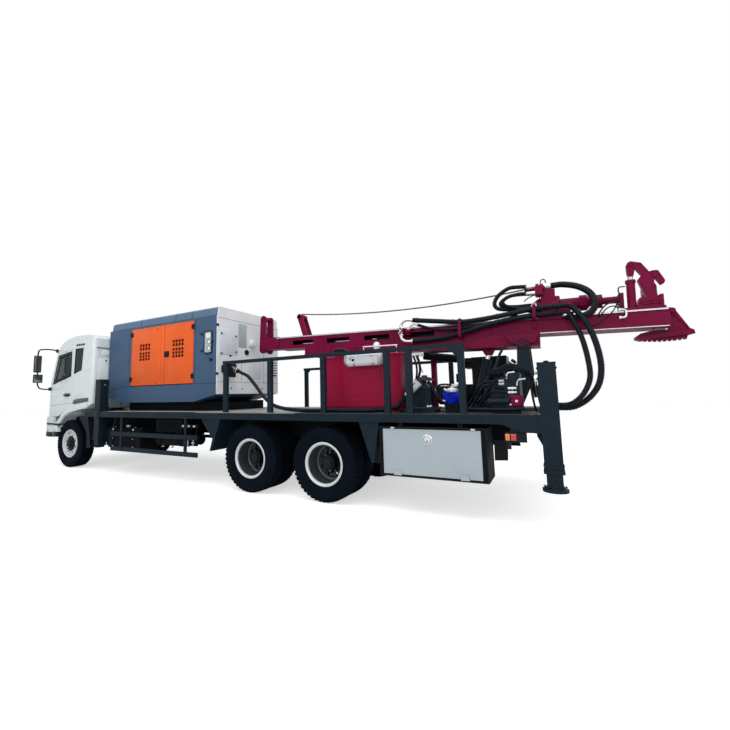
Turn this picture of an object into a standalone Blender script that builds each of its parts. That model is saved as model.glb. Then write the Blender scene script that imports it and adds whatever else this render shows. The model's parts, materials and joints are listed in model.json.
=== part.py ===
"""Truck-mounted reverse circulation drilling rig, parked with its mast laid over the deck.

Metres, +X forward, +Y to the vehicle's left, +Z up, wheels on z = 0. Stations along X are measured
from the rearmost axle and moved by BOX_CENTRE_X when each node is made. Pieces of the mast are drawn
in the mast's own frame: along it from its pivot, across it, and out from its back.
"""

import math

import bmesh
import bpy
from mathutils import Matrix, Vector

# Clearances
SEAT = 0.0003
RUN = 0.0005
FREE = 0.006
BITE = 0.004

# Stations along X, from the rearmost axle
BOX_CENTRE_X = 1.717
TANDEM_PITCH = 1.35
FRONT_AXLE_X = 6.66
FRAME_REAR_X = -2.48
DECK_REAR_X = -2.72
DECK_FRONT_X = 5.40
DECK_NOSE_X = 5.89

# Wheels
TYRE_R = 0.525
TYRE_W = 0.280
BEAD_R = 0.285
RIM_WALL = 0.022
RIM_LIP = 0.013
HUB_R = 0.115
SPINDLE_R = 0.050
TRACK_REAR_OUTER = 1.225
TWIN_PITCH = 0.325
FRONT_TYRE_W = 0.295
TRACK_FRONT_OUTER = 1.180
HAND_HOLES = 8
HAND_HOLE_R = 0.028
HAND_HOLE_CIRCLE = 0.190
KINGPIN_Y = 0.860
KINGPIN_R = 0.022

# Chassis rails
FRAME_HALF = 0.470
RAIL_FLANGE = 0.080
RAIL_WEB = 0.012
RAIL_LOW = 0.800
RAIL_TOP = 1.060
AXLE_TUBE_R = 0.075

# Deck
DECK_HALF = 1.250
DECK_TOP = 1.240
DECK_PLATE = 0.040
DECK_RAIL_DEPTH = 0.112
DECK_RAIL_W = 0.060
WELL_HALF = 0.500
HAND_TOP = 2.090
POST_W = 0.080
TOP_RAIL = 0.052
TANK_INSET = 0.300
TANK_DEPTH = 0.530
CANISTER_R = 0.100
TOOLBOX_DEPTH = 0.502
POST_STATIONS = (1.86, 0.93, -0.03, -1.00, -1.30, -1.95)

# Cab
CAB_HALF = 1.220
CAB_WALL = 0.045
CAB_FLOOR = 1.300
DOOR_GAP = 0.006
GLASS = 0.006
BUMPER_HALF = 1.250
BUMPER_FRONT = 7.830
BUMPER_LOW = 0.660
BUMPER_TOP = 1.120
BUMPER_WALL = 0.050
MIRROR_REACH = 0.390
MIRROR_HALF = CAB_HALF + MIRROR_REACH
MIRROR_X = 7.500
CAB_HINGE_X = 7.443

# Compressor
COMP_HALF = 0.900
COMP_REAR = 2.410
COMP_FRONT = 5.735
COMP_LOW = 1.415
COMP_SHOULDER = 3.000
COMP_TOP = 3.175
COMP_WALL = 0.030
COMP_FLOOR = 1.600
COMP_DOOR_REAR = 3.030
COMP_DOOR_SPLIT = 3.960
COMP_DOOR_FRONT = 4.940
COMP_DOOR_LOW = 1.760
COMP_DOOR_TOP = 2.960

AIR_OUTLET = (2.320, 0.620, 2.026)
AIR_FALL = (-0.928, 0.0, -0.372)
AIR_END = (-1.210, 1.020, 1.480)
AIR_RISE = (-0.7071, 0.0, 0.7071)
AIR_HOSE_R = 0.030

# Jacks
REAR_JACK_X = -2.840
REAR_TUBE = 0.180
REAR_TUBE_WALL = 0.008
REAR_TUBE_LOW = 0.660
REAR_TUBE_TOP = 1.790
FRONT_JACK_X = 5.507
FRONT_TUBE = 0.180
FRONT_TUBE_WALL = 0.008
FRONT_TUBE_LOW = 0.700
FRONT_TUBE_TOP = 1.905
COLLAR = 0.040
PAD_R = 0.125
PAD_T = 0.050
REAR_PAD_LOW = 0.430
FRONT_PAD_LOW = 0.500
LEG_TOP = 1.560

# Mast
PIVOT_X = -2.585
PIVOT_Z = 2.125
REST_TILT = 1.5
PIN_R = 0.040
CHEEK_IN = 0.240
CHEEK_T = 0.045
BRACKET_T = 0.048
BOSS_T = 0.030
BOSS_R = 0.062
CRADLE_HALF = 0.230
CRADLE_LOW = -0.030
CRADLE_REAR = -0.200
CRADLE_FRONT = 3.500
MAST_HALF = 0.200
MAST_LOW = 0.130
MAST_TOP = 0.335
MAST_REAR = -1.560
MAST_FRONT = 4.200
MAST_WALL = 0.014
MAST_HOSE_Y = 0.290
MAST_HOSE_END = -0.350
HEAD_A = -0.330
SPINDLE_N = 0.533
DRIVE_R = 0.046
SWIVEL_N = 0.795
SWIVEL_REACH = 0.295
CLAMP_A = -1.214
FOOT_A = -1.610
FOOT_N = 0.335
FOOT_PIN_R = 0.018
RAM_EYE_A = 0.470
RAM_EYE_N = -0.090
RAM_BASE_X = -1.863
RAM_BASE_Z = 1.100
RAM_EAR_IN = 0.086
RAM_BARREL_R = 0.058
RAM_ROD_R = 0.030

ROUND = 20
SMALL = 12
HIDDEN = 8
RIM_SIDES = 16
TYRE_SIDES = 28

# Door hinges
HINGE_R = 0.010
HINGE_OUT = HINGE_R * math.cos(math.pi / SMALL) + RUN

COLOURS = {
    "frame": ((0.040, 0.050, 0.055), 0.45, 0.0),
    "deck": ((0.42, 0.42, 0.40), 0.60, 0.0),
    "crimson": ((0.17, 0.006, 0.035), 0.38, 0.0),
    "white": ((0.74, 0.78, 0.77), 0.30, 0.0),
    "blue_grey": ((0.055, 0.105, 0.185), 0.35, 0.0),
    "orange": ((0.78, 0.16, 0.035), 0.40, 0.0),
    "light_grey": ((0.47, 0.50, 0.50), 0.40, 0.0),
    "box_grey": ((0.37, 0.44, 0.46), 0.40, 0.0),
    "black": ((0.012, 0.013, 0.015), 0.50, 0.0),
    "tyre": ((0.014, 0.015, 0.018), 0.80, 0.0),
    "rim": ((0.62, 0.64, 0.65), 0.30, 0.85),
    "chrome": ((0.70, 0.71, 0.72), 0.15, 1.0),
    "glass": ((0.03, 0.04, 0.045), 0.05, 0.0),
    "blue": ((0.01, 0.06, 0.55), 0.40, 0.0),
    "rubber": ((0.015, 0.017, 0.020), 0.60, 0.0),
}


def clear_scene():
    for old in list(bpy.data.objects):
        bpy.data.objects.remove(old)


def box(x0, x1, y0, y1, z0, z1):
    """A block between two corners."""
    points = [(x, y, z) for x in (x0, x1) for y in (y0, y1) for z in (z0, z1)]
    faces = [(0, 1, 3, 2), (4, 6, 7, 5), (0, 4, 5, 1), (2, 3, 7, 6), (0, 2, 6, 4), (1, 5, 7, 3)]
    return points, faces


def extruded(outline, low, high, axis):
    """An outline drawn in the plane across an axis, pulled along it."""
    count = len(outline)
    place = {"X": lambda a, b, c: (c, a, b), "Y": lambda a, b, c: (a, c, b), "Z": lambda a, b, c: (a, b, c)}[axis]
    points = [place(a, b, c) for c in (low, high) for a, b in outline]
    faces = [tuple(range(count)), tuple(range(2 * count - 1, count - 1, -1))]
    faces += [(i, (i + 1) % count, count + (i + 1) % count, count + i) for i in range(count)]
    return points, faces


def turned(profile, axis, centre, sides=ROUND, shift=0.0):
    """A closed profile of (along, radius) turned about an axis; radius 0 lies on the axis."""
    place = {
        "X": lambda a, r, t: (a, r * math.cos(t), r * math.sin(t)),
        "Y": lambda a, r, t: (r * math.sin(t), a, r * math.cos(t)),
        "Z": lambda a, r, t: (r * math.cos(t), r * math.sin(t), a),
    }[axis]
    points = []
    rings = []
    for along, radius in profile:
        if radius == 0:
            rings.append([len(points)] * sides)
            points.append(place(along, 0, 0))
            continue
        rings.append(list(range(len(points), len(points) + sides)))
        points += [place(along, radius, 2 * math.pi * (k + shift) / sides) for k in range(sides)]
    faces = []
    for i, ring in enumerate(rings):
        after = rings[(i + 1) % len(rings)]
        for k in range(sides):
            m = (k + 1) % sides
            corners = (ring[k], ring[m], after[m], after[k])
            corners = tuple(dict.fromkeys(corners))
            if len(corners) > 2:
                faces.append(corners)
    return [tuple(Vector(p) + Vector(centre)) for p in points], faces


def disc(axis, centre, radius, low, high, sides=SMALL, shift=0.0):
    """A plain round bar along an axis through a centre."""
    return turned([(low, 0), (low, radius), (high, radius), (high, 0)], axis, centre, sides, shift)


def pin(axis, centre, radius, low, high, sides=ROUND):
    """A bar that runs in a bore of as many sides, with its corners against the bore's flats."""
    return disc(axis, centre, radius, low, high, sides, 0.5)


def swept(points, radius, sides=8):
    """A round tube along points."""
    points = [Vector(p) for p in points]
    normal = None
    verts = []
    for i, here in enumerate(points):
        before = points[max(i - 1, 0)]
        after = points[min(i + 1, len(points) - 1)]
        along = (after - before).normalized()
        if normal is None:
            side = Vector((0, 0, 1)) if abs(along.z) < 0.9 else Vector((1, 0, 0))
            normal = along.cross(side).normalized()
        normal = (normal - along * normal.dot(along)).normalized()
        other = along.cross(normal)
        for k in range(sides):
            turn = 2 * math.pi * k / sides
            verts.append(tuple(here + radius * (math.cos(turn) * normal + math.sin(turn) * other)))
    last = len(verts) - sides
    faces = [tuple(range(sides)), tuple(range(last, last + sides))]
    for i in range(len(points) - 1):
        for k in range(sides):
            m = (k + 1) % sides
            faces.append((i * sides + k, i * sides + m, (i + 1) * sides + m, (i + 1) * sides + k))
    return verts, faces


def beam(start, end, depth, low, high):
    """A flat bar of one depth in the XZ plane, from y low to high."""
    a = Vector((start[0], start[1]))
    b = Vector((end[0], end[1]))
    across = Vector((a.y - b.y, b.x - a.x)).normalized() * depth / 2
    return extruded([a + across, b + across, b - across, a - across], low, high, "Y")


def moved(piece, matrix):
    return [tuple(matrix @ Vector(p)) for p in piece[0]], piece[1]


def flipped(piece, side):
    """The piece on the left for side 1, its mirror image on the right for side -1."""
    return [(p[0], p[1] * side, p[2]) for p in piece[0]], piece[1]


def inset(outline, distance):
    """A closed outline moved inwards by one distance on every side."""
    pts = [Vector(p) for p in outline]
    area = sum(pts[i].x * pts[(i + 1) % len(pts)].y - pts[(i + 1) % len(pts)].x * pts[i].y for i in range(len(pts)))
    sign = 1 if area > 0 else -1
    result = []
    for i, here in enumerate(pts):
        one = (here - pts[i - 1]).normalized()
        two = (pts[(i + 1) % len(pts)] - here).normalized()
        n1 = Vector((-one.y, one.x)) * sign
        n2 = Vector((-two.y, two.x)) * sign
        middle = (n1 + n2).normalized()
        result.append(tuple(here + middle * distance / max(0.3, middle.dot(n1))))
    return result


def mesh_of(piece, name):
    """A closed mesh with its faces turned out."""
    mesh = bpy.data.meshes.new(name)
    mesh.from_pydata(piece[0], [], piece[1])
    work = bmesh.new()
    work.from_mesh(mesh)
    bmesh.ops.recalc_face_normals(work, faces=work.faces)
    if work.calc_volume(signed=True) < 0:
        bmesh.ops.reverse_faces(work, faces=work.faces)
    work.to_mesh(mesh)
    work.free()
    return mesh


def material(name):
    found = bpy.data.materials.get(name)
    if found:
        return found
    colour, rough, metal = COLOURS[name]
    made = bpy.data.materials.new(name)
    made.use_nodes = True
    shader = made.node_tree.nodes["Principled BSDF"]
    shader.inputs["Base Color"].default_value = (*colour, 1)
    shader.inputs["Roughness"].default_value = rough
    shader.inputs["Metallic"].default_value = metal
    made.diffuse_color = (*colour, 1)
    return made


def node(name, colour, adds, cuts=(), smooth=False, frame=None, solver="EXACT"):
    """One named solid: its pieces joined, its cuts taken out, moved to the part's frame."""
    shift = Matrix.Translation((-BOX_CENTRE_X, 0, 0))
    place = shift @ frame if frame else shift
    scene = bpy.context.scene.collection
    main = bpy.data.objects.new(name, mesh_of(adds[0], name))
    scene.objects.link(main)
    groups = []
    for operation, pieces in (("UNION", adds[1:]), ("DIFFERENCE", cuts)):
        if not pieces:
            continue
        group = bpy.data.collections.new(name + "_" + operation.lower())
        scene.children.link(group)
        for piece in pieces:
            helper = bpy.data.objects.new("guide", mesh_of(piece, "guide"))
            helper.hide_render = True
            helper.display_type = "WIRE"
            group.objects.link(helper)
        step = main.modifiers.new(operation.title(), "BOOLEAN")
        step.operation = operation
        step.operand_type = "COLLECTION"
        step.collection = group
        step.solver = solver
        groups.append(group)
    if groups:
        bpy.context.view_layer.update()
        graph = bpy.context.evaluated_depsgraph_get()
        result = bpy.data.meshes.new_from_object(main.evaluated_get(graph))
        main.modifiers.clear()
        main.data = result
        for group in groups:
            for helper in list(group.objects):
                bpy.data.objects.remove(helper)
            bpy.data.collections.remove(group)
    main.data.transform(place)
    main.data.materials.clear()
    main.data.materials.append(material(colour))
    if smooth:
        for face in main.data.polygons:
            face.use_smooth = True
    return main


SIDES = (("l", 1), ("r", -1))


def c_rail(x0, x1, side):
    """A channel rail with its web outside and its flanges turned in."""
    y = FRAME_HALF
    inner = y - RAIL_FLANGE
    outline = [
        (y, RAIL_LOW),
        (y, RAIL_TOP),
        (inner, RAIL_TOP),
        (inner, RAIL_TOP - RAIL_WEB),
        (y - RAIL_WEB, RAIL_TOP - RAIL_WEB),
        (y - RAIL_WEB, RAIL_LOW + RAIL_WEB),
        (inner, RAIL_LOW + RAIL_WEB),
        (inner, RAIL_LOW),
    ]
    return flipped(extruded(outline, x0, x1, "X"), side)


def make_chassis():
    front = BUMPER_FRONT - BUMPER_WALL - SEAT
    adds = [c_rail(FRAME_REAR_X, front, 1), c_rail(FRAME_REAR_X, front, -1)]
    web = FRAME_HALF - RAIL_WEB / 2
    for x in (FRAME_REAR_X + 0.06, -1.20, 0.675, 2.60, 4.30, 5.75, 7.62):
        adds.append(box(x - 0.05, x + 0.05, -web, web, RAIL_LOW + 0.05, RAIL_TOP - 0.04))
    for _, side in SIDES:
        for x, top in ((6.05, 1.29), (7.35, 1.13)):
            adds.append(flipped(box(x - 0.05, x + 0.05, 0.40, 0.46, RAIL_TOP - BITE, top - SEAT), side))
    half = FRAME_HALF - RAIL_FLANGE + BITE
    adds.append(box(6.02, 6.84, -half, half, 0.86, 1.18))
    adds.append(box(6.10, 6.90, -0.22, 0.22, 0.62, 0.88))
    adds.append(box(6.82, 7.20, -half, half, 0.84, 1.10))
    node("chassis_frame", "frame", adds)


def spindle_r():
    return SPINDLE_R * math.cos(math.pi / RIM_SIDES) - RUN


def make_rear_axles():
    z = TYRE_R
    adds = []
    disc_y = TRACK_REAR_OUTER - TYRE_W - 0.045
    for x in (0.0, TANDEM_PITCH):
        adds.append(disc("Y", (x, 0, z), AXLE_TUBE_R, -0.58, 0.58, HIDDEN))
        end = disc_y + 0.10
        adds.append(pin("Y", (x, 0, z), spindle_r(), -end, end, RIM_SIDES))
        adds.append(turned([(-0.20, 0), (-0.20, 0.13), (-0.06, 0.20), (0.10, 0.20), (0.22, 0.09), (0.22, 0)],
                           "X", (x, 0, z), HIDDEN))
    adds.append(disc("X", (0, 0, z + 0.02), 0.040, 0.0, TANDEM_PITCH, HIDDEN))
    middle = TANDEM_PITCH / 2
    spring = [(-0.16, 0.0), (-0.10, 0.05), (middle - 0.15, 0.16), (middle + 0.15, 0.16),
              (TANDEM_PITCH + 0.10, 0.05), (TANDEM_PITCH + 0.16, 0.0), (middle + 0.15, 0.06), (middle - 0.15, 0.06)]
    outline = [(a, z + 0.06 + b) for a, b in spring]
    for _, side in SIDES:
        adds.append(flipped(extruded(outline, 0.39, 0.46, "Y"), side))
        adds.append(flipped(box(middle - 0.11, middle + 0.11, 0.385, 0.465, z + 0.15, RAIL_LOW - SEAT), side))
    node("rear_axles", "black", adds)


def make_front_axle():
    x = FRONT_AXLE_X
    z = TYRE_R
    adds = [box(x - 0.05, x + 0.05, -KINGPIN_Y, KINGPIN_Y, z - 0.055, z + 0.035)]
    cuts = []
    for _, side in SIDES:
        y = KINGPIN_Y * side
        adds.append(disc("Z", (x, y, z), 0.052, -0.055, 0.055))
        cuts.append(disc("Z", (x, y, z), KINGPIN_R / math.cos(math.pi / SMALL) + RUN, -0.10, 0.10))
        leaf = [(x - 0.60, z + 0.17), (x - 0.25, z + 0.06), (x + 0.25, z + 0.06), (x + 0.60, z + 0.17),
                (x + 0.60, z + 0.20), (x + 0.20, z + 0.12), (x - 0.20, z + 0.12), (x - 0.60, z + 0.20)]
        adds.append(flipped(extruded(leaf, 0.395, 0.455, "Y"), side))
        adds.append(flipped(box(x - 0.09, x + 0.09, 0.385, 0.465, z + 0.03, z + 0.08), side))
        for end in (-0.60, 0.60):
            adds.append(flipped(box(x + end - 0.04, x + end + 0.04, 0.40, 0.45, z + 0.16, RAIL_LOW - SEAT), side))
    node("front_axle", "black", adds, cuts)


def make_knuckle(tag, side):
    x = FRONT_AXLE_X
    z = TYRE_R
    plate_in = KINGPIN_Y + 0.052 + FREE
    plate_out = plate_in + 0.030
    adds = [box(x - 0.05, x + 0.05, plate_in, plate_out, z - 0.110, z + 0.110)]
    for low, high in ((z - 0.100, z - 0.055 - FREE), (z + 0.055 + FREE, z + 0.100)):
        adds.append(box(x - 0.045, x + 0.045, KINGPIN_Y, plate_in + BITE, low, high))
        adds.append(disc("Z", (x, KINGPIN_Y, 0), 0.045, low, high))
    adds.append(pin("Z", (x, KINGPIN_Y, z), KINGPIN_R, -0.095, 0.095, SMALL))
    adds.append(pin("Y", (x, 0, z), spindle_r(), plate_out - BITE, TRACK_FRONT_OUTER - 0.055, RIM_SIDES))
    node("steering_knuckle_" + tag, "black", [flipped(a, side) for a in adds])


def tyre_ring(middle, width, bead_out=BEAD_R, bead_in=BEAD_R):
    """Half section of a tyre from its inner bead over the tread to its outer bead."""
    half = width / 2
    return [(middle - half * 0.75, bead_in), (middle - half, TYRE_R * 0.76), (middle - half * 0.90, TYRE_R * 0.945),
            (middle - half * 0.72, TYRE_R), (middle + half * 0.72, TYRE_R), (middle + half * 0.90, TYRE_R * 0.945),
            (middle + half, TYRE_R * 0.76), (middle + half * 0.75, bead_out)]


def rim_profile(lips, disc_out, disc_in, hub_out, bore_end):
    """A rim with its disc and hub, from the hub's cap outwards and back to the spindle's bore."""
    out, inner = lips
    seat_r = BEAD_R * math.cos(math.pi / TYRE_SIDES) - SEAT
    well = seat_r - RIM_WALL
    lip_r = BEAD_R + 0.017
    return [
        (hub_out, 0), (hub_out, HUB_R * 0.60), (hub_out - 0.035, HUB_R * 0.68), (hub_out - 0.035, HUB_R),
        (disc_out, HUB_R + 0.020), (disc_out, well), (out, well + 0.004), (out, lip_r), (out - RIM_LIP, lip_r),
        (out - RIM_LIP, seat_r), (inner, seat_r), (inner, well), (disc_in, well),
        (disc_in, SPINDLE_R), (bore_end, SPINDLE_R), (bore_end, 0),
    ]


def hand_holes(x, low, high, side):
    cuts = []
    for k in range(HAND_HOLES):
        turn = 2 * math.pi * (k + 0.5) / HAND_HOLES
        centre = (x + HAND_HOLE_CIRCLE * math.sin(turn), 0, TYRE_R + HAND_HOLE_CIRCLE * math.cos(turn))
        cuts.append(flipped(disc("Y", centre, HAND_HOLE_R, low, high, 6), side))
    return cuts


def make_wheels():
    z = TYRE_R
    half = TYRE_W / 2
    outer = TRACK_REAR_OUTER - half
    inner = outer - TWIN_PITCH
    bridge = BEAD_R + 0.025
    twin = tyre_ring(inner, TYRE_W, bead_out=bridge)[:7] + [(inner + half * 0.75, bridge)]
    twin += [(outer - half * 0.75, bridge)] + tyre_ring(outer, TYRE_W)[1:]
    disc_out = TRACK_REAR_OUTER - TYRE_W
    disc_in = disc_out - 0.045
    for axle, x in (("rear", 0.0), ("mid", TANDEM_PITCH)):
        for tag, side in SIDES:
            node(f"{axle}_tyres_{tag}", "tyre", [flipped(turned(twin, "Y", (x, 0, z), TYRE_SIDES), side)], smooth=True)
            lips = (outer + half * 0.75 + 0.021, inner - half * 0.75 - 0.021)
            profile = rim_profile(lips, disc_out, disc_in, disc_out + 0.165, disc_in + 0.105)
            node(f"{axle}_rims_{tag}", "rim", [flipped(turned(profile, "Y", (x, 0, z), RIM_SIDES), side)],
                 hand_holes(x, disc_in - 0.02, disc_out + 0.02, side), smooth=False)
    half = FRONT_TYRE_W / 2
    middle = TRACK_FRONT_OUTER - half
    x = FRONT_AXLE_X
    for tag, side in SIDES:
        ring = tyre_ring(middle, FRONT_TYRE_W)
        node(f"front_tyre_{tag}", "tyre", [flipped(turned(ring, "Y", (x, 0, z), TYRE_SIDES), side)], smooth=True)
        lips = (middle + half * 0.75 + 0.021, middle - half * 0.75 - 0.021)
        disc_out = TRACK_FRONT_OUTER - 0.060
        profile = rim_profile(lips, disc_out, disc_out - 0.040, TRACK_FRONT_OUTER + 0.015, disc_out + 0.010)
        node(f"front_rim_{tag}", "rim", [flipped(turned(profile, "Y", (x, 0, z), RIM_SIDES), side)],
             hand_holes(x, disc_out - 0.06, disc_out + 0.02, side))


CAB_OUTLINE = [
    (5.80, 1.42), (5.92, 1.34), (6.00, CAB_FLOOR), (6.58, 1.27), (6.90, 1.22), (7.12, 1.13), (7.64, 1.13),
    (7.65, 1.22), (7.60, 1.70), (7.52, 1.84), (7.25, 2.64), (7.10, 2.79), (6.85, 2.89), (6.45, 2.94), (5.90, 2.92),
    (5.80, 2.84),
]
DOOR_OUTLINE = [(6.58, 1.43), (7.44, 1.37), (7.44, 1.84), (7.19, 2.57), (6.70, 2.65), (6.58, 2.63)]
DOOR_WINDOW = [(6.65, 2.08), (7.38, 1.90), (7.17, 2.49), (6.65, 2.57)]
QUARTER_WINDOW = [(6.52, 2.07), (6.50, 2.65), (6.18, 2.65), (6.22, 2.15)]
SCREEN_LOW = (7.52, 1.84)
SCREEN_HIGH = (7.25, 2.64)


def screen_slab(start, end, outer, inner, half):
    """A slab that follows the sloping front between two distances along it."""
    a = Vector(SCREEN_LOW)
    b = Vector(SCREEN_HIGH)
    along = (b - a).normalized()
    out = Vector((along.y, -along.x))
    corners = [a + along * start + out * outer, a + along * end + out * outer,
               a + along * end + out * inner, a + along * start + out * inner]
    return extruded(corners, -half, half, "Y")


def floored(outline, floor):
    return [(a, max(b, floor)) for a, b in outline]


def make_cab():
    shell = extruded(CAB_OUTLINE, -CAB_HALF, CAB_HALF, "Y")
    room = floored(inset(CAB_OUTLINE, CAB_WALL), CAB_FLOOR + CAB_WALL)
    inside = CAB_HALF - CAB_WALL
    cuts = [extruded(room, -inside, inside, "Y")]
    cuts.append(screen_slab(0.06, 0.78, 0.10, -0.12, 1.05))
    for _, side in SIDES:
        hole = inset(DOOR_OUTLINE, -DOOR_GAP)
        cuts.append(flipped(extruded(hole, inside - 0.02, CAB_HALF + 0.02, "Y"), side))
        cuts.append(flipped(extruded(QUARTER_WINDOW, CAB_HALF - 0.012, CAB_HALF + 0.02, "Y"), side))
        edge = [(7.38, CAB_HALF + 0.05), (7.70, CAB_HALF + 0.05), (7.70, CAB_HALF - 0.13), (7.66, CAB_HALF - 0.13),
                (7.60, CAB_HALF - 0.05), (7.50, CAB_HALF)]
        cuts.append(flipped(extruded(edge[1:], 1.0, 3.1, "Z"), side))
        edge = [(5.70, CAB_HALF + 0.05), (5.70, CAB_HALF - 0.10), (5.80, CAB_HALF - 0.10), (5.81, CAB_HALF - 0.050),
                (5.84, CAB_HALF - 0.018), (5.89, CAB_HALF), (5.89, CAB_HALF + 0.05)]
        cuts.append(flipped(extruded(edge, 1.0, 3.1, "Z"), side))
    for k in range(4):
        z = 1.30 + 0.085 * k
        cuts.append(box(7.50, 7.80, -0.75, 0.75, z, z + 0.045))
    node("cab_shell", "white", [shell], cuts)
    node("windscreen", "glass", [screen_slab(0.06 + SEAT, 0.78 - SEAT, -0.015, -0.015 - GLASS, 1.05 - SEAT)])
    for tag, side in SIDES:
        panel = flipped(extruded(DOOR_OUTLINE, CAB_HALF - CAB_WALL, CAB_HALF, "Y"), side)
        handle = flipped(box(6.68, 6.84, CAB_HALF - BITE, CAB_HALF + 0.025, 1.600, 1.635), side)
        hinges = []
        for z in (1.44, 1.60):
            hinges.append(flipped(pin("Z", (CAB_HINGE_X, CAB_HALF + HINGE_OUT, z), HINGE_R, 0, 0.08, SMALL), side))
            hinges.append(flipped(box(CAB_HINGE_X - 0.045, CAB_HINGE_X, CAB_HALF - BITE, CAB_HALF + HINGE_OUT + HINGE_R - 0.002, z + 0.005, z + 0.075), side))
        window = flipped(extruded(DOOR_WINDOW, CAB_HALF - 0.10, CAB_HALF + 0.10, "Y"), side)
        node("cab_door_" + tag, "white", [panel, handle] + hinges, [window])


def make_cab_interior():
    floor = CAB_FLOOR + CAB_WALL + SEAT
    adds = [box(6.08, 7.12, -0.34, 0.34, floor, 1.64)]
    adds.append(box(7.02, 7.36, -0.40, 0.40, floor, 1.80))
    adds.append(extruded([(7.16, 1.66), (7.42, 1.66), (7.42, 1.84), (7.30, 1.93), (7.10, 1.88)], -1.10, 1.10, "Y"))
    for _, side in SIDES:
        adds.append(flipped(box(6.28, 6.80, 0.30, 0.86, floor, 1.74), side))
        adds.append(flipped(beam((6.32, 1.66), (6.16, 2.42), 0.11, 0.34, 0.84), side))
    column = swept([(7.20, 0.60, 1.78), (7.02, 0.60, 2.02)], 0.022)
    adds.append(column)
    wheel = turned([(-0.016, 0.205), (-0.016, 0.235), (0.016, 0.235), (0.016, 0.205)], "Z", (0, 0, 0), ROUND)
    spoke = box(-0.215, 0.215, -0.02, 0.02, -0.010, 0.010)
    tilt = Matrix.Translation((7.02, 0.60, 2.02)) @ Matrix.Rotation(math.radians(-35), 4, "Y")
    adds += [moved(wheel, tilt), moved(spoke, tilt)]
    node("cab_interior", "black", adds)


def make_bumper():
    corner = [(7.22, BUMPER_HALF), (7.44, BUMPER_HALF), (7.62, 1.20), (7.73, 1.08), (BUMPER_FRONT, 0.74)]
    outline = corner + [(x, -y) for x, y in reversed(corner)]
    inner = [(7.10, BUMPER_HALF - BUMPER_WALL)]
    inner += [(7.43, BUMPER_HALF - BUMPER_WALL), (7.58, 1.155), (7.68, 1.05), (BUMPER_FRONT - BUMPER_WALL, 0.72)]
    inner += [(x, -y) for x, y in reversed(inner)]
    cuts = [extruded(inner, BUMPER_LOW - 0.1, BUMPER_TOP + 0.1, "Z")]
    cuts.append(box(7.70, 7.90, -0.55, 0.55, 0.74, 0.80))
    cuts.append(box(7.70, 7.90, -0.55, 0.55, 0.86, 0.92))
    for _, side in SIDES:
        cuts.append(flipped(box(7.715, 7.90, 0.80, 1.16, 0.83, 0.97), side))
        cuts.append(flipped(box(7.30, 7.62, BUMPER_HALF - 0.012, BUMPER_HALF + 0.05, 0.915, 0.935), side))
    node("front_bumper", "white", [extruded(outline, BUMPER_LOW, BUMPER_TOP, "Z")], cuts)


def make_mirror(tag, side):
    x = MIRROR_X
    y = MIRROR_HALF
    adds = [box(x - 0.035, x + 0.035, y - 0.165, y, 2.14, 2.53)]
    adds.append(box(x - 0.030, x + 0.030, y - 0.205, y - 0.005, 1.90, 2.10))
    arm = [(7.275, CAB_HALF + 0.010, 2.655), (7.36, y - 0.25, 2.66), (x - 0.02, y - 0.11, 2.62), (x, y - 0.09, 2.50)]
    adds.append(swept(arm, 0.014))
    adds.append(box(7.22, 7.30, CAB_HALF + SEAT, CAB_HALF + 0.022, 2.60, 2.69))
    adds.append(swept([(x, y - 0.10, 2.16), (x, y - 0.10, 2.06)], 0.014))
    low = [(x, y - 0.11, 1.93), (x, y - 0.14, 1.80), (7.52, CAB_HALF + 0.08, 1.76), (7.50, CAB_HALF + 0.006, 1.76)]
    adds.append(swept(low, 0.013))
    adds.append(box(7.45 + DOOR_GAP, 7.52, CAB_HALF + SEAT, CAB_HALF + 0.050, 1.72, 1.80))
    node("mirror_" + tag, "black", [flipped(a, side) for a in adds])


def handrail():
    """Posts, the top rail and its bend at the rear, on the left."""
    y1 = DECK_HALF - 0.002
    y0 = y1 - POST_W * 0.70
    adds = []
    for x in POST_STATIONS:
        half = POST_W / 2
        adds.append(box(x - half, x + half, y0, y1, DECK_TOP - BITE, HAND_TOP - 0.01))
    first = POST_STATIONS[0]
    last = POST_STATIONS[-1]
    adds.append(box(last, first + 0.06, y0 + 0.004, y1 - 0.004, HAND_TOP - TOP_RAIL, HAND_TOP))
    bend = [(last - 0.04, HAND_TOP - 0.02), (last - 0.02, HAND_TOP), (last + 0.16, HAND_TOP - 0.02),
            (last + 0.14, HAND_TOP - 0.06), (last + 0.03, HAND_TOP - 0.19), (last - 0.04, HAND_TOP - 0.19)]
    adds.append(extruded(bend, y0 + 0.002, y1 - 0.002, "Y"))
    return adds


def side_guard():
    """Two rails under the deck on their supports, and a hoop in front of them, on the left."""
    y1 = DECK_HALF - 0.03
    top = DECK_TOP - DECK_RAIL_DEPTH + BITE
    adds = []
    for middle in (0.505, 0.800):
        adds.append(box(2.53, 5.03, y1 - 0.03, y1, middle - 0.04, middle + 0.04))
    for x in (2.83, 4.69):
        adds.append(box(x - 0.025, x + 0.025, y1 - 0.028, y1 + 0.006, 0.47, top))
    hoop = [(5.00, y1 - 0.02, 0.52), (5.05, y1 - 0.02, 0.60), (5.05, y1 - 0.02, 0.86), (4.96, y1 - 0.02, 0.98),
            (4.92, y1 - 0.02, top)]
    adds.append(swept(hoop, 0.013))
    return adds


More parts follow.
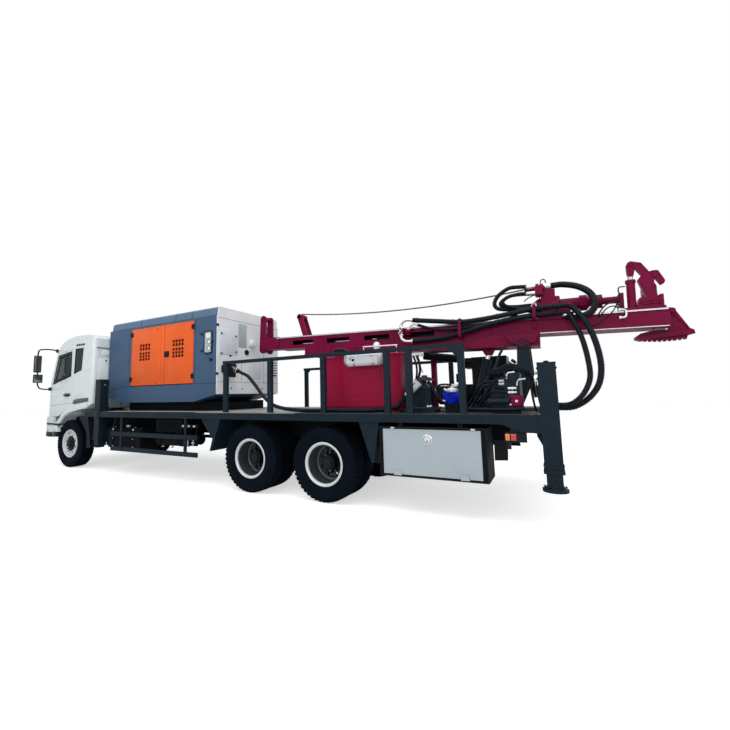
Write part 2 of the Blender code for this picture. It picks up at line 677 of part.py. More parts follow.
def make_deck():
    top = DECK_TOP
    under = top - DECK_PLATE - SEAT
    low = top - DECK_RAIL_DEPTH
    inner = DECK_HALF - DECK_RAIL_W
    adds = []
    for _, side in SIDES:
        adds.append(flipped(box(DECK_REAR_X, DECK_FRONT_X, inner, DECK_HALF, low, top), side))
        adds += [flipped(a, side) for a in handrail() + side_guard()]
        adds.append(flipped(box(FRAME_REAR_X, DECK_FRONT_X, FRAME_HALF - 0.08, FRAME_HALF, RAIL_TOP + SEAT, under), side))
        gusset = [(-2.34, low + BITE), (-2.54, 1.055), (DECK_REAR_X, 1.035), (DECK_REAR_X, low + BITE)]
        adds.append(flipped(extruded(gusset, inner, DECK_HALF, "Y"), side))
        adds.append(flipped(box(DECK_REAR_X, -2.60, WELL_HALF + 0.05, inner + BITE, 1.035, under), side))
        adds.append(flipped(box(-2.60, -2.38, inner - 0.05, inner + 0.010, 0.93, 1.04), side))
        adds.append(flipped(box(-2.505, -2.435, inner - 0.04, inner + BITE, 1.03, low + BITE), side))
        adds.append(flipped(box(-2.437, -2.393, inner - 0.04, inner, 0.85, 0.94), side))
        front_flap = [(1.95, under), (2.42, under), (2.40, 1.09), (2.15, 0.80), (2.21, 0.60), (2.17, 0.60)]
        adds.append(flipped(extruded(front_flap, DECK_HALF - 0.045, DECK_HALF - 0.020, "Y"), side))
        adds.append(flipped(beam((1.97, under - 0.005), (2.19, 0.60), 0.016, 0.60, DECK_HALF - 0.022), side))
        rear_flap = [(-0.55, under), (-0.86, under), (-0.86, 1.08), (-0.79, 0.60), (-0.75, 0.60)]
        adds.append(flipped(extruded(rear_flap, DECK_HALF - 0.045, DECK_HALF - 0.020, "Y"), side))
        adds.append(flipped(beam((-0.56, under - 0.005), (-0.77, 0.60), 0.016, 0.60, DECK_HALF - 0.022), side))
    span = inner + BITE
    for x in (FRAME_REAR_X + 0.03, -1.70, -0.90, 0.20, 1.10, 2.30, 3.30, 4.30, DECK_FRONT_X - 0.04):
        adds.append(box(x - 0.03, x + 0.03, -span, span, low + 0.004, under))
    node("deck_frame", "frame", adds)
    plate = box(DECK_REAR_X, DECK_FRONT_X, -inner + SEAT, inner - SEAT, top - DECK_PLATE, top)
    well = box(DECK_REAR_X - 0.1, FRAME_REAR_X, -WELL_HALF, WELL_HALF, top - 0.2, top + 0.2)
    slot = box(RAM_BASE_X - 0.34, RAM_BASE_X + 0.12, -0.13, 0.13, top - 0.2, top + 0.2)
    node("deck_plate", "deck", [plate], [well, slot])


def make_tanks():
    y_in = FRAME_HALF + SEAT
    section = [(0.62, 0.50), (1.08, 0.50), (1.14, 0.56), (1.14, 0.86), (1.08, 0.92), (0.62, 0.92), (0.56, 0.86), (0.56, 0.56)]
    adds = [extruded(section, 4.20, 5.30, "X")]
    for x in (4.42, 5.08):
        adds.append(box(x - 0.03, x + 0.03, y_in, 0.60, 0.81, 0.91))
        band = inset(section, -0.008)
        adds.append(extruded(band, x - 0.025, x + 0.025, "X"))
    adds.append(disc("Z", (4.75, 0.95, 0), 0.05, 0.90, 0.965))
    adds.append(box(3.60, 4.25, 0.66, 0.74, 0.66, 0.74))
    adds.append(box(3.06, 3.78, 0.62, 1.10, 0.86, 1.09))
    cuts = []
    for y, z in ((0.70, 0.70), (0.98, 0.70)):
        adds.append(turned([(3.00, 0), (3.00, 0.07), (3.03, 0.10), (3.83, 0.10), (3.86, 0.07), (3.86, 0)], "X", (0, y, z), HIDDEN))
    for x in (3.20, 3.62):
        adds.append(box(x - 0.03, x + 0.03, y_in, 1.08, 0.77, 0.87))
    node("side_tanks", "black", adds, cuts)


def make_toolbox():
    x0, x1 = -2.19, -0.87
    z0, z1 = 0.455, 1.075
    y1 = DECK_HALF - 0.028
    y0 = y1 - TOOLBOX_DEPTH
    wall = 0.020
    under = DECK_TOP - DECK_RAIL_DEPTH - SEAT
    adds = [box(x0, x1, y0, y1, z0, z1)]
    for x in (-1.90, -1.16):
        adds.append(box(x - 0.03, x + 0.03, DECK_HALF - 0.058, DECK_HALF - 0.030, z1 - 0.05, under))
    lid_x = (-2.125, -0.920)
    lid_z = (0.485, 1.045)
    gap = DOOR_GAP
    cuts = [box(x0 + wall, x1 - wall, y0 + wall, y1 - 0.030, z0 + wall, z1 - wall)]
    cuts.append(box(lid_x[0] - gap, lid_x[1] + gap, y1 - 0.05, y1 + 0.02, lid_z[0] - gap, lid_z[1] + gap))
    node("toolbox", "black", adds, cuts)
    lid = [box(lid_x[0], lid_x[1], y1 - 0.026, y1, lid_z[0], lid_z[1])]
    lid.append(disc("Y", (-1.50, 0, 0.925), 0.045, y1 - BITE, y1 + 0.014))
    for x in (-1.98, -1.16):
        lid.append(pin("X", (x, y1 + HINGE_OUT, lid_z[0] - 0.003), HINGE_R, 0, 0.10, SMALL))
        lid.append(box(x + 0.005, x + 0.095, y1 - BITE, y1 + HINGE_OUT + HINGE_R - 0.002, lid_z[0] - 0.003, lid_z[0] + 0.05))
    node("toolbox_lid", "box_grey", lid)


def square(x, y, half, z0, z1):
    return box(x - half, x + half, y - half, y + half, z0, z1)


def make_rear_jacks():
    y = DECK_HALF - REAR_TUBE / 2
    x = REAR_JACK_X
    half = REAR_TUBE / 2
    bore = half - REAR_TUBE_WALL
    leg = bore - 0.005
    for tag, side in SIDES:
        adds = [square(x, y, half, REAR_TUBE_LOW, REAR_TUBE_TOP)]
        adds.append(square(x, y, half + 0.010, REAR_TUBE_LOW - COLLAR, REAR_TUBE_LOW))
        adds.append(box(x + half - BITE, DECK_REAR_X - SEAT, y - half, y + half - 0.004, 1.04, DECK_TOP - 0.004))
        adds.append(box(x - 0.07, DECK_REAR_X - SEAT, WELL_HALF + 0.06, y - half + BITE, 1.04, 1.22))
        adds.append(box(x - 0.05, x + 0.04, WELL_HALF + 0.08, WELL_HALF + 0.24, 1.21, 1.36))
        cuts = [square(x, y, bore, REAR_TUBE_LOW, REAR_TUBE_TOP - 0.010)]
        cuts.append(square(x, y, leg + RUN, REAR_TUBE_LOW - COLLAR - 0.02, REAR_TUBE_LOW + 0.01))
        node("rear_jack_housing_" + tag, "frame", [flipped(a, side) for a in adds], [flipped(c, side) for c in cuts])
        pad = [(REAR_PAD_LOW, 0), (REAR_PAD_LOW, PAD_R), (REAR_PAD_LOW + PAD_T * 0.6, PAD_R),
               (REAR_PAD_LOW + PAD_T, PAD_R * 0.7), (REAR_PAD_LOW + PAD_T, 0)]
        adds = [square(x, y, leg, REAR_PAD_LOW + PAD_T - BITE, LEG_TOP)]
        adds.append(turned(pad, "Z", (x, y, 0)))
        node("rear_jack_leg_" + tag, "frame", [flipped(a, side) for a in adds])


def make_front_jacks():
    y = DECK_HALF - FRONT_TUBE / 2
    x = FRONT_JACK_X
    half = FRONT_TUBE / 2
    bore = half - FRONT_TUBE_WALL
    leg = bore - 0.005
    adds = [box(x - half + 0.01, x + half - 0.01, -y, y, RAIL_TOP + SEAT, 1.22)]
    cuts = []
    for _, side in SIDES:
        adds.append(flipped(square(x, y, half, FRONT_TUBE_LOW, FRONT_TUBE_TOP), side))
        adds.append(flipped(square(x, y, half + 0.010, FRONT_TUBE_LOW - COLLAR, FRONT_TUBE_LOW), side))
        adds.append(flipped(box(DECK_FRONT_X + SEAT, x, y - 0.05, DECK_HALF - 0.004, 1.13, 1.238), side))
        adds.append(flipped(box(x, DECK_NOSE_X, DECK_HALF - 0.06, DECK_HALF - 0.004, 1.13, 1.235), side))
        flap = [(DECK_NOSE_X - 0.02, 1.20), (DECK_NOSE_X - 0.14, 0.66)]
        adds.append(flipped(beam(*flap, 0.016, 0.66, DECK_HALF - 0.006), side))
        cuts.append(flipped(square(x, y, bore, FRONT_TUBE_LOW, FRONT_TUBE_TOP - 0.010), side))
        cuts.append(flipped(square(x, y, leg + RUN, FRONT_TUBE_LOW - COLLAR - 0.02, FRONT_TUBE_LOW + 0.01), side))
    node("front_jack_frame", "frame", adds, cuts)
    for tag, side in SIDES:
        pad = [(FRONT_PAD_LOW, 0), (FRONT_PAD_LOW, PAD_R * 0.72), (FRONT_PAD_LOW + 0.03, PAD_R * 0.72),
               (FRONT_PAD_LOW + 0.05, PAD_R * 0.5), (FRONT_PAD_LOW + 0.05, 0)]
        adds = [square(x, y, leg, FRONT_PAD_LOW + 0.046, LEG_TOP)]
        adds.append(turned(pad, "Z", (x, y, 0)))
        node("front_jack_leg_" + tag, "frame", [flipped(a, side) for a in adds])


def make_compressor():
    side_outline = [
        (COMP_REAR, COMP_LOW + 0.135), (COMP_REAR + 0.60, COMP_LOW), (COMP_FRONT - 0.465, COMP_LOW),
        (COMP_FRONT, COMP_LOW + 0.125), (COMP_FRONT, COMP_SHOULDER), (COMP_REAR, COMP_SHOULDER),
    ]
    body = extruded(side_outline, -COMP_HALF, COMP_HALF, "Y")
    lid_section = [(-COMP_HALF + 0.012, COMP_SHOULDER - BITE), (COMP_HALF - 0.012, COMP_SHOULDER - BITE),
                   (COMP_HALF - 0.030, COMP_TOP - 0.03), (COMP_HALF - 0.070, COMP_TOP),
                   (-COMP_HALF + 0.070, COMP_TOP), (-COMP_HALF + 0.030, COMP_TOP - 0.03)]
    lid = extruded(lid_section, COMP_REAR + 0.004, COMP_FRONT - 0.065, "X")
    w = COMP_WALL
    room = box(COMP_REAR + w, COMP_FRONT - w, -COMP_HALF + w, COMP_HALF - w, COMP_FLOOR, COMP_TOP - 2 * w)
    room_low = box(COMP_REAR + 0.45, COMP_FRONT - 0.60, -0.70, 0.70, COMP_LOW - 0.05, COMP_FLOOR + 0.05)
    g = DOOR_GAP
    door = box(COMP_DOOR_REAR - g, COMP_DOOR_FRONT + g, COMP_HALF - w - 0.02, COMP_HALF + 0.05,
               COMP_DOOR_LOW - g, COMP_DOOR_TOP + g)
    cuts = [room, room_low, door]
    for k in range(6):
        z = 1.92 + 0.055 * k
        cuts.append(box(COMP_REAR - 0.02, COMP_REAR + w + 0.02, -0.86, -0.66, z, z + 0.026))
    cuts.append(disc("X", (0, 0.555, 2.290), 0.045, COMP_REAR - 0.02, COMP_REAR + w + 0.02))
    cuts.append(box(2.52, 2.70, COMP_HALF - 0.012, COMP_HALF + 0.02, 2.27, 2.70))
    for k in range(8):
        z = 1.95 + 0.07 * k
        cuts.append(box(3.40, 4.60, -COMP_HALF - 0.02, -COMP_HALF + w + 0.02, z, z + 0.03))
    node("compressor_canopy", "blue_grey", [body, lid], cuts)
    leaves = (
        ("front", COMP_DOOR_SPLIT + g / 2, COMP_DOOR_FRONT, 4.33),
        ("rear", COMP_DOOR_REAR, COMP_DOOR_SPLIT - g / 2, 3.37),
    )
    for tag, x0, x1, middle in leaves:
        panel = box(x0, x1, COMP_HALF - w, COMP_HALF, COMP_DOOR_LOW, COMP_DOOR_TOP)
        adds = [panel]
        turn = 1 if tag == "front" else -1
        axis_x = (x1 if tag == "front" else x0) + 0.003 * turn
        for z in (1.84, 2.80):
            adds.append(pin("Z", (axis_x, COMP_HALF + HINGE_OUT, z), HINGE_R, 0, 0.09, SMALL))
            adds.append(box(min(axis_x, axis_x - 0.06 * turn), max(axis_x, axis_x - 0.06 * turn), COMP_HALF - BITE,
                            COMP_HALF + HINGE_OUT + HINGE_R - 0.002, z + 0.005, z + 0.085))
        if tag == "rear":
            adds.append(box(x1 - 0.16, x1 - 0.05, COMP_HALF - BITE, COMP_HALF + 0.020, 2.27, 2.39))
        cuts = []
        for column in range(4):
            for row, z in enumerate((2.23, 2.30, 2.37, 2.50, 2.57)):
                x = middle + (column - 1.5) * 0.100
                cuts.append(box(x - 0.040, x + 0.040, COMP_HALF - w - 0.01, COMP_HALF + 0.01, z, z + 0.045))
        node("compressor_door_" + tag, "orange", adds, cuts)


def make_compressor_set():
    base = DECK_TOP + SEAT
    adds = [box(3.05, 4.90, -0.68, 0.68, COMP_LOW - 0.02, COMP_FLOOR + 0.02)]
    for y in (-0.52, 0.52):
        adds.append(box(2.62, 5.30, y - 0.14, y + 0.14, base, COMP_LOW - SEAT))
    for x in (2.75, 3.95, 5.15):
        adds.append(box(x - 0.12, x + 0.12, -0.60, 0.60, base + 0.02, COMP_LOW - SEAT - 0.02))
    adds.append(box(4.00, 4.95, -0.50, 0.50, COMP_FLOOR, 2.50))
    adds.append(disc("X", (0, 0.10, 2.02), 0.36, 3.00, 4.05))
    adds.append(box(3.20, 3.90, -0.35, 0.35, COMP_FLOOR, 2.00))
    node("compressor_set", "black", adds)
    y = 0.66
    x = COMP_REAR
    adds = [box(x - 0.13, x - SEAT, y - 0.11, y + 0.13, 1.95, 2.08)]
    adds.append(disc("X", (0, y + 0.08, 2.02), 0.055, x - 0.18, x - SEAT))
    adds.append(disc("Z", (x - 0.07, y, 0), 0.04, 2.07, 2.12))
    adds.append(swept([AIR_OUTLET, tuple(Vector(AIR_OUTLET) + 0.18 * Vector(AIR_FALL))], 0.042))
    node("air_outlet_valve", "black", adds)


def mast_frame():
    tilt = Matrix.Rotation(math.radians(-REST_TILT), 4, "Y")
    return Matrix.Translation((PIVOT_X, 0, PIVOT_Z)) @ tilt


def make_pivot_frame():
    y0 = CHEEK_IN + CHEEK_T + FREE
    y1 = y0 + BRACKET_T
    outline = [(PIVOT_X - 0.03, DECK_TOP + 0.30), (PIVOT_X - 0.095, 1.74), (PIVOT_X - 0.070, PIVOT_Z)]
    for k in range(1, 6):
        turn = math.pi * k / 6
        outline.append((PIVOT_X - 0.070 * math.cos(turn), PIVOT_Z + 0.070 * math.sin(turn)))
    outline += [(PIVOT_X + 0.070, PIVOT_Z), (PIVOT_X + 0.085, 1.86), (PIVOT_X + 0.200, 1.74), (PIVOT_X + 0.46, DECK_TOP + SEAT),
                (FRAME_REAR_X, DECK_TOP + SEAT)]
    adds = []
    cuts = []
    for _, side in SIDES:
        adds.append(flipped(extruded(outline, y0, y1, "Y"), side))
        cuts.append(flipped(disc("Y", (PIVOT_X, 0, PIVOT_Z), PIN_R / math.cos(math.pi / ROUND) + RUN, y0 - 0.05, y1 + 0.05, ROUND), side))
        adds.append(flipped(box(FRAME_REAR_X, -2.06, y0 - 0.02, y1 + 0.12, DECK_TOP + SEAT, DECK_TOP + 0.016), side))
    adds.append(box(FRAME_REAR_X + 0.05, FRAME_REAR_X + 0.25, -y1, y1, DECK_TOP + SEAT, DECK_TOP + 0.14))
    ear = [(RAM_BASE_X + 0.10, DECK_TOP + 0.010), (RAM_BASE_X + 0.050, RAM_BASE_Z), (RAM_BASE_X + 0.025, RAM_BASE_Z - 0.045),
           (RAM_BASE_X - 0.025, RAM_BASE_Z - 0.045), (RAM_BASE_X - 0.050, RAM_BASE_Z), (RAM_BASE_X - 0.14, DECK_TOP + 0.010)]
    adds.append(box(FRAME_REAR_X + 0.2, RAM_BASE_X + 0.14, -0.20, 0.20, DECK_TOP + SEAT, DECK_TOP + 0.016))
    cuts.append(box(RAM_BASE_X - 0.30, RAM_BASE_X + 0.10, -RAM_EAR_IN + 0.002, RAM_EAR_IN - 0.002, DECK_TOP - 0.1, DECK_TOP + 0.1))
    for _, side in SIDES:
        adds.append(flipped(extruded(ear, RAM_EAR_IN, RAM_EAR_IN + 0.025, "Y"), side))
    adds.append(pin("Y", (RAM_BASE_X, 0, RAM_BASE_Z), 0.022, -RAM_EAR_IN - 0.01, RAM_EAR_IN + 0.01))
    node("pivot_frame", "frame", adds, cuts)


def ram_angle():
    eye = mast_frame() @ Vector((RAM_EYE_A, 0, RAM_EYE_N))
    rise = eye.z - RAM_BASE_Z
    run = eye.x - RAM_BASE_X
    return math.atan2(rise, run), math.hypot(rise, run)


def make_ram():
    angle, length = ram_angle()
    place = Matrix.Translation((RAM_BASE_X, 0, RAM_BASE_Z)) @ Matrix.Rotation(-angle, 4, "Y")
    barrel_end = length - 0.085
    bore = RAM_ROD_R / math.cos(math.pi / ROUND) + RUN
    eye_bore = 0.022 / math.cos(math.pi / ROUND) + RUN
    adds = [disc("X", (0, 0, 0), RAM_BARREL_R, 0.060, barrel_end, ROUND)]
    adds.append(disc("X", (0, 0, 0), RAM_BARREL_R + 0.008, barrel_end - 0.05, barrel_end, ROUND))
    adds.append(disc("Y", (0, 0, 0), 0.042, -RAM_EAR_IN + FREE, RAM_EAR_IN - FREE, ROUND))
    adds.append(box(0.0, 0.080, -0.035, 0.035, -0.030, 0.030))
    cuts = [disc("X", (0, 0, 0), bore, 0.10, barrel_end + 0.05, ROUND)]
    cuts.append(disc("Y", (0, 0, 0), eye_bore, -0.10, 0.10, ROUND))
    node("mast_ram_barrel", "frame", adds, cuts, frame=place)
    adds = [disc("X", (0, 0, 0), RAM_ROD_R, 0.13, length, ROUND)]
    adds.append(disc("Y", (length, 0, 0), 0.036, -0.040, 0.040))
    node("mast_ram_rod", "chrome", adds, frame=place)


def make_mast_rest():
    x = 0.27
    y = 0.55
    top = mast_frame() @ Vector((x - PIVOT_X, 0, CRADLE_LOW - SEAT))
    plate = 1.90
    adds = [box(x - 0.06, x + 0.06, -y - 0.05, y + 0.05, plate - 0.05, plate)]
    for _, side in SIDES:
        adds.append(flipped(box(x - 0.03, x + 0.03, y - 0.03, y + 0.03, DECK_TOP + SEAT, plate - 0.01), side))
        adds.append(flipped(extruded([(y, plate - 0.16), (y, plate - 0.02), (y - 0.14, plate - 0.02)], x - 0.02, x + 0.02, "X"), side))
        adds.append(flipped(box(x - 0.07, x + 0.07, y - 0.07, y + 0.07, DECK_TOP + SEAT, DECK_TOP + 0.016), side))
        horn = [(CRADLE_HALF + 0.020, plate - 0.01), (CRADLE_HALF + 0.020, plate + 0.12), (CRADLE_HALF + 0.10, plate + 0.19),
                (CRADLE_HALF + 0.13, plate + 0.17), (CRADLE_HALF + 0.06, plate - 0.01)]
        adds.append(flipped(extruded(horn, x - 0.04, x + 0.04, "X"), side))
    slope = math.tan(math.radians(REST_TILT))
    pad = [(x - 0.07, plate - 0.01), (x + 0.07, plate - 0.01), (x + 0.07, top.z + 0.07 * slope), (x - 0.07, top.z - 0.07 * slope)]
    adds.append(extruded(pad, -0.20, 0.20, "Y"))
    node("mast_rest", "frame", adds)


def cradle():
    """The channel under the mast with its cheeks, pins and the ram's clevis."""
    low = CRADLE_LOW
    high = MAST_LOW + BITE
    wall = 0.016
    channel = [(-CRADLE_HALF, low), (CRADLE_HALF, low), (CRADLE_HALF, high), (CRADLE_HALF - wall, high),
               (CRADLE_HALF - wall, low + wall), (-CRADLE_HALF + wall, low + wall), (-CRADLE_HALF + wall, high), (-CRADLE_HALF, high)]
    adds = [extruded(channel, CRADLE_REAR, CRADLE_FRONT, "X")]
    for a in (0.0, 0.90, 1.80, 2.70, 3.44):
        adds.append(box(a - 0.03, a + 0.03, -CRADLE_HALF + 0.01, CRADLE_HALF - 0.01, low + 0.01, high))
    for _, side in SIDES:
        cheek = [(-0.19, high - 0.01), (-0.15, 0.02)]
        for k in range(7):
            turn = math.pi * (1 + k / 6)
            cheek.append((0.085 * math.cos(turn), 0.085 * math.sin(turn)))
        cheek += [(0.15, 0.02), (0.22, high - 0.01)]
        adds.append(flipped(extruded(cheek, CRADLE_HALF - BITE, CHEEK_IN + CHEEK_T, "Y"), side))
        out = CHEEK_IN + CHEEK_T + FREE + BRACKET_T + FREE
        adds.append(flipped(pin("Y", (0, 0, 0), PIN_R, CHEEK_IN, out + BITE), side))
        adds.append(flipped(disc("Y", (0, 0, 0), BOSS_R, out, out + BOSS_T, ROUND), side))
        adds.append(flipped(extruded([(RAM_EYE_A - 0.09, low + BITE), (RAM_EYE_A - 0.04, RAM_EYE_N - 0.03), (RAM_EYE_A + 0.04, RAM_EYE_N - 0.03),
                                      (RAM_EYE_A + 0.09, low + BITE)], 0.040 + FREE, 0.040 + FREE + 0.022, "Y"), side))
    return adds


def make_mast():
    frame = mast_frame()
    h = MAST_HALF
    w = MAST_WALL
    tube = box(MAST_REAR, MAST_FRONT, -h, h, MAST_LOW, MAST_TOP)
    hollow = box(MAST_REAR - 0.05, MAST_FRONT - 0.05, -h + w, h - w, MAST_LOW + w, MAST_TOP - w)
    adds = [tube]
    lug = [(MAST_REAR + 0.03, 0.26), (FOOT_A, FOOT_N - 0.035), (FOOT_A - 0.030, FOOT_N - 0.018), (FOOT_A - 0.030, FOOT_N + 0.018),
           (FOOT_A, FOOT_N + 0.035), (MAST_REAR + 0.03, FOOT_N + 0.012)]
    for _, side in SIDES:
        adds.append(flipped(extruded(lug, 0.045 + FREE, 0.045 + FREE + 0.020, "Y"), side))
    adds.append(pin("Y", (FOOT_A, 0, FOOT_N), FOOT_PIN_R, -0.06, 0.06))
    for _, side in SIDES:
        adds.append(flipped(box(MAST_REAR, MAST_FRONT, h - 0.035, h + 0.012, MAST_TOP - 0.010, MAST_TOP + 0.016), side))
    adds.append(box(MAST_FRONT - 0.02, 4.53, -0.13, 0.13, 0.142, 0.375))
    horn = []
    for a, n, radius in ((4.585, 0.150, 0.075), (4.585, 0.760, 0.062)):
        start = math.pi if n < 0.5 else 0
        horn += [(a + radius * math.cos(start + math.pi * k / 5), n + radius * math.sin(start + math.pi * k / 5)) for k in range(6)]
    for _, side in SIDES:
        adds.append(flipped(extruded(horn, 0.085, 0.125, "Y"), side))
        adds.append(flipped(beam((3.60, 0.33), (3.745, 0.73), 0.10, 0.060, 0.090), side))
    adds.append(disc("Y", (4.585, 0, 0.76), 0.045, -0.10, 0.10))
    adds.append(disc("Y", (4.585, 0, 0.15), 0.055, -0.10, 0.10))
    adds.append(disc("Y", (3.745, 0, 0.73), 0.055, -0.10, 0.10))
    cuts = []
    for k in range(7):
        a = -0.95 + 0.72 * k
        cuts.append(box(a, a + 0.44, -h - 0.05, h + 0.05, MAST_LOW + 0.062, MAST_TOP - 0.062))
    slot = box(RAM_EYE_A - 0.22, RAM_EYE_A + 0.07, -0.044, 0.044, CRADLE_LOW - 0.05, MAST_LOW - 0.03)
    node("mast", "crimson", adds + cradle(), [hollow, slot] + cuts[3:], frame=frame)


def make_head():
    frame = mast_frame()
    a = HEAD_A
    n = SPINDLE_N
    base = MAST_TOP + 0.016 + SEAT
    adds = [box(a - 0.27, a + 0.16, -0.215, 0.215, base, base + 0.035)]
    adds.append(box(a - 0.075, a + 0.095, -0.12, 0.12, base + 0.02, 0.742))
    adds.append(box(a - 0.245, a - 0.070, -0.10, 0.10, base + 0.02, n))
    for _, side in SIDES:
        adds.append(flipped(box(a - 0.25, a + 0.13, 0.218, 0.245, base - 0.040, base + 0.035), side))
        adds.append(flipped(box(a - 0.25, a + 0.13, 0.19, 0.23, base + 0.004, base + 0.035), side))
    drive = [(a + 0.19, 0), (a + 0.19, 0.060), (a + 0.14, 0.105), (a + 0.09, 0.115), (a - 0.07, 0.130), (a - 0.12, 0.130),
             (a - 0.12, 0.080), (a - 0.35, 0.080), (a - 0.35, 0.105), (a - 0.43, 0.105), (a - 0.48, DRIVE_R),
             (a - 0.53, DRIVE_R), (a - 0.53, 0.090), (a - 0.60, 0.090), (a - 0.60, DRIVE_R), (a - 0.805, DRIVE_R), (a - 0.805, 0)]
    adds.append(turned(drive, "X", (0, 0, n), SMALL))
    swivel = [(a + SWIVEL_REACH, 0), (a + SWIVEL_REACH, 0.034), (a + 0.155, 0.034), (a + 0.155, 0.066), (a + 0.115, 0.066),
              (a + 0.115, 0.042), (a - 0.025, 0.042), (a - 0.025, 0)]
    adds.append(turned(swivel, "X", (0, 0, SWIVEL_N), SMALL))
    adds.append(box(a - 0.02, a + 0.08, -0.05, 0.05, 0.73, SWIVEL_N - 0.02))
    node("rotary_head", "crimson", adds, frame=frame)


def make_clamp():
    frame = mast_frame()
    a = CLAMP_A
    base = MAST_TOP + 0.016 + SEAT
    adds = [box(-1.53, -1.10, -0.205, 0.205, base, base + 0.030)]
    y = 0.155
    barrel = [(base + 0.01, 0), (base + 0.01, 0.046), (0.69, 0.046), (0.69, 0.054), (0.73, 0.054), (0.73, 0.028), (0.80, 0.028), (0.80, 0)]
    adds.append(turned(barrel, "Z", (a, y, 0), SMALL))
    arm = [(a + 0.022, 0.770), (a + 0.032, 0.810), (a + 0.036, 0.914), (a + 0.020, 0.948), (a - 0.010, 0.962), (a - 0.111, 0.930),
           (a - 0.183, 0.810), (a - 0.225, 0.818), (a - 0.268, 0.814), (a - 0.328, 0.683), (a - 0.318, 0.652), (a - 0.287, 0.636),
           (a - 0.232, 0.728), (a - 0.224, 0.690), (a - 0.252, 0.480), (a - 0.140, 0.480), (a - 0.066, 0.719), (a - 0.108, 0.774),
           (a - 0.049, 0.869), (a - 0.037, 0.800), (a - 0.028, 0.770)]
    adds.append(extruded(arm, y - 0.030, y + 0.032, "Y"))
    side_plate = [(a - 0.074, 0.497), (a - 0.040, 0.400), (a - 0.040, base + 0.004), (a - 0.280, base + 0.004), (a - 0.290, 0.492)]
    adds.append(extruded(side_plate, -0.195, 0.195, "Y"))
    adds.append(box(a - 0.300, a - 0.265, -0.20, 0.20, base + 0.01, 0.520))
    adds.append(box(a - 0.250, a - 0.145, -0.160, y - 0.020, 0.480, 0.660))
    adds.append(box(a + 0.065, a + 0.110, -0.150, 0.090, base + 0.01, 0.600))
    cuts = [disc("X", (0, 0, SPINDLE_N), DRIVE_R + 0.014, -1.70, -0.90, SMALL)]
    for low, high in ((0.400, 0.412), (0.440, 0.452)):
        cuts.append(box(a - 0.262, a - 0.085, 0.185, 0.21, low, high))
    node("rod_clamp", "crimson", adds, cuts, frame=frame)


def make_foot():
    """A fan plate with a toothed bar, hung on a pin between two lugs of the mast."""
    frame = mast_frame()
    outline = [(FOOT_A + 0.040, FOOT_N), (FOOT_A + 0.028, FOOT_N + 0.028), (FOOT_A, FOOT_N + 0.040),
               (FOOT_A - 0.028, FOOT_N + 0.028), (FOOT_A - 0.040, FOOT_N), (-1.765, 0.115), (-1.800, 0.095),
               (-1.810, 0.050), (-1.740, 0.030)]
    pitch = 0.047
    for k in range(10):
        a = -1.740 + pitch * k
        sag = 0.030 * (1 - ((a + 1.52) / 0.30) ** 2)
        outline += [(a + pitch * 0.30, -sag), (a + pitch * 0.70, -sag), (a + pitch, 0.030 - sag)]
    outline += [(-1.245, -0.010), (-1.240, 0.035), (-1.300, 0.080), (-1.40, 0.105), (FOOT_A + 0.040, 0.115)]
    adds = [extruded(outline, -0.030, 0.030, "Y")]
    bar = [(-1.790, 0.092), (-1.240, 0.032), (-1.250, 0.008), (-1.30, -0.012), (-1.76, 0.042)]
    adds.append(extruded(bar, -0.090, 0.090, "Y"))
    adds.append(disc("Y", (FOOT_A, 0, FOOT_N), 0.038, -0.045, 0.045, ROUND))
    cuts = [disc("Y", (FOOT_A, 0, FOOT_N), FOOT_PIN_R / math.cos(math.pi / ROUND) + RUN, -0.10, 0.10, ROUND)]
    node("foot_spade", "crimson", adds, cuts, frame=frame)


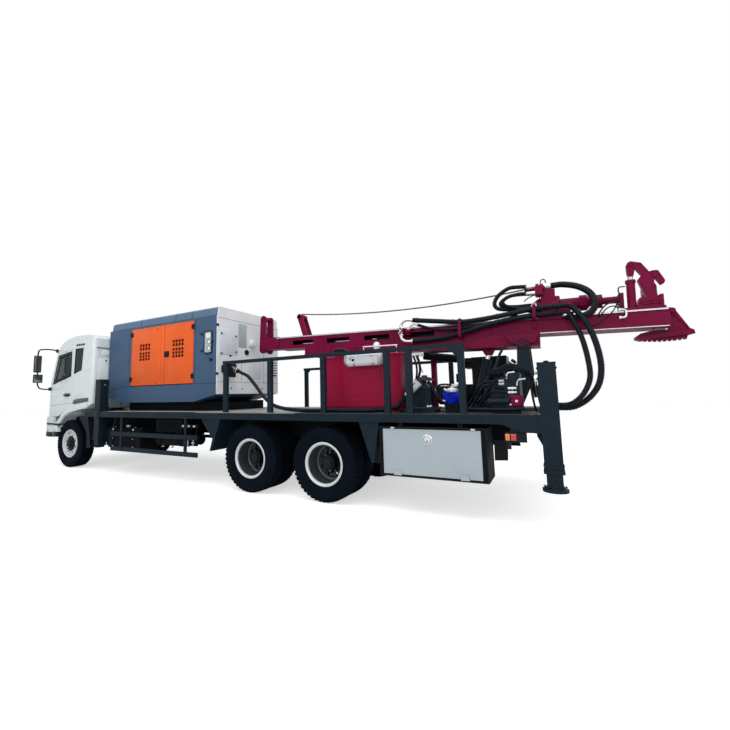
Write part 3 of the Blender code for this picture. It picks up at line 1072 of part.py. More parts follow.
def make_deck_units():
    base = DECK_TOP + SEAT
    tank = [(-1.10, 1.29), (0.08, 1.29), (0.08, 2.055), (-1.10, 2.055)]
    tank_out = DECK_HALF - TANK_INSET
    tank_in = tank_out - TANK_DEPTH
    adds = [extruded(tank, tank_in, tank_out, "Y")]
    for x in (-1.00, -0.02):
        adds.append(box(x - 0.04, x + 0.04, tank_in + 0.02, tank_out - 0.02, base, 1.30))
    adds.append(disc("Z", (-0.20, tank_in + 0.24, 0), 0.055, 2.05, 2.085))
    node("hydraulic_tank", "crimson", adds)
    y = tank_out + SEAT
    can_y = tank_out + CANISTER_R + 0.010
    edge = CANISTER_R - 0.015
    can = [(-0.86, 0), (-0.86, edge), (-0.83, CANISTER_R), (-0.38, CANISTER_R), (-0.35, edge), (-0.35, 0)]
    adds = [turned(can, "X", (0, can_y, 1.990), ROUND)]
    adds.append(box(-0.80, -0.74, y, can_y - 0.04, 1.93, 2.03))
    adds.append(box(-0.47, -0.41, y, can_y - 0.04, 1.93, 2.03))
    socket = disc("Y", (-0.45, 0, 1.985), 0.028, can_y + 0.06, can_y + 0.14)
    node("filter_canister", "light_grey", adds, [socket])
    house = [(-1.22, base), (-1.22, 1.56), (-1.31, 1.66), (-1.39, 1.66), (-1.50, 1.55), (-1.50, base)]
    rear = [extruded(house, 0.78, 0.98, "Y")]
    rear.append(box(-1.56, -1.16, 0.74, 1.02, base, 1.29))
    end = Vector(AIR_END)
    rear.append(swept([end, end + 0.17 * Vector(AIR_RISE), end + 0.20 * Vector(AIR_RISE) + Vector((-0.03, -0.06, -0.01))], 0.038))
    rear.append(box(-2.42, -1.20, 0.70, 0.80, base, base + 0.016))
    rear.append(box(-1.66, -1.56, -0.60, 0.80, base, base + 0.016))
    adds = [disc("X", (0, 0.90, 1.42), 0.085, -1.86, -1.66)]
    adds.append(disc("Z", (-1.76, 0.90, 0), 0.035, 1.48, 1.55))
    adds.append(disc("Y", (-1.76, 0, 1.42), 0.045, 0.90, 1.02))
    adds.append(box(-1.84, -1.68, 0.82, 0.98, base, 1.36))
    node("water_pump", "blue", adds)
    rear.append(box(-2.30, -1.55, -1.02, -0.50, base, 1.62))
    rear.append(box(-2.30, -1.78, -0.96, -0.52, 1.60, 2.05))
    rear.append(disc("X", (0, -0.70, 1.45), 0.16, -1.60, -1.20))
    rear.append(box(-2.42, -2.24, 0.60, 1.05, base, 1.60))
    rear.append(box(-2.56, -2.40, 0.64, 1.10, base, 1.72))
    for k in range(5):
        y = 0.68 + 0.09 * k
        rear.append(swept([(-2.50, y, 1.70), (-2.50, y, 1.78), (-2.46, y, 1.84)], 0.010, 6))
    rear.append(disc("Y", (-2.50, 0, 1.385), 0.052, 1.09, 1.13))
    node("power_pack", "frame", rear)


def smooth_line(points, step):
    """Points read at even steps from a smooth curve through the given ones."""
    pts = [Vector(p) for p in points]
    pts = [2 * pts[0] - pts[1]] + pts + [2 * pts[-1] - pts[-2]]
    dense = []
    for i in range(1, len(pts) - 2):
        for k in range(24):
            t = k / 24
            a, b, c, d = pts[i - 1: i + 3]
            dense.append(0.5 * ((2 * b) + (c - a) * t + (2 * a - 5 * b + 4 * c - d) * t ** 2 + (3 * b - a - 3 * c + d) * t ** 3))
    dense.append(pts[-2])
    length = sum((dense[i + 1] - dense[i]).length for i in range(len(dense) - 1))
    count = max(2, round(length / step))
    want = [length * k / count for k in range(count + 1)]
    result = [dense[0]]
    gone = 0.0
    for i in range(len(dense) - 1):
        piece = (dense[i + 1] - dense[i]).length
        while len(result) < count and want[len(result)] <= gone + piece:
            result.append(dense[i].lerp(dense[i + 1], (want[len(result)] - gone) / piece))
        gone += piece
    result.append(dense[-1])
    return result


def hose(name, points, radius, colour="rubber", step=5):
    """A hose as a curve with round section and closed ends."""
    data = bpy.data.curves.new(name, "CURVE")
    data.dimensions = "3D"
    line = data.splines.new("POLY")
    route = smooth_line(points, radius * step)
    line.points.add(len(route) - 1)
    for spot, point in zip(line.points, route):
        spot.co = (point.x - BOX_CENTRE_X, point.y, point.z, 1)
    data.bevel_depth = radius
    data.bevel_resolution = 2
    data.use_fill_caps = True
    obj = bpy.data.objects.new(name, data)
    bpy.context.scene.collection.objects.link(obj)
    obj.data.materials.append(material(colour))


def make_hoses():
    """The air hose from the compressor's outlet, down over the deck and up to the separator."""
    z = DECK_TOP + AIR_HOSE_R + 0.001
    first = Vector(AIR_OUTLET) + (0.18 + SEAT) * Vector(AIR_FALL)
    second = first + 0.20 * Vector(AIR_FALL)
    last = Vector(AIR_END) - 0.002 * Vector(AIR_RISE)
    before = [last - k * Vector(AIR_RISE) for k in (0.24, 0.13)]
    route = [first, second, (1.90, 0.63, 1.850), (1.72, 0.66, 1.70), (1.53, 0.72, 1.545), (1.33, 0.80, 1.425), (1.08, 0.91, 1.335),
             (0.75, 1.02, 1.287), (0.40, 1.07, z), (0.0, 1.08, z), (-0.45, 1.08, z), (-0.75, 1.06, z + 0.006), *before, last]
    hose("air_hose", route, AIR_HOSE_R, step=4)


def make_mast_hoses():
    """The bundled hoses along the mast, the two loops behind it, and the hoist rope."""
    frame = mast_frame()
    y = MAST_HOSE_Y
    adds = []
    for n0, n1, n2 in ((0.420, 0.400, 0.465), (0.235, 0.300, 0.375)):
        route = [(1.50, y, n0), (1.20, y, n0), (0.60, y, n1), (0.10, y, n2), (MAST_HOSE_END, y, n2)]
        adds.append(swept([tuple(p) for p in smooth_line(route, 0.30)], 0.036))
        adds.append(swept([(1.48, y, n0), (1.56, y, n0 + 0.005), (1.60, y, n0 + 0.05)], 0.024))
    adds.append(box(1.565, 1.625, y - 0.038, y + 0.025, 0.160, 0.480))
    adds.append(box(1.575, 1.615, MAST_HALF + SEAT, y, 0.160, 0.250))
    for a in (1.02, 0.55, -0.08):
        adds.append(box(a - 0.025, a + 0.025, y - 0.038, y + 0.042, 0.160, 0.505))
        adds.append(box(a - 0.020, a + 0.020, MAST_HALF + SEAT, y, 0.160, 0.250))
    node("mast_hoses", "rubber", adds, frame=frame)
    ends = [frame @ Vector((MAST_HOSE_END - 0.002, y, n)) for n in (0.465, 0.375)]
    back = frame.to_3x3() @ Vector((-0.13, 0, 0))
    outer = [ends[0], ends[0] + back, ends[0] + 1.5 * back, (-3.23, 0.33, 2.47), (-3.33, 0.42, 2.25), (-3.385, 0.50, 2.00), (-3.40, 0.56, 1.76),
             (-3.36, 0.60, 1.56), (-3.26, 0.62, 1.41), (-3.14, 0.63, 1.32), (-3.05, 0.63, 1.290), (-2.891, 0.63, 1.290)]
    inner = [ends[1], ends[1] + back, ends[1] + 1.4 * back, (-3.20, 0.36, 2.30), (-3.25, 0.44, 2.10), (-3.28, 0.52, 1.86), (-3.28, 0.60, 1.64),
             (-3.21, 0.67, 1.47), (-3.12, 0.70, 1.37), (-3.03, 0.70, 1.325), (-2.891, 0.70, 1.325)]
    hose("hose_loop_outer", outer, 0.034, step=3.5)
    hose("hose_loop_inner", inner, 0.030, step=3.5)
    top = frame @ Vector((3.745, 0, 0.795))
    line = [top] + [frame @ Vector(p) for p in ((2.9, 0, 0.770), (1.6, 0, 0.755), (0.6, 0, 0.776), (HEAD_A + SWIVEL_REACH + SEAT, 0, SWIVEL_N))]
    hose("hoist_rope", line, 0.007, "black", 40)


clear_scene()
make_chassis()
make_rear_axles()
make_front_axle()
for tag, side in SIDES:
    make_knuckle(tag, side)
make_wheels()
make_cab()
make_cab_interior()
make_bumper()
for tag, side in SIDES:
    make_mirror(tag, side)
make_deck()
make_tanks()
make_toolbox()
make_rear_jacks()
make_front_jacks()
make_compressor()
make_compressor_set()
make_pivot_frame()
make_ram()
make_mast_rest()
make_mast()
make_head()
make_clamp()
make_foot()
make_deck_units()
make_hoses()
make_mast_hoses()
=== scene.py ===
# %% [markdown]
# # Truck-mounted reverse circulation drilling rig
# The rig is a truck with a compressor behind its cab and a drilling mast laid along its deck. Its packed CAD
# solids are loaded as a frame, and every cell dresses them. Lengths are metres, +X is forward, +Y left and +Z
# up. Places are read from the rearmost axle, as on a chassis drawing, and AXLE moves them to the frame's
# origin.

# %% Load the frame
import json
import math
import random

import bmesh
import bpy
from mathutils import Matrix, Vector

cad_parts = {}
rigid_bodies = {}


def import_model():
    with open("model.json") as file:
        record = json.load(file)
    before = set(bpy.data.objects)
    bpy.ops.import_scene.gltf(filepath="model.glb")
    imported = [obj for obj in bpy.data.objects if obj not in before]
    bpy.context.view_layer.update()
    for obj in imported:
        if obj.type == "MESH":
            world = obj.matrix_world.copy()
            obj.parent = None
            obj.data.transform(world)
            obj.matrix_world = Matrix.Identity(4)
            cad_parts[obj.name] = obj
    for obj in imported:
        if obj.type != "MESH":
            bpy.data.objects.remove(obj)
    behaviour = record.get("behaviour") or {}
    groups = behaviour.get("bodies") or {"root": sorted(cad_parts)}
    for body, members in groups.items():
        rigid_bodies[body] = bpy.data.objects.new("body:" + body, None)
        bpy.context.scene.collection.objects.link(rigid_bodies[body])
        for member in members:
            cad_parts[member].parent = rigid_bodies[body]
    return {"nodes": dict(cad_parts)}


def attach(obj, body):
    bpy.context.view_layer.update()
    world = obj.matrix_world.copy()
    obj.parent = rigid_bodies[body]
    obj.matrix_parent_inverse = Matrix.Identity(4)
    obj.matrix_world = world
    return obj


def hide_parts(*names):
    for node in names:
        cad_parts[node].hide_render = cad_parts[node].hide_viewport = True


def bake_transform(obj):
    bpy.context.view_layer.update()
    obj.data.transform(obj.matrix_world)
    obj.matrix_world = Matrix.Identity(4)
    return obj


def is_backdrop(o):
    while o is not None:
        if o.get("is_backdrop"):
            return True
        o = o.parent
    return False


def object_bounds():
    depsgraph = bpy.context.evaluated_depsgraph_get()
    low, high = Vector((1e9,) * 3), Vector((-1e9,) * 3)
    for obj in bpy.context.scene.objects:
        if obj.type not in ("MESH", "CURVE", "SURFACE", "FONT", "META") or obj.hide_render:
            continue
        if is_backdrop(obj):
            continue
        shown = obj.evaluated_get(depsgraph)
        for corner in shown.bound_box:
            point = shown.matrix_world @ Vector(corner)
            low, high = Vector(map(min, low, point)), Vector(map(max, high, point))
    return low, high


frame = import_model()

box_at_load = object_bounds()
AXLE = 1.717
back = Vector((AXLE, 0, 0))
nodes = frame["nodes"]

# %% [markdown]
# The rig was photographed with a wide lens from low at the left rear. A camera can be placed by eye, but
# these angles were solved from level and upright edges, so that each part lands where it is seen.

# %% Camera
scene = bpy.context.scene
for leftover in ("Cube", "Light", "Camera"):
    if leftover in bpy.data.objects:
        bpy.data.objects.remove(bpy.data.objects[leftover])

YAW, PITCH, ROLL = math.radians(28.88), math.radians(6.27), math.radians(-1.16)
ahead = Vector((math.sin(YAW) * math.cos(PITCH), -math.cos(YAW) * math.cos(PITCH), math.sin(PITCH)))
right = ahead.cross(Vector((0, 0, 1))).normalized()
up = right.cross(ahead)
right, up = (math.cos(ROLL) * right + math.sin(ROLL) * up, math.cos(ROLL) * up - math.sin(ROLL) * right)
camera_data = bpy.data.cameras.new("camera")
camera_data.sensor_width = 36.0
camera_data.lens = 19.0
camera_data.shift_x = 0.04
camera_data.shift_y = -0.0177
camera_data.clip_end = 200.0
camera = bpy.data.objects.new("camera", camera_data)
turn = Matrix((right, up, -ahead)).transposed().to_4x4()
camera.matrix_world = Matrix.Translation((-4.58, 5.971, 1.499)) @ turn
scene.collection.objects.link(camera)
scene.camera = camera
scene.view_settings.view_transform = "Standard"
print("camera at", tuple(round(v, 3) for v in camera.matrix_world.translation))

# %% [markdown]
# Under a bright cloudy sky light comes from everywhere. Three large area lamps stand in for it. Large lamps
# give soft shadows, and at a plain level a paint renders about as it is written.

# %% Lamps
def area_light(name, place, target, size, power, colour=(1, 1, 1)):
    data = bpy.data.lights.new(name, "AREA")
    data.shape = "RECTANGLE"
    data.size, data.size_y = size
    data.energy = power
    data.color = colour
    lamp = bpy.data.objects.new(name, data)
    lamp.location = place
    lamp.rotation_euler = (Vector(target) - Vector(place)).to_track_quat("-Z", "Y").to_euler()
    scene.collection.objects.link(lamp)


area_light("soft_top", (-1.0, 3.5, 9.0), (0, 0, 1), (14, 8), 650)
area_light("soft_left", (-4.0, 12.0, 4.5), (0, 0, 1.3), (14, 5), 265)
area_light("soft_rear", (-13.0, 4.0, 5.0), (0, 0, 1.5), (6, 5), 150)

# %% [markdown]
# The background is white, but so much light would wash out the rig. So Light Path shows white to camera,
# glossy and transmission rays, and the rest of the light comes from a dimmer sky. The floor lies two
# millimetres low, so that tyres don't flicker against it.

# %% White room and floor
world = bpy.data.worlds.new("white_room")
scene.world = world
world.use_nodes = True
wt = world.node_tree
wt.nodes.clear()
new_node, connect = wt.nodes.new, wt.links.new
path = new_node("ShaderNodeLightPath")
seen = new_node("ShaderNodeMath")
seen.operation = "MAXIMUM"
connect(path.outputs["Is Camera Ray"], seen.inputs[0])
connect(path.outputs["Is Glossy Ray"], seen.inputs[1])
seen_too = new_node("ShaderNodeMath")
seen_too.operation = "MAXIMUM"
connect(seen.outputs[0], seen_too.inputs[0])
connect(path.outputs["Is Transmission Ray"], seen_too.inputs[1])
ambient = new_node("ShaderNodeBackground")
ambient.inputs["Color"].default_value = (0.93, 0.96, 1.0, 1)
ambient.inputs["Strength"].default_value = 0.46
white = new_node("ShaderNodeBackground")
white.inputs["Color"].default_value = (1, 1, 1, 1)
white.inputs["Strength"].default_value = 1.0
choose = new_node("ShaderNodeMixShader")
world_out = new_node("ShaderNodeOutputWorld")
connect(seen_too.outputs[0], choose.inputs[0])
connect(ambient.outputs[0], choose.inputs[1])
connect(white.outputs[0], choose.inputs[2])
connect(choose.outputs[0], world_out.inputs[0])

floor_mesh = bpy.data.meshes.new("floor")
floor_mesh.from_pydata([(-60, -60, -0.002), (60, -60, -0.002), (60, 60, -0.002), (-60, 60, -0.002)], [],
    [(0, 1, 2, 3)])
floor = bpy.data.objects.new("floor", floor_mesh)
scene.collection.objects.link(floor)
floor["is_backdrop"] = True
print("floor", tuple(floor.dimensions), "sky", ambient.inputs["Strength"].default_value)

# %% [markdown]
# Most pieces are plates, bars, turned parts and bent tubes. Hundreds of primitives with modifiers would be
# slow, so a Shape gathers the points and faces of many forms. The mast leans a little: its parts are drawn
# flat in its own frame, MAST, and turned as they are added.

# %% Shape
TILT = Matrix.Rotation(math.radians(-1.5), 4, "Y")
MAST = Matrix.Translation((-2.585, 0, 2.125)) @ TILT


# how a flat outline (a, b) is lifted to the height h along each axis
LIFT = {"X": lambda a, b, h: (h, a, b), "Y": lambda a, b, h: (a, h, b), "Z": lambda a, b, h: (a, b, h)}


def directions(line):
    last = len(line) - 1
    return [(line[min(i + 1, last)] - line[max(i - 1, 0)]).normalized() for i in range(last + 1)]


class Shape:
    """Points and faces of one piece."""

    def __init__(self, place=None):
        self.points = []
        self.faces = []
        self.place = place

    def add(self, points, faces, place=None):
        first = len(self.points)
        for matrix in (place, self.place):
            if matrix is not None:
                points = [matrix @ Vector(p) for p in points]
        self.points += [tuple(p) for p in points]
        self.faces += [[first + i for i in face] for face in faces]
        return self

    def join(self, other):
        return self.add(other.points, other.faces)

    def block(self, x0, x1, y0, y1, z0, z1, place=None):
        points = [(x, y, z) for x in (x0, x1) for y in (y0, y1) for z in (z0, z1)]
        faces = [(0, 1, 3, 2), (4, 6, 7, 5), (0, 4, 5, 1), (2, 3, 7, 6), (0, 2, 6, 4), (1, 5, 7, 3)]
        return self.add(points, faces, place)

    def prism(self, outline, low, high, axis="Y", place=None):
        lift = LIFT[axis]
        n = len(outline)
        points = [lift(a, b, h) for h in (low, high) for a, b in outline]
        faces = [list(range(n)), list(range(n, 2 * n))]
        faces += [(i, (i + 1) % n, n + (i + 1) % n, n + i) for i in range(n)]
        return self.add(points, faces, place)

    def turned(self, profile, axis, centre, sides=24, closed=True, place=None):
        """profile is (height along the axis, radius), open at a radius of 0 or a closed loop."""
        points = []
        for k in range(sides):
            a = 2 * math.pi * k / sides
            for h, r in profile:
                u, v = r * math.cos(a), r * math.sin(a)
                spot = {"X": (h, u, v), "Y": (u, h, v), "Z": (u, v, h)}[axis]
                points.append([c + s for c, s in zip(centre, spot)])
        n = len(profile)
        faces = []
        for k in range(sides):
            for i in range(n if closed else n - 1):
                j = (i + 1) % n
                if profile[i][1] == 0 and profile[j][1] == 0:
                    continue
                k2 = (k + 1) % sides
                faces.append((k * n + i, k * n + j, k2 * n + j, k2 * n + i))
        return self.add(points, faces, place)

    def disc(self, axis, centre, radius, low, high, sides=20, place=None):
        return self.turned([(low, 0), (low, radius), (high, radius), (high, 0)], axis, centre, sides, False,
            place)

    def cap(self, axis, centre, low, wide, high, narrow, sides=20):
        """A closed round part that may taper."""
        return self.turned([(low, 0), (low, wide), (high, narrow), (high, 0)], axis, centre, sides, False)

    def band(self, axis, centre, low, high, inner, outer, sides=24):
        """A flat ring with a square section."""
        return self.turned([(low, inner), (low, outer), (high, outer), (high, inner)], axis, centre, sides)

    def bolt(self, axis, centre, across, height, place=None):
        """A hexagon head on its washer."""
        sign = 1 if height > 0 else -1
        self.turned([(0, 0), (0, across * 0.72), (0.003 * sign, across * 0.72), (0.003 * sign, 0)], axis,
            centre, 12, False, place)
        r = across / math.sqrt(3)
        return self.turned([(0, 0), (0, r), (height * 0.85, r), (height, r * 0.82), (height, 0)], axis,
            centre, 6, False, place)

    def tube(self, line, radius, sides=10, place=None, capped=True):
        """A round bar along points that doesn't twist. radius is one, or one for each point."""
        line = [Vector(p) for p in line]
        radii = radius if isinstance(radius, (list, tuple)) else [radius] * len(line)
        ways = directions(line)
        side = ways[0].orthogonal().normalized()
        points = []
        for spot, way, r in zip(line, ways, radii):
            side = (side - way * side.dot(way)).normalized()
            other = way.cross(side)
            for k in range(sides):
                a = 2 * math.pi * k / sides
                points.append(spot + r * (math.cos(a) * side + math.sin(a) * other))
        faces = []
        for i in range(len(line) - 1):
            for k in range(sides):
                k2 = (k + 1) % sides
                faces.append((i * sides + k, i * sides + k2, (i + 1) * sides + k2, (i + 1) * sides + k))
        if capped:
            faces.append(list(range(sides)))
            faces.append([(len(line) - 1) * sides + k for k in range(sides)])
        return self.add(points, faces, place)

    def beam(self, start, end, width, depth, place=None):
        """A flat or square bar between two points: width lies level, depth across it."""
        a, b = Vector(start), Vector(end)
        way = (b - a).normalized()
        level = way.cross(Vector((0, 0, 1)))
        level = level.normalized() if level.length > 1e-6 else Vector((0, 1, 0))
        rise = level.cross(way)
        points = [p + level * s * width / 2 + rise * t * depth / 2 for p in (a, b) for s, t in ((-1, -1),
            (1, -1), (1, 1), (-1, 1))]
        faces = [(0, 1, 2, 3), (4, 5, 6, 7), (0, 1, 5, 4), (1, 2, 6, 5), (2, 3, 7, 6), (3, 0, 4, 7)]
        return self.add(points, faces, place)


print("a Shape can be", [way for way in vars(Shape) if way[0] != "_"])

# %% [markdown]
# Real edges are rounded by paint and wear, and catch light. put() makes the mesh, bevels edges that turn by
# more than 35 degrees, gives it a finish and lets it ride on a body. pair() makes a left piece and its mirror
# image, since a truck is nearly the same on both sides.

# %% Putting pieces in place
def put(name, shape, look, body="chassis", chamfer=0.0, smooth=40, replaces=(), flip=False):
    """The shape as a mesh object in the row frame, with broken edges, on its body."""
    mesh = bpy.data.meshes.new(name)
    points = [(x, -y, z) for x, y, z in shape.points] if flip else shape.points
    mesh.from_pydata([(x - AXLE, y, z) for x, y, z in points], [], shape.faces)
    work = bmesh.new()
    work.from_mesh(mesh)
    bmesh.ops.remove_doubles(work, verts=work.verts, dist=1e-5)
    bmesh.ops.dissolve_degenerate(work, edges=work.edges, dist=1e-6)
    bmesh.ops.recalc_face_normals(work, faces=work.faces)
    if chamfer:
        sharp = [e for e in work.edges if len(e.link_faces) == 2 and e.calc_face_angle(0) > math.radians(35)]
        bmesh.ops.bevel(work, geom=sharp, offset=chamfer, offset_type="OFFSET", segments=2, profile=0.5,
            affect="EDGES", clamp_overlap=True)
    work.to_mesh(mesh)
    work.free()
    mesh.shade_smooth()
    mesh.set_sharp_from_angle(angle=math.radians(smooth))
    made = bpy.data.objects.new(name, mesh)
    scene.collection.objects.link(made)
    mesh.materials.append(paint[look])
    if body:
        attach(made, body)
    if replaces:
        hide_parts(*replaces)
    return made


def pair(name, shape, look, bodies=("chassis", "chassis"), **options):
    """The left piece and its mirror image, each on its own body."""
    put(name + "_l", shape, look, bodies[0], **options)
    put(name + "_r", shape, look, bodies[1], flip=True, **options)


def around(count, radius, start=0.0):
    """Steps from a centre to places spaced evenly round it."""
    turns = [2 * math.pi * (k + start) / count for k in range(count)]
    return [(radius * math.cos(turn_by), radius * math.sin(turn_by)) for turn_by in turns]


told = {thing.name for thing in scene.objects}


def tell():
    """Prints the pieces made since the last call."""
    fresh = [thing.name for thing in scene.objects if thing.name not in told]
    told.update(fresh)
    print("made", ", ".join(fresh))


print(len(told), "objects before the first piece")

# %% [markdown]
# Hoses bend in smooth curves. Bezier handles would do, but a curve through given points is easier to draw
# from what is seen. It is read at even steps, so that tubes get even rings.

# %% Smooth lines
def smooth_line(points, step):
    """Points read at even steps from a smooth curve through the given ones."""
    pts = [Vector(p) for p in points]
    pts = [2 * pts[0] - pts[1]] + pts + [2 * pts[-1] - pts[-2]]
    dense = []
    for i in range(1, len(pts) - 2):
        a, b, c, d = pts[i - 1: i + 3]
        for k in range(24):
            t = k / 24
            cubic = (3 * b - a - 3 * c + d) * t ** 3
            dense.append(0.5 * (2 * b + (c - a) * t + (2 * a - 5 * b + 4 * c - d) * t ** 2 + cubic))
    dense.append(pts[-2])
    length = sum((dense[i + 1] - dense[i]).length for i in range(len(dense) - 1))
    count = max(2, round(length / step))
    result = [dense[0]]
    gone = 0.0
    for i in range(len(dense) - 1):
        piece = (dense[i + 1] - dense[i]).length
        while len(result) < count and length * len(result) / count <= gone + piece:
            result.append(dense[i].lerp(dense[i + 1], (length * len(result) / count - gone) / piece))
        gone += piece
    result.append(dense[-1])
    return result


print("a smooth line of", len(smooth_line([(0, 0, 0), (1, 0, 0.2), (2, 0, 0)], 0.1)), "points")

# %% [markdown]
# Paint on a working machine fades in patches, gathers dust low down and chips. Photographs could be used as
# textures, but noise does it all from one recipe, at any size and without an image.

# %% The recipe for a finish
def finish(name, colour, rough=0.45, metal=0.0, vary=0.12, size=1.6, grime=0.25, dust=(0.2, 0.19, 0.17),
        low=None, bump=0.15, grain=90.0, coat=0.0, zones=(), wear=None, spec=0.5):
    """A painted or bare surface. low is the height under which dust gathers, and zones are
    (axis, edge, colour): that colour below the edge on that axis. wear is a colour that shows in specks."""
    made = bpy.data.materials.new(name)
    made.use_nodes = True
    tree = made.node_tree
    shader = tree.nodes["Principled BSDF"]
    link = tree.links.new
    where = tree.nodes.new("ShaderNodeTexCoord").outputs["Object"]
    apart = tree.nodes.new("ShaderNodeSeparateXYZ")
    link(where, apart.inputs[0])

    def noise(scale, detail, roughness=0.6):
        made_node = tree.nodes.new("ShaderNodeTexNoise")
        made_node.inputs["Scale"].default_value = scale
        made_node.inputs["Detail"].default_value = detail
        made_node.inputs["Roughness"].default_value = roughness
        link(where, made_node.inputs["Vector"])
        return made_node.outputs["Fac"]

    def spread(value, a, b, c, d):
        made_node = tree.nodes.new("ShaderNodeMapRange")
        for key, number in zip(("From Min", "From Max", "To Min", "To Max"), (a, b, c, d)):
            made_node.inputs[key].default_value = number
        link(value, made_node.inputs["Value"])
        return made_node.outputs["Result"]

    def mix(kind, factor, first, second):
        made_node = tree.nodes.new("ShaderNodeMix")
        made_node.data_type = "RGBA"
        made_node.blend_type = kind
        for socket, value in ((made_node.inputs[0], factor), (made_node.inputs[6], first),
                (made_node.inputs[7], second)):
            if isinstance(value, bpy.types.NodeSocket):
                link(value, socket)
            elif isinstance(value, (int, float)):
                socket.default_value = value
            else:
                socket.default_value = (*value, 1.0)
        return made_node.outputs[2]

    def maths(kind, a, b):
        made_node = tree.nodes.new("ShaderNodeMath")
        made_node.operation = kind
        for socket, value in zip(made_node.inputs, (a, b)):
            if isinstance(value, bpy.types.NodeSocket):
                link(value, socket)
            else:
                socket.default_value = value
        return made_node.outputs[0]

    base = colour
    for axis, edge, other in zones:
        below = maths("LESS_THAN", apart.outputs["XYZ".index(axis)], edge)
        base = mix("MIX", below, base, other)
    slow = noise(size, 5)
    fine = noise(size * 8, 9, 0.72)
    shade = spread(slow, 0.32, 0.68, 1 - vary, 1 + vary)
    tone = mix("MULTIPLY", 1.0, base, shade)
    dirty = spread(fine, 0.48, 0.8, 0.0, grime)
    if low is not None:
        dirty = maths("MULTIPLY", dirty, spread(apart.outputs["Z"], low * 0.3, low, 2.2, 0.5))
    tone = mix("MIX", dirty, tone, dust)
    if wear is not None:
        specks = spread(noise(size * 30, 6, 0.8), 0.66, 0.7, 0.0, 1.0)
        tone = mix("MIX", specks, tone, wear)
    link(tone, shader.inputs["Base Color"])
    link(spread(fine, 0.3, 0.75, max(0.02, rough * 0.82), min(1.0, rough * 1.25)), shader.inputs["Roughness"])
    shader.inputs["Metallic"].default_value = metal
    shader.inputs["Specular IOR Level"].default_value = spec
    shader.inputs["Coat Weight"].default_value = coat
    shader.inputs["Coat Roughness"].default_value = 0.06
    bumps = tree.nodes.new("ShaderNodeBump")
    bumps.inputs["Strength"].default_value = bump
    bumps.inputs["Distance"].default_value = 0.002
    link(noise(grain, 4), bumps.inputs["Height"])
    link(bumps.outputs["Normal"], shader.inputs["Normal"])
    return made


print("finish takes", finish.__code__.co_varnames[:finish.__code__.co_argcount])

# %% [markdown]
# Dark slate paint covers frames and jacks, crimson the mast, white the cab, grey-blue and orange the
# compressor. The values are linear colours, and so look darker here than on screen. Dark paints get a low
# specular level, because a white room would turn them grey.

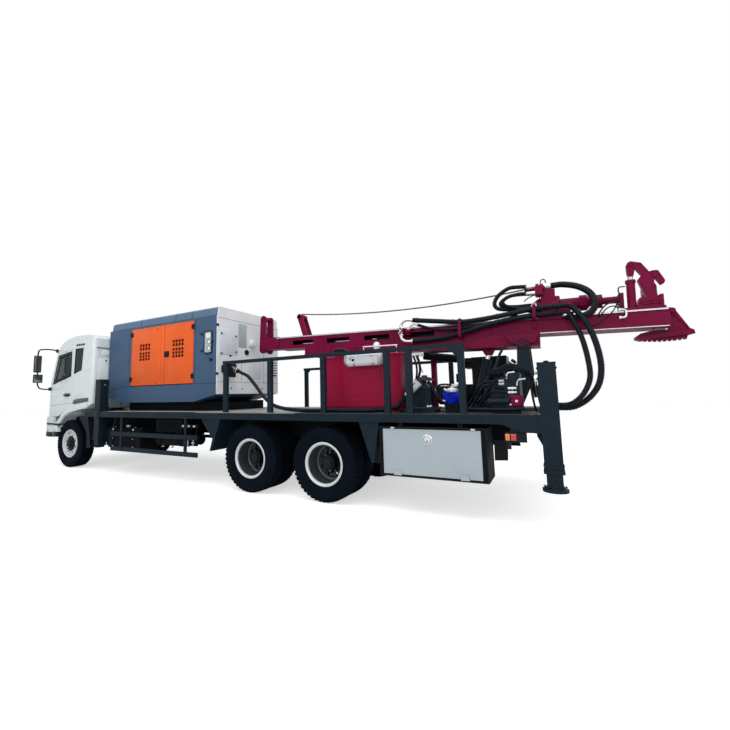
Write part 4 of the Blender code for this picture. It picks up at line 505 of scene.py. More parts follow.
# %% Paints and metals
SLATE = (0.0075, 0.0165, 0.0255)
SOOT = (0.022, 0.023, 0.025)
paint = {
    "frame": finish("slate_paint", SLATE, 0.4, vary=0.22, grime=0.13, dust=(0.05, 0.056, 0.06), low=1.3,
        wear=(0.04, 0.045, 0.048), spec=0.11),
    # chassis and underbody are black paint, written darker still as painted shade under the truck
    "chassis": finish("chassis_black_painted_shade", (0.004, 0.0065, 0.01), 0.55, grime=0.2, dust=SOOT, low=1.2, spec=0.1),
    "under": finish("underbody_black_painted_shade", (0.003, 0.0045, 0.007), 0.6, grime=0.14, dust=SOOT, low=1.0,
        spec=0.08),
    "deck": finish("deck_steel", (0.33, 0.335, 0.33), 0.55, vary=0.25, grime=0.4, dust=(0.14, 0.13, 0.11),
        bump=0.5, grain=34, spec=0.2, zones=(("X", 0.45 - AXLE, (0.035, 0.043, 0.049)),)),
    "crimson": finish("crimson_paint", (0.165, 0.0015, 0.036), 0.36, vary=0.2, grime=0.14,
        dust=(0.07, 0.012, 0.02), wear=(0.05, 0.012, 0.016), spec=0.1),
    "tank_red": finish("tank_red", (0.27, 0.003, 0.034), 0.34, vary=0.14, grime=0.12,
        dust=(0.11, 0.012, 0.02), spec=0.14),
    "white": finish("cab_white", (0.7, 0.765, 0.77), 0.26, vary=0.015, grime=0.03, dust=(0.56, 0.57, 0.55),
        low=1.0, coat=0.5, bump=0.02),
    # the zone on the canopy's rear face is its pale paint, written lighter still as painted light on that
    # face
    "canopy": finish("canopy_paint", (0.092, 0.155, 0.245), 0.34, vary=0.07, grime=0.1,
        dust=(0.1, 0.13, 0.16), spec=0.2, bump=0.08, zones=(("Z", 2.985, (0.046, 0.094, 0.175)),
        ("X", 2.425 - AXLE, (0.8, 0.82, 0.83)))),
    "canopy_blue": finish("canopy_blue", (0.046, 0.094, 0.175), 0.34, vary=0.07, grime=0.1,
        dust=(0.1, 0.13, 0.16), spec=0.2, bump=0.08),
    "orange": finish("door_orange", (0.8, 0.118, 0.018), 0.35, vary=0.08, grime=0.14, dust=(0.66, 0.18, 0.07),
        spec=0.2, bump=0.06),
    "grey": finish("light_grey_paint", (0.68, 0.73, 0.78), 0.35, vary=0.05, grime=0.15, coat=0.3),
    "box_grey": finish("locker_grey", (0.375, 0.44, 0.47), 0.38, vary=0.05, grime=0.18,
        dust=(0.26, 0.27, 0.27), low=0.9, coat=0.2),
    "black": finish("black_plastic", (0.011, 0.012, 0.015), 0.42, grime=0.2, dust=SOOT, bump=0.25, grain=260,
        spec=0.12),
    "tyre": finish("tyre_rubber", (0.002, 0.0045, 0.009), 0.72, vary=0.25, size=5, grime=0.16,
        dust=(0.016, 0.018, 0.022), low=0.7, bump=0.5, grain=130, spec=0.05),
    "rim": finish("rim_silver", (0.62, 0.64, 0.66), 0.32, 0.25, vary=0.06, size=4, grime=0.25,
        dust=(0.28, 0.27, 0.25), bump=0.08),
    # the barrel's dark colour is painted shade and painted reflection of the dark surroundings, not its metal
    "barrel": finish("rim_barrel_painted_shade", (0.06, 0.07, 0.08), 0.24, 0.3, vary=0.15, size=4, grime=0.2,
        dust=(0.05, 0.05, 0.05), bump=0.08),
    "hub": finish("hub_black", (0.008, 0.01, 0.014), 0.45, vary=0.2, size=6, grime=0.3, dust=SOOT, spec=0.14),
    "steel": finish("bare_steel", (0.48, 0.49, 0.5), 0.32, 0.85, vary=0.1, size=6, grime=0.25, bump=0.1),
    "rope": finish("rope_steel", (0.12, 0.12, 0.12), 0.45, 0.5, vary=0.2, size=9, grime=0.3, spec=0.3),
    "chrome": finish("chrome_rod", (0.78, 0.79, 0.8), 0.14, 1.0, vary=0.03, size=6, grime=0.08, bump=0.02),
    "zinc": finish("zinc_fittings", (0.62, 0.63, 0.62), 0.3, 0.7, vary=0.12, size=9, grime=0.2),
    "blue": finish("pump_blue", (0.002, 0.018, 0.4), 0.38, vary=0.1, size=6, grime=0.12,
        dust=(0.005, 0.02, 0.22), spec=0.05, zones=(("Z", 1.35, (0.008, 0.01, 0.014)),)),
    "hose": finish("hose_rubber", (0.004, 0.007, 0.012), 0.5, vary=0.2, size=7, grime=0.18,
        dust=(0.025, 0.027, 0.03), bump=0.3, grain=220, spec=0.14),
    "rubber": finish("dull_rubber", (0.011, 0.012, 0.014), 0.75, vary=0.2, size=5, grime=0.3, dust=SOOT,
        spec=0.2),
    "dark": finish("hollow_dark", (0.004, 0.004, 0.005), 0.9, grime=0.05, spec=0.1),
    "red_lamp": finish("lamp_red", (0.55, 0.01, 0.008), 0.15, vary=0.1, size=30, grime=0.05, coat=0.8,
        bump=0.4, grain=400),
    "amber": finish("lamp_amber", (0.8, 0.22, 0.01), 0.15, vary=0.1, size=30, grime=0.05, coat=0.8, bump=0.4,
        grain=400),
    "silver": finish("sleeve_silver", (0.7, 0.71, 0.7), 0.38, 0.35, vary=0.1, size=9, grime=0.2),
    "seat": finish("seat_cloth", (0.075, 0.08, 0.09), 0.85, vary=0.2, size=9, grime=0.1, bump=0.6, grain=500),
    "trim": finish("trim_slate", (0.07, 0.095, 0.12), 0.45, vary=0.1, grime=0.15, dust=(0.16, 0.17, 0.17),
        spec=0.3),
    "lit": finish("lamp_white", (0.8, 0.83, 0.84), 0.2, vary=0.05, size=20, grime=0.05, coat=0.6),
}
print("paints:", ", ".join(paint))

# %% [markdown]
# By day a cab's glass looks dark from outside. Half transmission and a dark tint show that and let the seats
# be seen. The floor glows for camera rays alone, to meet the white background without a line.

# %% Glass and the white floor
def glass(name, tint, rough, through):
    made = finish(name, tint, rough, vary=0.03, grime=0.05, dust=(0.35, 0.36, 0.36), bump=0.01)
    shader = made.node_tree.nodes["Principled BSDF"]
    shader.inputs["Transmission Weight"].default_value = through
    shader.inputs["IOR"].default_value = 1.45
    return made


paint["glass"] = glass("cab_glass", (0.045, 0.068, 0.07), 0.05, 0.5)
paint["dark_glass"] = glass("dark_glass", (0.01, 0.02, 0.034), 0.06, 0.1)
for key in ("glass", "dark_glass"):
    paint[key].node_tree.nodes["Principled BSDF"].inputs["Specular IOR Level"].default_value = 0.07
paint["lens"] = glass("lamp_lens", (0.8, 0.84, 0.86), 0.04, 0.55)
paint["mirror"] = finish("mirror_glass", (0.26, 0.29, 0.31), 0.08, 0.9, vary=0.02, grime=0.03, bump=0.0)
paint["floor"] = finish("floor_white", (0.9, 0.9, 0.9), 0.85, vary=0.005, size=0.5, grime=0.0, bump=0.02,
    grain=3, spec=0.1)
floor_shader = paint["floor"].node_tree.nodes["Principled BSDF"]
floor_shader.inputs["Emission Color"].default_value = (1, 1, 1, 1)
floor_path = paint["floor"].node_tree.nodes.new("ShaderNodeLightPath")
floor_glow = paint["floor"].node_tree.nodes.new("ShaderNodeMath")
floor_glow.operation = "MULTIPLY"
floor_glow.inputs[1].default_value = 0.57
paint["floor"].node_tree.links.new(floor_path.outputs["Is Camera Ray"], floor_glow.inputs[0])
paint["floor"].node_tree.links.new(floor_glow.outputs[0], floor_shader.inputs["Emission Strength"])
floor_mesh.materials.append(paint["floor"])
print("floor glow", floor_glow.inputs[1].default_value)

# %% [markdown]
# The solids carry plain colours. Their meshes may not change, but their material slots may, so each gets a
# finish by name. A table is easier to check than sixty assignments.

# %% Finishes on the solids
NODE_FINISH = {
    "chassis": "chassis_frame front_axle rear_axles steering_knuckle_l steering_knuckle_r",
    "white": "cab_shell cab_door_l cab_door_r front_bumper",
    "glass": "windscreen",
    "seat": "cab_interior",
    "black": "mirror_l mirror_r air_outlet_valve",
    "frame": "deck_frame rear_jack_housing_l rear_jack_housing_r rear_jack_leg_l rear_jack_leg_r "
        "front_jack_frame front_jack_leg_l front_jack_leg_r pivot_frame mast_ram_barrel mast_rest power_pack",
    "deck": "deck_plate",
    "under": "side_tanks toolbox compressor_set",
    "box_grey": "toolbox_lid",
    "canopy": "compressor_canopy",
    "tank_red": "hydraulic_tank",
    "orange": "compressor_door_front compressor_door_rear",
    "crimson": "mast rotary_head rod_clamp foot_spade",
    "chrome": "mast_ram_rod",
    "grey": "filter_canister",
    "blue": "water_pump",
    "hose": "mast_hoses air_hose hose_loop_outer hose_loop_inner",
    "steel": "hoist_rope",
    "tyre": "front_tyre_l front_tyre_r mid_tyres_l mid_tyres_r rear_tyres_l rear_tyres_r",
    "rim": "front_rim_l front_rim_r mid_rims_l mid_rims_r rear_rims_l rear_rims_r",
}
dressed = set()
for key, names in NODE_FINISH.items():
    for node_name in names.split():
        data = nodes[node_name].data
        data.materials.clear()
        data.materials.append(paint[key])
        dressed.add(node_name)
print("finishes:", len(paint), "undressed nodes:", sorted(set(nodes) - dressed))

# %% [markdown]
# A hose is as thick along its whole length, and a curve with a round bevel gives that with few points. A
# plastic spiral guards it against rubbing. Its ridges show in the outline, where a texture would not, so a
# thin band is wound round the line.

# %% Hoses as curves, and their guard
def cord_curve(name, route, radius, step):
    """A smooth tube on a curve, in the row frame, and its real length."""
    line = [p - back for p in smooth_line(route, step)]
    data = bpy.data.curves.new(name, "CURVE")
    data.dimensions = "3D"
    spline = data.splines.new("POLY")
    spline.points.add(len(line) - 1)
    for spot, point in zip(spline.points, line):
        spot.co = (*point, 1.0)
    data.bevel_depth = radius
    data.bevel_resolution = 4
    data.use_fill_caps = True
    data.materials.append(paint["hose"])
    made = bpy.data.objects.new(name, data)
    scene.collection.objects.link(made)
    length = sum((line[i + 1] - line[i]).length for i in range(len(line) - 1))
    return made, line, length


def spiral(line, radius, pitch, width, sides=10):
    """A raised band wound round a line given in the row frame, as a Shape from the rearmost axle."""
    line = [p + back for p in line]
    ways = directions(line)
    side = ways[0].orthogonal().normalized()
    points = []
    gone = 0.0
    per = []
    for i, (spot, way) in enumerate(zip(line, ways)):
        side = (side - way * side.dot(way)).normalized()
        per.append((spot, side.copy(), way.cross(side), gone))
        if i + 1 < len(line):
            gone += (line[i + 1] - spot).length
    turns = gone / pitch
    count = max(8, int(turns * sides))
    index = 0
    for k in range(count + 1):
        at = gone * k / count
        while index < len(per) - 2 and per[index + 1][3] < at:
            index += 1
        first, second = per[index], per[index + 1]
        share = (at - first[3]) / max(1e-9, second[3] - first[3])
        spot = first[0].lerp(second[0], share)
        a = 2 * math.pi * at / pitch
        s = first[1].lerp(second[1], share).normalized()
        t = first[2].lerp(second[2], share).normalized()
        points.append(spot + radius * (math.cos(a) * s + math.sin(a) * t))
    return Shape().tube(points, width / 2, 4)


print("band:", len(spiral([Vector((0, 0, 0)), Vector((1, 0, 0))], 0.03, 0.03, 0.01).points), "points a metre")

# %% [markdown]
# The air hose drops from the compressor to the deck and rises to the separator. Two thick hoses loop down
# behind the mast, with slack so that it can stand up. Their routes repeat those of the solids that the
# simulation bends, and each one's real length is printed.

# %% Cords
AIR_FALL = Vector((-0.928, 0, -0.372))
AIR_RISE = Vector((-0.7071, 0, 0.7071))
AIR_MOUTH = Vector((2.32, 0.62, 2.026))
air_first = AIR_MOUTH + 0.1803 * AIR_FALL
air_last = Vector((-1.21, 1.02, 1.48)) - 0.002 * AIR_RISE
air_route = [air_first, air_first + 0.2 * AIR_FALL, (1.9, 0.63, 1.85), (1.72, 0.66, 1.7), (1.53, 0.72, 1.545),
    (1.33, 0.8, 1.425), (1.08, 0.91, 1.335), (0.75, 1.02, 1.287), (0.4, 1.07, 1.271), (0, 1.08, 1.271),
    (-0.45, 1.08, 1.271), (-0.75, 1.06, 1.277), air_last - 0.24 * AIR_RISE, air_last - 0.13 * AIR_RISE,
    air_last]
loop_tops = [MAST @ Vector((-0.352, 0.29, n)) for n in (0.465, 0.375)]
loop_back = MAST.to_3x3() @ Vector((-0.13, 0, 0))
outer_route = [loop_tops[0], loop_tops[0] + loop_back, loop_tops[0] + 1.5 * loop_back, (-3.23, 0.33, 2.47),
    (-3.33, 0.42, 2.25), (-3.385, 0.5, 2.0), (-3.4, 0.56, 1.76), (-3.36, 0.6, 1.56), (-3.26, 0.62, 1.41),
    (-3.14, 0.63, 1.32), (-3.05, 0.63, 1.29), (-2.891, 0.63, 1.29)]
inner_route = [loop_tops[1], loop_tops[1] + loop_back, loop_tops[1] + 1.4 * loop_back, (-3.2, 0.36, 2.3),
    (-3.25, 0.44, 2.1), (-3.28, 0.52, 1.86), (-3.28, 0.6, 1.64), (-3.21, 0.67, 1.47), (-3.12, 0.7, 1.37),
    (-3.03, 0.7, 1.325), (-2.891, 0.7, 1.325)]
for cord_name, cord_route, cord_r, cord_pitch, stiffness in (
        ("air_hose", air_route, 0.03, 0.0, "stiff"),
        ("hose_loop_outer", outer_route, 0.031, 0.03, "stiff"),
        ("hose_loop_inner", inner_route, 0.027, 0.028, "stiff")):
    cord_piece, cord_line, cord_length = cord_curve(cord_name + "_line", cord_route, cord_r, 0.05)
    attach(cord_piece, "chassis")
    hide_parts(cord_name)
    extras = []
    if cord_pitch:
        wrap = put(cord_name + "_wrap", spiral(cord_line, cord_r + 0.001, cord_pitch, 0.012, 14), "hose",
            smooth=60)
        extras.append(wrap)
    print(cord_name, round(cord_length, 3), "m")

# %% [markdown]
# Grilles and hand holes go right through their plates. An exact boolean takes the cutters out, and the result
# is kept as a plain mesh, so that no modifier stays behind.

# %% Cutting holes
def cut_with(target, cutters):
    """Takes the cutters' shapes out of a made object."""
    holder = bpy.data.meshes.new("cutter")
    holder.from_pydata([(x - AXLE, y, z) for x, y, z in cutters.points], [], cutters.faces)
    work = bmesh.new()
    work.from_mesh(holder)
    bmesh.ops.remove_doubles(work, verts=work.verts, dist=1e-6)
    bmesh.ops.recalc_face_normals(work, faces=work.faces)
    work.to_mesh(holder)
    work.free()
    tool = bpy.data.objects.new("cutter", holder)
    scene.collection.objects.link(tool)
    change = target.modifiers.new("cut", "BOOLEAN")
    change.operation = "DIFFERENCE"
    change.solver = "EXACT"
    change.object = tool
    graph = bpy.context.evaluated_depsgraph_get()
    result = bpy.data.meshes.new_from_object(target.evaluated_get(graph))
    target.modifiers.clear()
    old = target.data
    target.data = result
    bpy.data.objects.remove(tool)
    bpy.data.meshes.remove(holder)
    result.name = old.name + "_cut"
    result.set_sharp_from_angle(angle=math.radians(40))


print("cutting is exact")

# %% [markdown]
# A truck tyre has a bulging side, a bead ring, grooves round its tread and rows of shoulder lugs. Its section
# is turned round the axle, which makes the grooves without any cut. The lugs are small blocks set round its
# edge.

# %% Tyre
TYRE_R = 0.525
# from the middle of a tyre to that of its twin
TWIN = 0.325


def tyre_shape(x, middle, width, lugs=46):
    half = width / 2
    r = TYRE_R
    ring = []
    side = [(0.7, 0.29), (0.8, 0.305), (0.86, 0.325), (0.945, 0.36), (0.995, 0.4), (1.0, 0.43),
        (0.975, 0.462), (0.93, 0.486), (0.88, 0.5), (0.8, 0.508), (0.74, 0.512)]
    groove = [(0.5, 0.521), (0.47, 0.505), (0.41, 0.505), (0.38, 0.522), (0.08, 0.524), (0.05, 0.507),
        (-0.05, 0.507), (-0.08, 0.524), (-0.38, 0.522), (-0.41, 0.505), (-0.47, 0.505), (-0.5, 0.521)]
    ring += [(middle + half * s, q) for s, q in side]
    ring += [(middle + half * s, q) for s, q in groove]
    ring += [(middle - half * s, q) for s, q in reversed(side)]
    shape = Shape().turned(ring, "Y", (x, 0, r), 92)
    for k in range(lugs):
        for s in (1, -1):
            a = 2 * math.pi * (k + (0.5 if s < 0 else 0.0)) / lugs
            wide = math.pi / lugs * 0.62
            corners = []
            for share, low, high in ((0.54, 0.508, 0.5245), (0.88, 0.494, 0.5185), (0.955, 0.472, 0.492)):
                for turn_by in (-wide, wide):
                    for rr in (low, high):
                        corners.append((x + rr * math.sin(a + turn_by), middle + s * half * share,
                            r + rr * math.cos(a + turn_by)))
            faces = [(0, 1, 3, 2), (8, 10, 11, 9)]
            for base in (0, 4):
                faces += [(base + 1, base + 5, base + 7, base + 3), (base, base + 2, base + 6, base + 4),
                    (base, base + 4, base + 5, base + 1), (base + 2, base + 3, base + 7, base + 6)]
            shape.add(corners, faces)
    for rr, bump in ((0.34, 0.004), (0.445, 0.003)):
        for s in (1, -1):
            y = middle + s * half * (0.905 if rr < 0.4 else 0.995)
            shape.turned([(y, rr), (y + s * bump, rr + 0.004), (y, rr + 0.012)], "Y", (x, 0, r), 92)
    return shape


print("tyre", 2 * TYRE_R, "m across")

# %% [markdown]
# Each rear wheel is a pair of tyres on one hub, with a deep dished rim. The rolled lip is bright, and the
# dish's dark colour is painted shade and painted reflection of its dark surroundings, with dust in patches,
# so they are two pieces. Hand holes are cut through the disc. The right wheels mirror the left.

# %% Wheels
def wheel_set(tag, x, bodies, outer_middle, width, disc_out, hub_out, front):
    z = TYRE_R
    half = width / 2
    tyres = tyre_shape(x, outer_middle, width)
    if not front:
        inner = tyre_shape(x, outer_middle - TWIN, width)
        tyres.join(inner)
    noun = "front_tyre" if front else tag + "_tyres"
    rim_noun = "front_rim" if front else tag + "_rims"
    lip = outer_middle + half * 0.75 + 0.021
    back = outer_middle - half * 0.75 - 0.021 if front else outer_middle - TWIN - half * 0.75 - 0.021
    profile = [(lip - 0.016, 0.279), (lip - 0.012, 0.303), (lip - 0.003, 0.306), (lip + 0.001, 0.298),
        (lip - 0.002, 0.286), (lip - 0.012, 0.272), (lip - 0.04, 0.264), (disc_out + 0.012, 0.258),
        (disc_out + 0.001, 0.246), (disc_out, 0.232), (disc_out + 0.006, 0.215), (disc_out + 0.018, 0.2),
        (disc_out + 0.018, 0.172), (disc_out + 0.004, 0.16), (disc_out, 0.15), (disc_out, 0.06),
        (disc_out - 0.014, 0.06), (disc_out - 0.014, 0.236), (disc_out - 0.03, 0.254), (back, 0.262),
        (back, 0.279)]
    rim = Shape().turned(profile, "Y", (x, 0, z), 72)
    rolled_lip = Shape().turned([(lip - 0.0165, 0.2795), (lip - 0.0125, 0.3035), (lip - 0.003, 0.307),
        (lip + 0.002, 0.298), (lip - 0.001, 0.2855), (lip - 0.011, 0.271), (lip - 0.03, 0.2655),
        (lip - 0.03, 0.268)], "Y", (x, 0, z), 72)
    holes = Shape()
    for k in range(8):
        a = 2 * math.pi * (k + 0.5) / 8
        centre = (x + 0.186 * math.sin(a), 0, z + 0.186 * math.cos(a))
        holes.disc("Y", centre, 0.027, disc_out - 0.08, disc_out + 0.06, 18)
    hub = Shape().turned([(disc_out - 0.02, 0.118), (disc_out + 0.03, 0.118), (disc_out + 0.036, 0.112),
        (hub_out - 0.036, 0.1), (hub_out - 0.03, 0.072), (hub_out - 0.004, 0.068), (hub_out, 0.058),
        (hub_out, 0), (disc_out - 0.02, 0)], "Y", (x, 0, z), 36, False)
    nuts = Shape()
    for k in range(10):
        a = 2 * math.pi * k / 10
        spot = (x + 0.14 * math.sin(a), disc_out, z + 0.14 * math.cos(a))
        nuts.bolt("Y", spot, 0.034, 0.03)
        nuts.disc("Y", spot, 0.01, 0.0, 0.046, 10)
    for k in range(10):
        a = 2 * math.pi * (k + 0.5) / 10
        nuts.bolt("Y", (x + 0.088 * math.sin(a), hub_out - 0.036, z + 0.088 * math.cos(a)), 0.016, 0.01)
    valve_line = [(x + 0.245 * math.sin(0.4), disc_out + 0.01, z + 0.245 * math.cos(0.4)),
        (x + 0.235 * math.sin(0.4), disc_out + 0.045, z + 0.235 * math.cos(0.4))]
    nuts.tube(valve_line, 0.006, 8)
    for side, suffix, body in ((1, "_l", bodies[0]), (-1, "_r", bodies[1])):
        put(noun + suffix + "_tread", tyres, "tyre", body, smooth=32, replaces=(noun + suffix,),
            flip=side < 0)
        made = put(rim_noun + suffix + "_steel", rim, "rim" if front else "barrel", body, smooth=35,
            replaces=(rim_noun + suffix,), flip=side < 0)
        put(rim_noun + suffix + "_lip", rolled_lip, "rim", body, smooth=35, flip=side < 0)
        turned_holes = Shape()
        turned_holes.points = [(px, side * py, pz) for px, py, pz in holes.points]
        turned_holes.faces = holes.faces
        cut_with(made, turned_holes)
        put(rim_noun + suffix + "_hub", hub, "hub", body, smooth=35, flip=side < 0)
        put(rim_noun + suffix + "_nuts", nuts, "hub", body, smooth=35, flip=side < 0)


wheel_set("rear", 0.0, ("rear_wheels_left", "rear_wheels_right"), 1.085, 0.28, 0.945, 1.11, False)
wheel_set("mid", 1.35, ("middle_wheels_left", "middle_wheels_right"), 1.085, 0.28, 0.945, 1.11, False)
wheel_set("front", 6.66, ("front_wheel_left", "front_wheel_right"), 1.0325, 0.295, 1.12, 1.195, True)
tell()

# %% [markdown]
# Window rubbers, seams and pressed panels follow an outline at a small distance. Blender can inset a mesh,
# but here an outline is just a list of corners, so one helper moves it and another closes a flat frame
# between two.

# %% Outlines
def offset(outline, distance):
    """A closed outline moved outwards on every side, or inwards for a distance below zero."""
    pts = [Vector(p) for p in outline]
    n = len(pts)
    area = sum(pts[i].x * pts[(i + 1) % n].y - pts[(i + 1) % n].x * pts[i].y for i in range(n))
    sign = -1 if area > 0 else 1
    result = []
    for i, here in enumerate(pts):
        one = (here - pts[i - 1]).normalized()
        two = (pts[(i + 1) % n] - here).normalized()
        first, second = Vector((-one.y, one.x)) * sign, Vector((-two.y, two.x)) * sign
        middle = (first + second).normalized()
        result.append(tuple(here + middle * distance / max(0.35, middle.dot(first))))
    return result


def flat_ring(outer, inner, low, high, axis="Y"):
    """A flat frame between two outlines of as many corners, as a Shape."""
    lift = LIFT[axis]
    n = len(outer)
    points = [lift(a, b, h) for h in (low, high) for loop in (outer, inner) for a, b in loop]
    faces = []
    for i in range(n):
        j = (i + 1) % n
        faces += [(i, j, n + j, n + i), (2 * n + i, 2 * n + j, 3 * n + j, 3 * n + i),
            (i, j, 2 * n + j, 2 * n + i), (n + i, n + j, 3 * n + j, 3 * n + i)]
    return Shape().add(points, faces)


def rounded(x0, x1, z0, z1, radius, steps=4):
    """A rectangle with round corners."""
    corners = ((x1 - radius, z1 - radius, 0), (x0 + radius, z1 - radius, 90), (x0 + radius, z0 + radius, 180),
        (x1 - radius, z0 + radius, 270))
    return [(cx + radius * math.cos(math.radians(a + 90 * k / steps)),
        cz + radius * math.sin(math.radians(a + 90 * k / steps))) for cx, cz, a in corners
        for k in range(steps + 1)]


print("a round-cornered panel has", len(rounded(0, 1, 0, 1, 0.1)), "corners")

# %% [markdown]
# The door's glass fills a hole in the CAD door, and a smaller fixed pane sits behind it. Panes drawn on the
# holes' own outlines fit without a gap, and rubber frames hide the joint, as on a real cab.

# %% Cab windows
DOORS = ("cab_door_left", "cab_door_right")
window_hole = [(6.652, 2.082), (7.378, 1.903), (7.168, 2.488), (6.652, 2.568)]
window_edge = [(6.634, 2.03), (7.398, 1.858), (7.205, 2.535), (6.64, 2.606)]
pair("cab_window", Shape().prism(offset(window_hole, -0.001), 1.196, 1.201), "glass", DOORS)
pair("cab_window_rubber", flat_ring(window_edge, offset(window_hole, -0.02), 1.2205, 1.2275), "black", DOORS,
    chamfer=0.002)
quarter = [(6.516, 2.078), (6.497, 2.642), (6.186, 2.642), (6.224, 2.158)]
pair("cab_quarter_glass", Shape().prism(offset(quarter, -0.01), 1.2085, 1.215), "dark_glass")
pair("cab_quarter_rubber", flat_ring(offset(quarter, 0.006), offset(quarter, -0.014), 1.209, 1.2235), "black",
    chamfer=0.002)
pair("cab_vent_slot", Shape().prism(rounded(6.14, 6.482, 2.704, 2.746, 0.018), 1.219, 1.223), "dark")

vent_fins = Shape()
for fin_x in (6.225, 6.311, 6.397):
    vent_fins.block(fin_x - 0.006, fin_x + 0.006, 1.2225, 1.2265, 2.706, 2.744)
pair("cab_vent_fins", vent_fins, "white")
tell()

# %% [markdown]
# The handle is a bar over a dark cup. Slate trim and a raised lip run along the wheel arch, with a rubber
# guard behind it. Pressed and clipped parts stand out by millimetres, so they are flat outlines pushed out of
# the side.

# %% Door handle, trim and arch
pair("cab_handle_cup", Shape().prism(rounded(6.64, 6.886, 1.572, 1.65, 0.036), 1.219, 1.2222), "black", DOORS)

handle = Shape().tube([(6.655, 1.224, 1.612), (6.68, 1.252, 1.612), (6.765, 1.26, 1.611), (6.85, 1.252, 1.61),
    (6.872, 1.224, 1.61)], [0.01, 0.015, 0.017, 0.015, 0.01], 10)
pair("cab_handle", handle, "black", DOORS, smooth=60)
trim = [(6.511, 1.415), (6.458, 1.499), (6.207, 1.526), (5.9, 1.534), (5.895, 1.46), (6.425, 1.402)]
pair("cab_sill_trim", Shape().prism(trim, 1.219, 1.233), "trim", chamfer=0.004)
lip_high = [(7.2, 0.985), (7.12, 1.01), (7.037, 1.06), (6.882, 1.197), (6.605, 1.314), (6.194, 1.388),
    (5.9, 1.432)]
lip_low = [(5.904, 1.33), (6.273, 1.268), (6.58, 1.222), (6.83, 1.12), (6.96, 1.01), (7.03, 0.95),
    (7.2, 0.93)]
pair("cab_arch_lip", Shape().prism(lip_high + lip_low, 1.185, 1.244), "white", chamfer=0.008)
crease = [(6.461, 1.53), (6.306, 1.604), (6.06, 1.649), (6.06, 1.64), (6.3, 1.592), (6.452, 1.52)]
pair("cab_crease", Shape().prism(crease, 1.219, 1.227), "white", chamfer=0.003)
door_seal = [(6.58, 1.43), (7.44, 1.37), (7.44, 1.84), (7.19, 2.57), (6.7, 2.65), (6.58, 2.63)]
pair("cab_door_seal", flat_ring(offset(door_seal, 0.0052), offset(door_seal, 0.0008), 1.176, 1.208), "rubber")
guard = [(6.28, 1.14), (6.185, 1.035), (6.02, 0.865), (5.955, 0.78), (5.935, 0.64), (5.925, 0.475)]
guard_back = [(a - 0.01, b + 0.006) for a, b in reversed(guard)]
pair("cab_splash_guard", Shape().prism(guard + guard_back, 0.78, 1.2), "rubber")
guard_side = [(6.27, 1.15), (6.18, 1.035), (6.015, 0.865), (5.95, 0.78), (5.93, 0.64), (5.92, 0.475),
    (5.78, 0.48), (5.93, 1.15)]
pair("cab_splash_side", Shape().prism(guard_side, 1.188, 1.2), "rubber")
tell()

# %% [markdown]
# The cab's back has pressed panels, a rain gutter and air lines, and ribs stiffen the roof. Pressings are
# drawn as thin plates that stand proud, because the CAD wall behind them stays flat.

# %% Cab back and roof
rear_panel = Shape()
for side in (1, -1):
    rear_panel.prism([(side * y, z) for y, z in rounded(0.2, 1.09, 1.56, 2.4, 0.06)], 5.784, 5.8005, "X")
    rear_panel.prism([(side * y, z) for y, z in rounded(0.26, 1.03, 2.47, 2.58, 0.03)], 5.788, 5.8005, "X")
put("cab_rear_panels", rear_panel, "white", chamfer=0.006)
put("cab_rear_gutter", Shape().tube([(5.792, -1.12, 2.632), (5.792, 0, 2.64), (5.792, 1.15, 2.632)], 0.01, 8),
    "trim")

grommets = Shape()
for side in (1, -1):
    grommets.disc("X", (0, side * 0.945, 2.35), 0.018, 5.77, 5.79, 12)
    grommets.tube([(5.78, side * 0.56, 1.36), (5.76, side * 0.57, 1.6), (5.765, side * 0.6, 2.05),
        (5.785, side * 0.62, 2.45)], 0.011, 8)
put("cab_rear_grommets", grommets, "black")

roof_ribs = Shape()
for y in (-0.72, -0.36, 0.36, 0.72):
    roof_ribs.prism([(5.95, 2.921), (6.42, 2.939), (6.42, 2.948), (5.95, 2.93)], y - 0.035, y + 0.035)
roof_ribs.prism([(6.05, 2.924), (6.35, 2.936), (6.35, 2.948), (6.05, 2.938)], -0.24, 0.24)
put("cab_roof_ribs", roof_ribs, "white", chamfer=0.004)
tell()

# %% [markdown]
# The bumper wraps round the front with two black bands. A band follows the bumper's outline at a small
# thickness, so that it hugs the bends. Lamps sit in the corners, dark slats behind the openings, and each
# wiper is three bars, since it is too thin to need more.

# %% Bumper, lamps and grille
bumper_edge = [(7.22, 1.25), (7.44, 1.25), (7.62, 1.2), (7.73, 1.08), (7.83, 0.74)]


def bumper_band(z0, z1, thick, from_x=7.22):
    line = [p for p in bumper_edge if p[0] >= from_x]
    whole = line + [(x, -y) for x, y in reversed(line)]
    outer = []
    for i, (x, y) in enumerate(whole):
        a, b = Vector(whole[max(i - 1, 0)]), Vector(whole[min(i + 1, len(whole) - 1)])
        way = (b - a).normalized()
        outer.append((x - way.y * thick, y + way.x * thick))
    return Shape().prism(whole + outer[::-1], z0, z1, "Z")


put("bumper_low_band", bumper_band(0.66, 0.77, 0.006), "black", chamfer=0.002)
put("bumper_top_band", bumper_band(0.935, 0.972, 0.007), "black", chamfer=0.002)
lamp = [(7.7165, 0.804), (7.799, 0.804), (7.722, 1.088), (7.7165, 1.1)]
pair("headlamp_lens", Shape().prism(lamp, 0.836, 0.931, "Z"), "lens", chamfer=0.004)
pair("headlamp_bowl", Shape().disc("X", (0, 0.9, 0.884), 0.036, 7.716, 7.74, 20), "chrome")
pair("side_lamp", Shape().prism(rounded(7.3, 7.4, 0.82, 0.88, 0.02), 1.249, 1.26), "lit", chamfer=0.003)
pair("side_step", Shape().prism([(7.03, 0.78), (7.218, 0.78), (7.218, 0.925), (7.09, 0.925)], 1.16, 1.246),
    "white", chamfer=0.006)
pair("side_step_band", Shape().block(7.02, 7.218, 1.15, 1.252, 0.925, 0.965), "black", chamfer=0.006)
pair("side_step_low", Shape().block(7.06, 7.218, 1.15, 1.244, 0.665, 0.78), "black", chamfer=0.006)

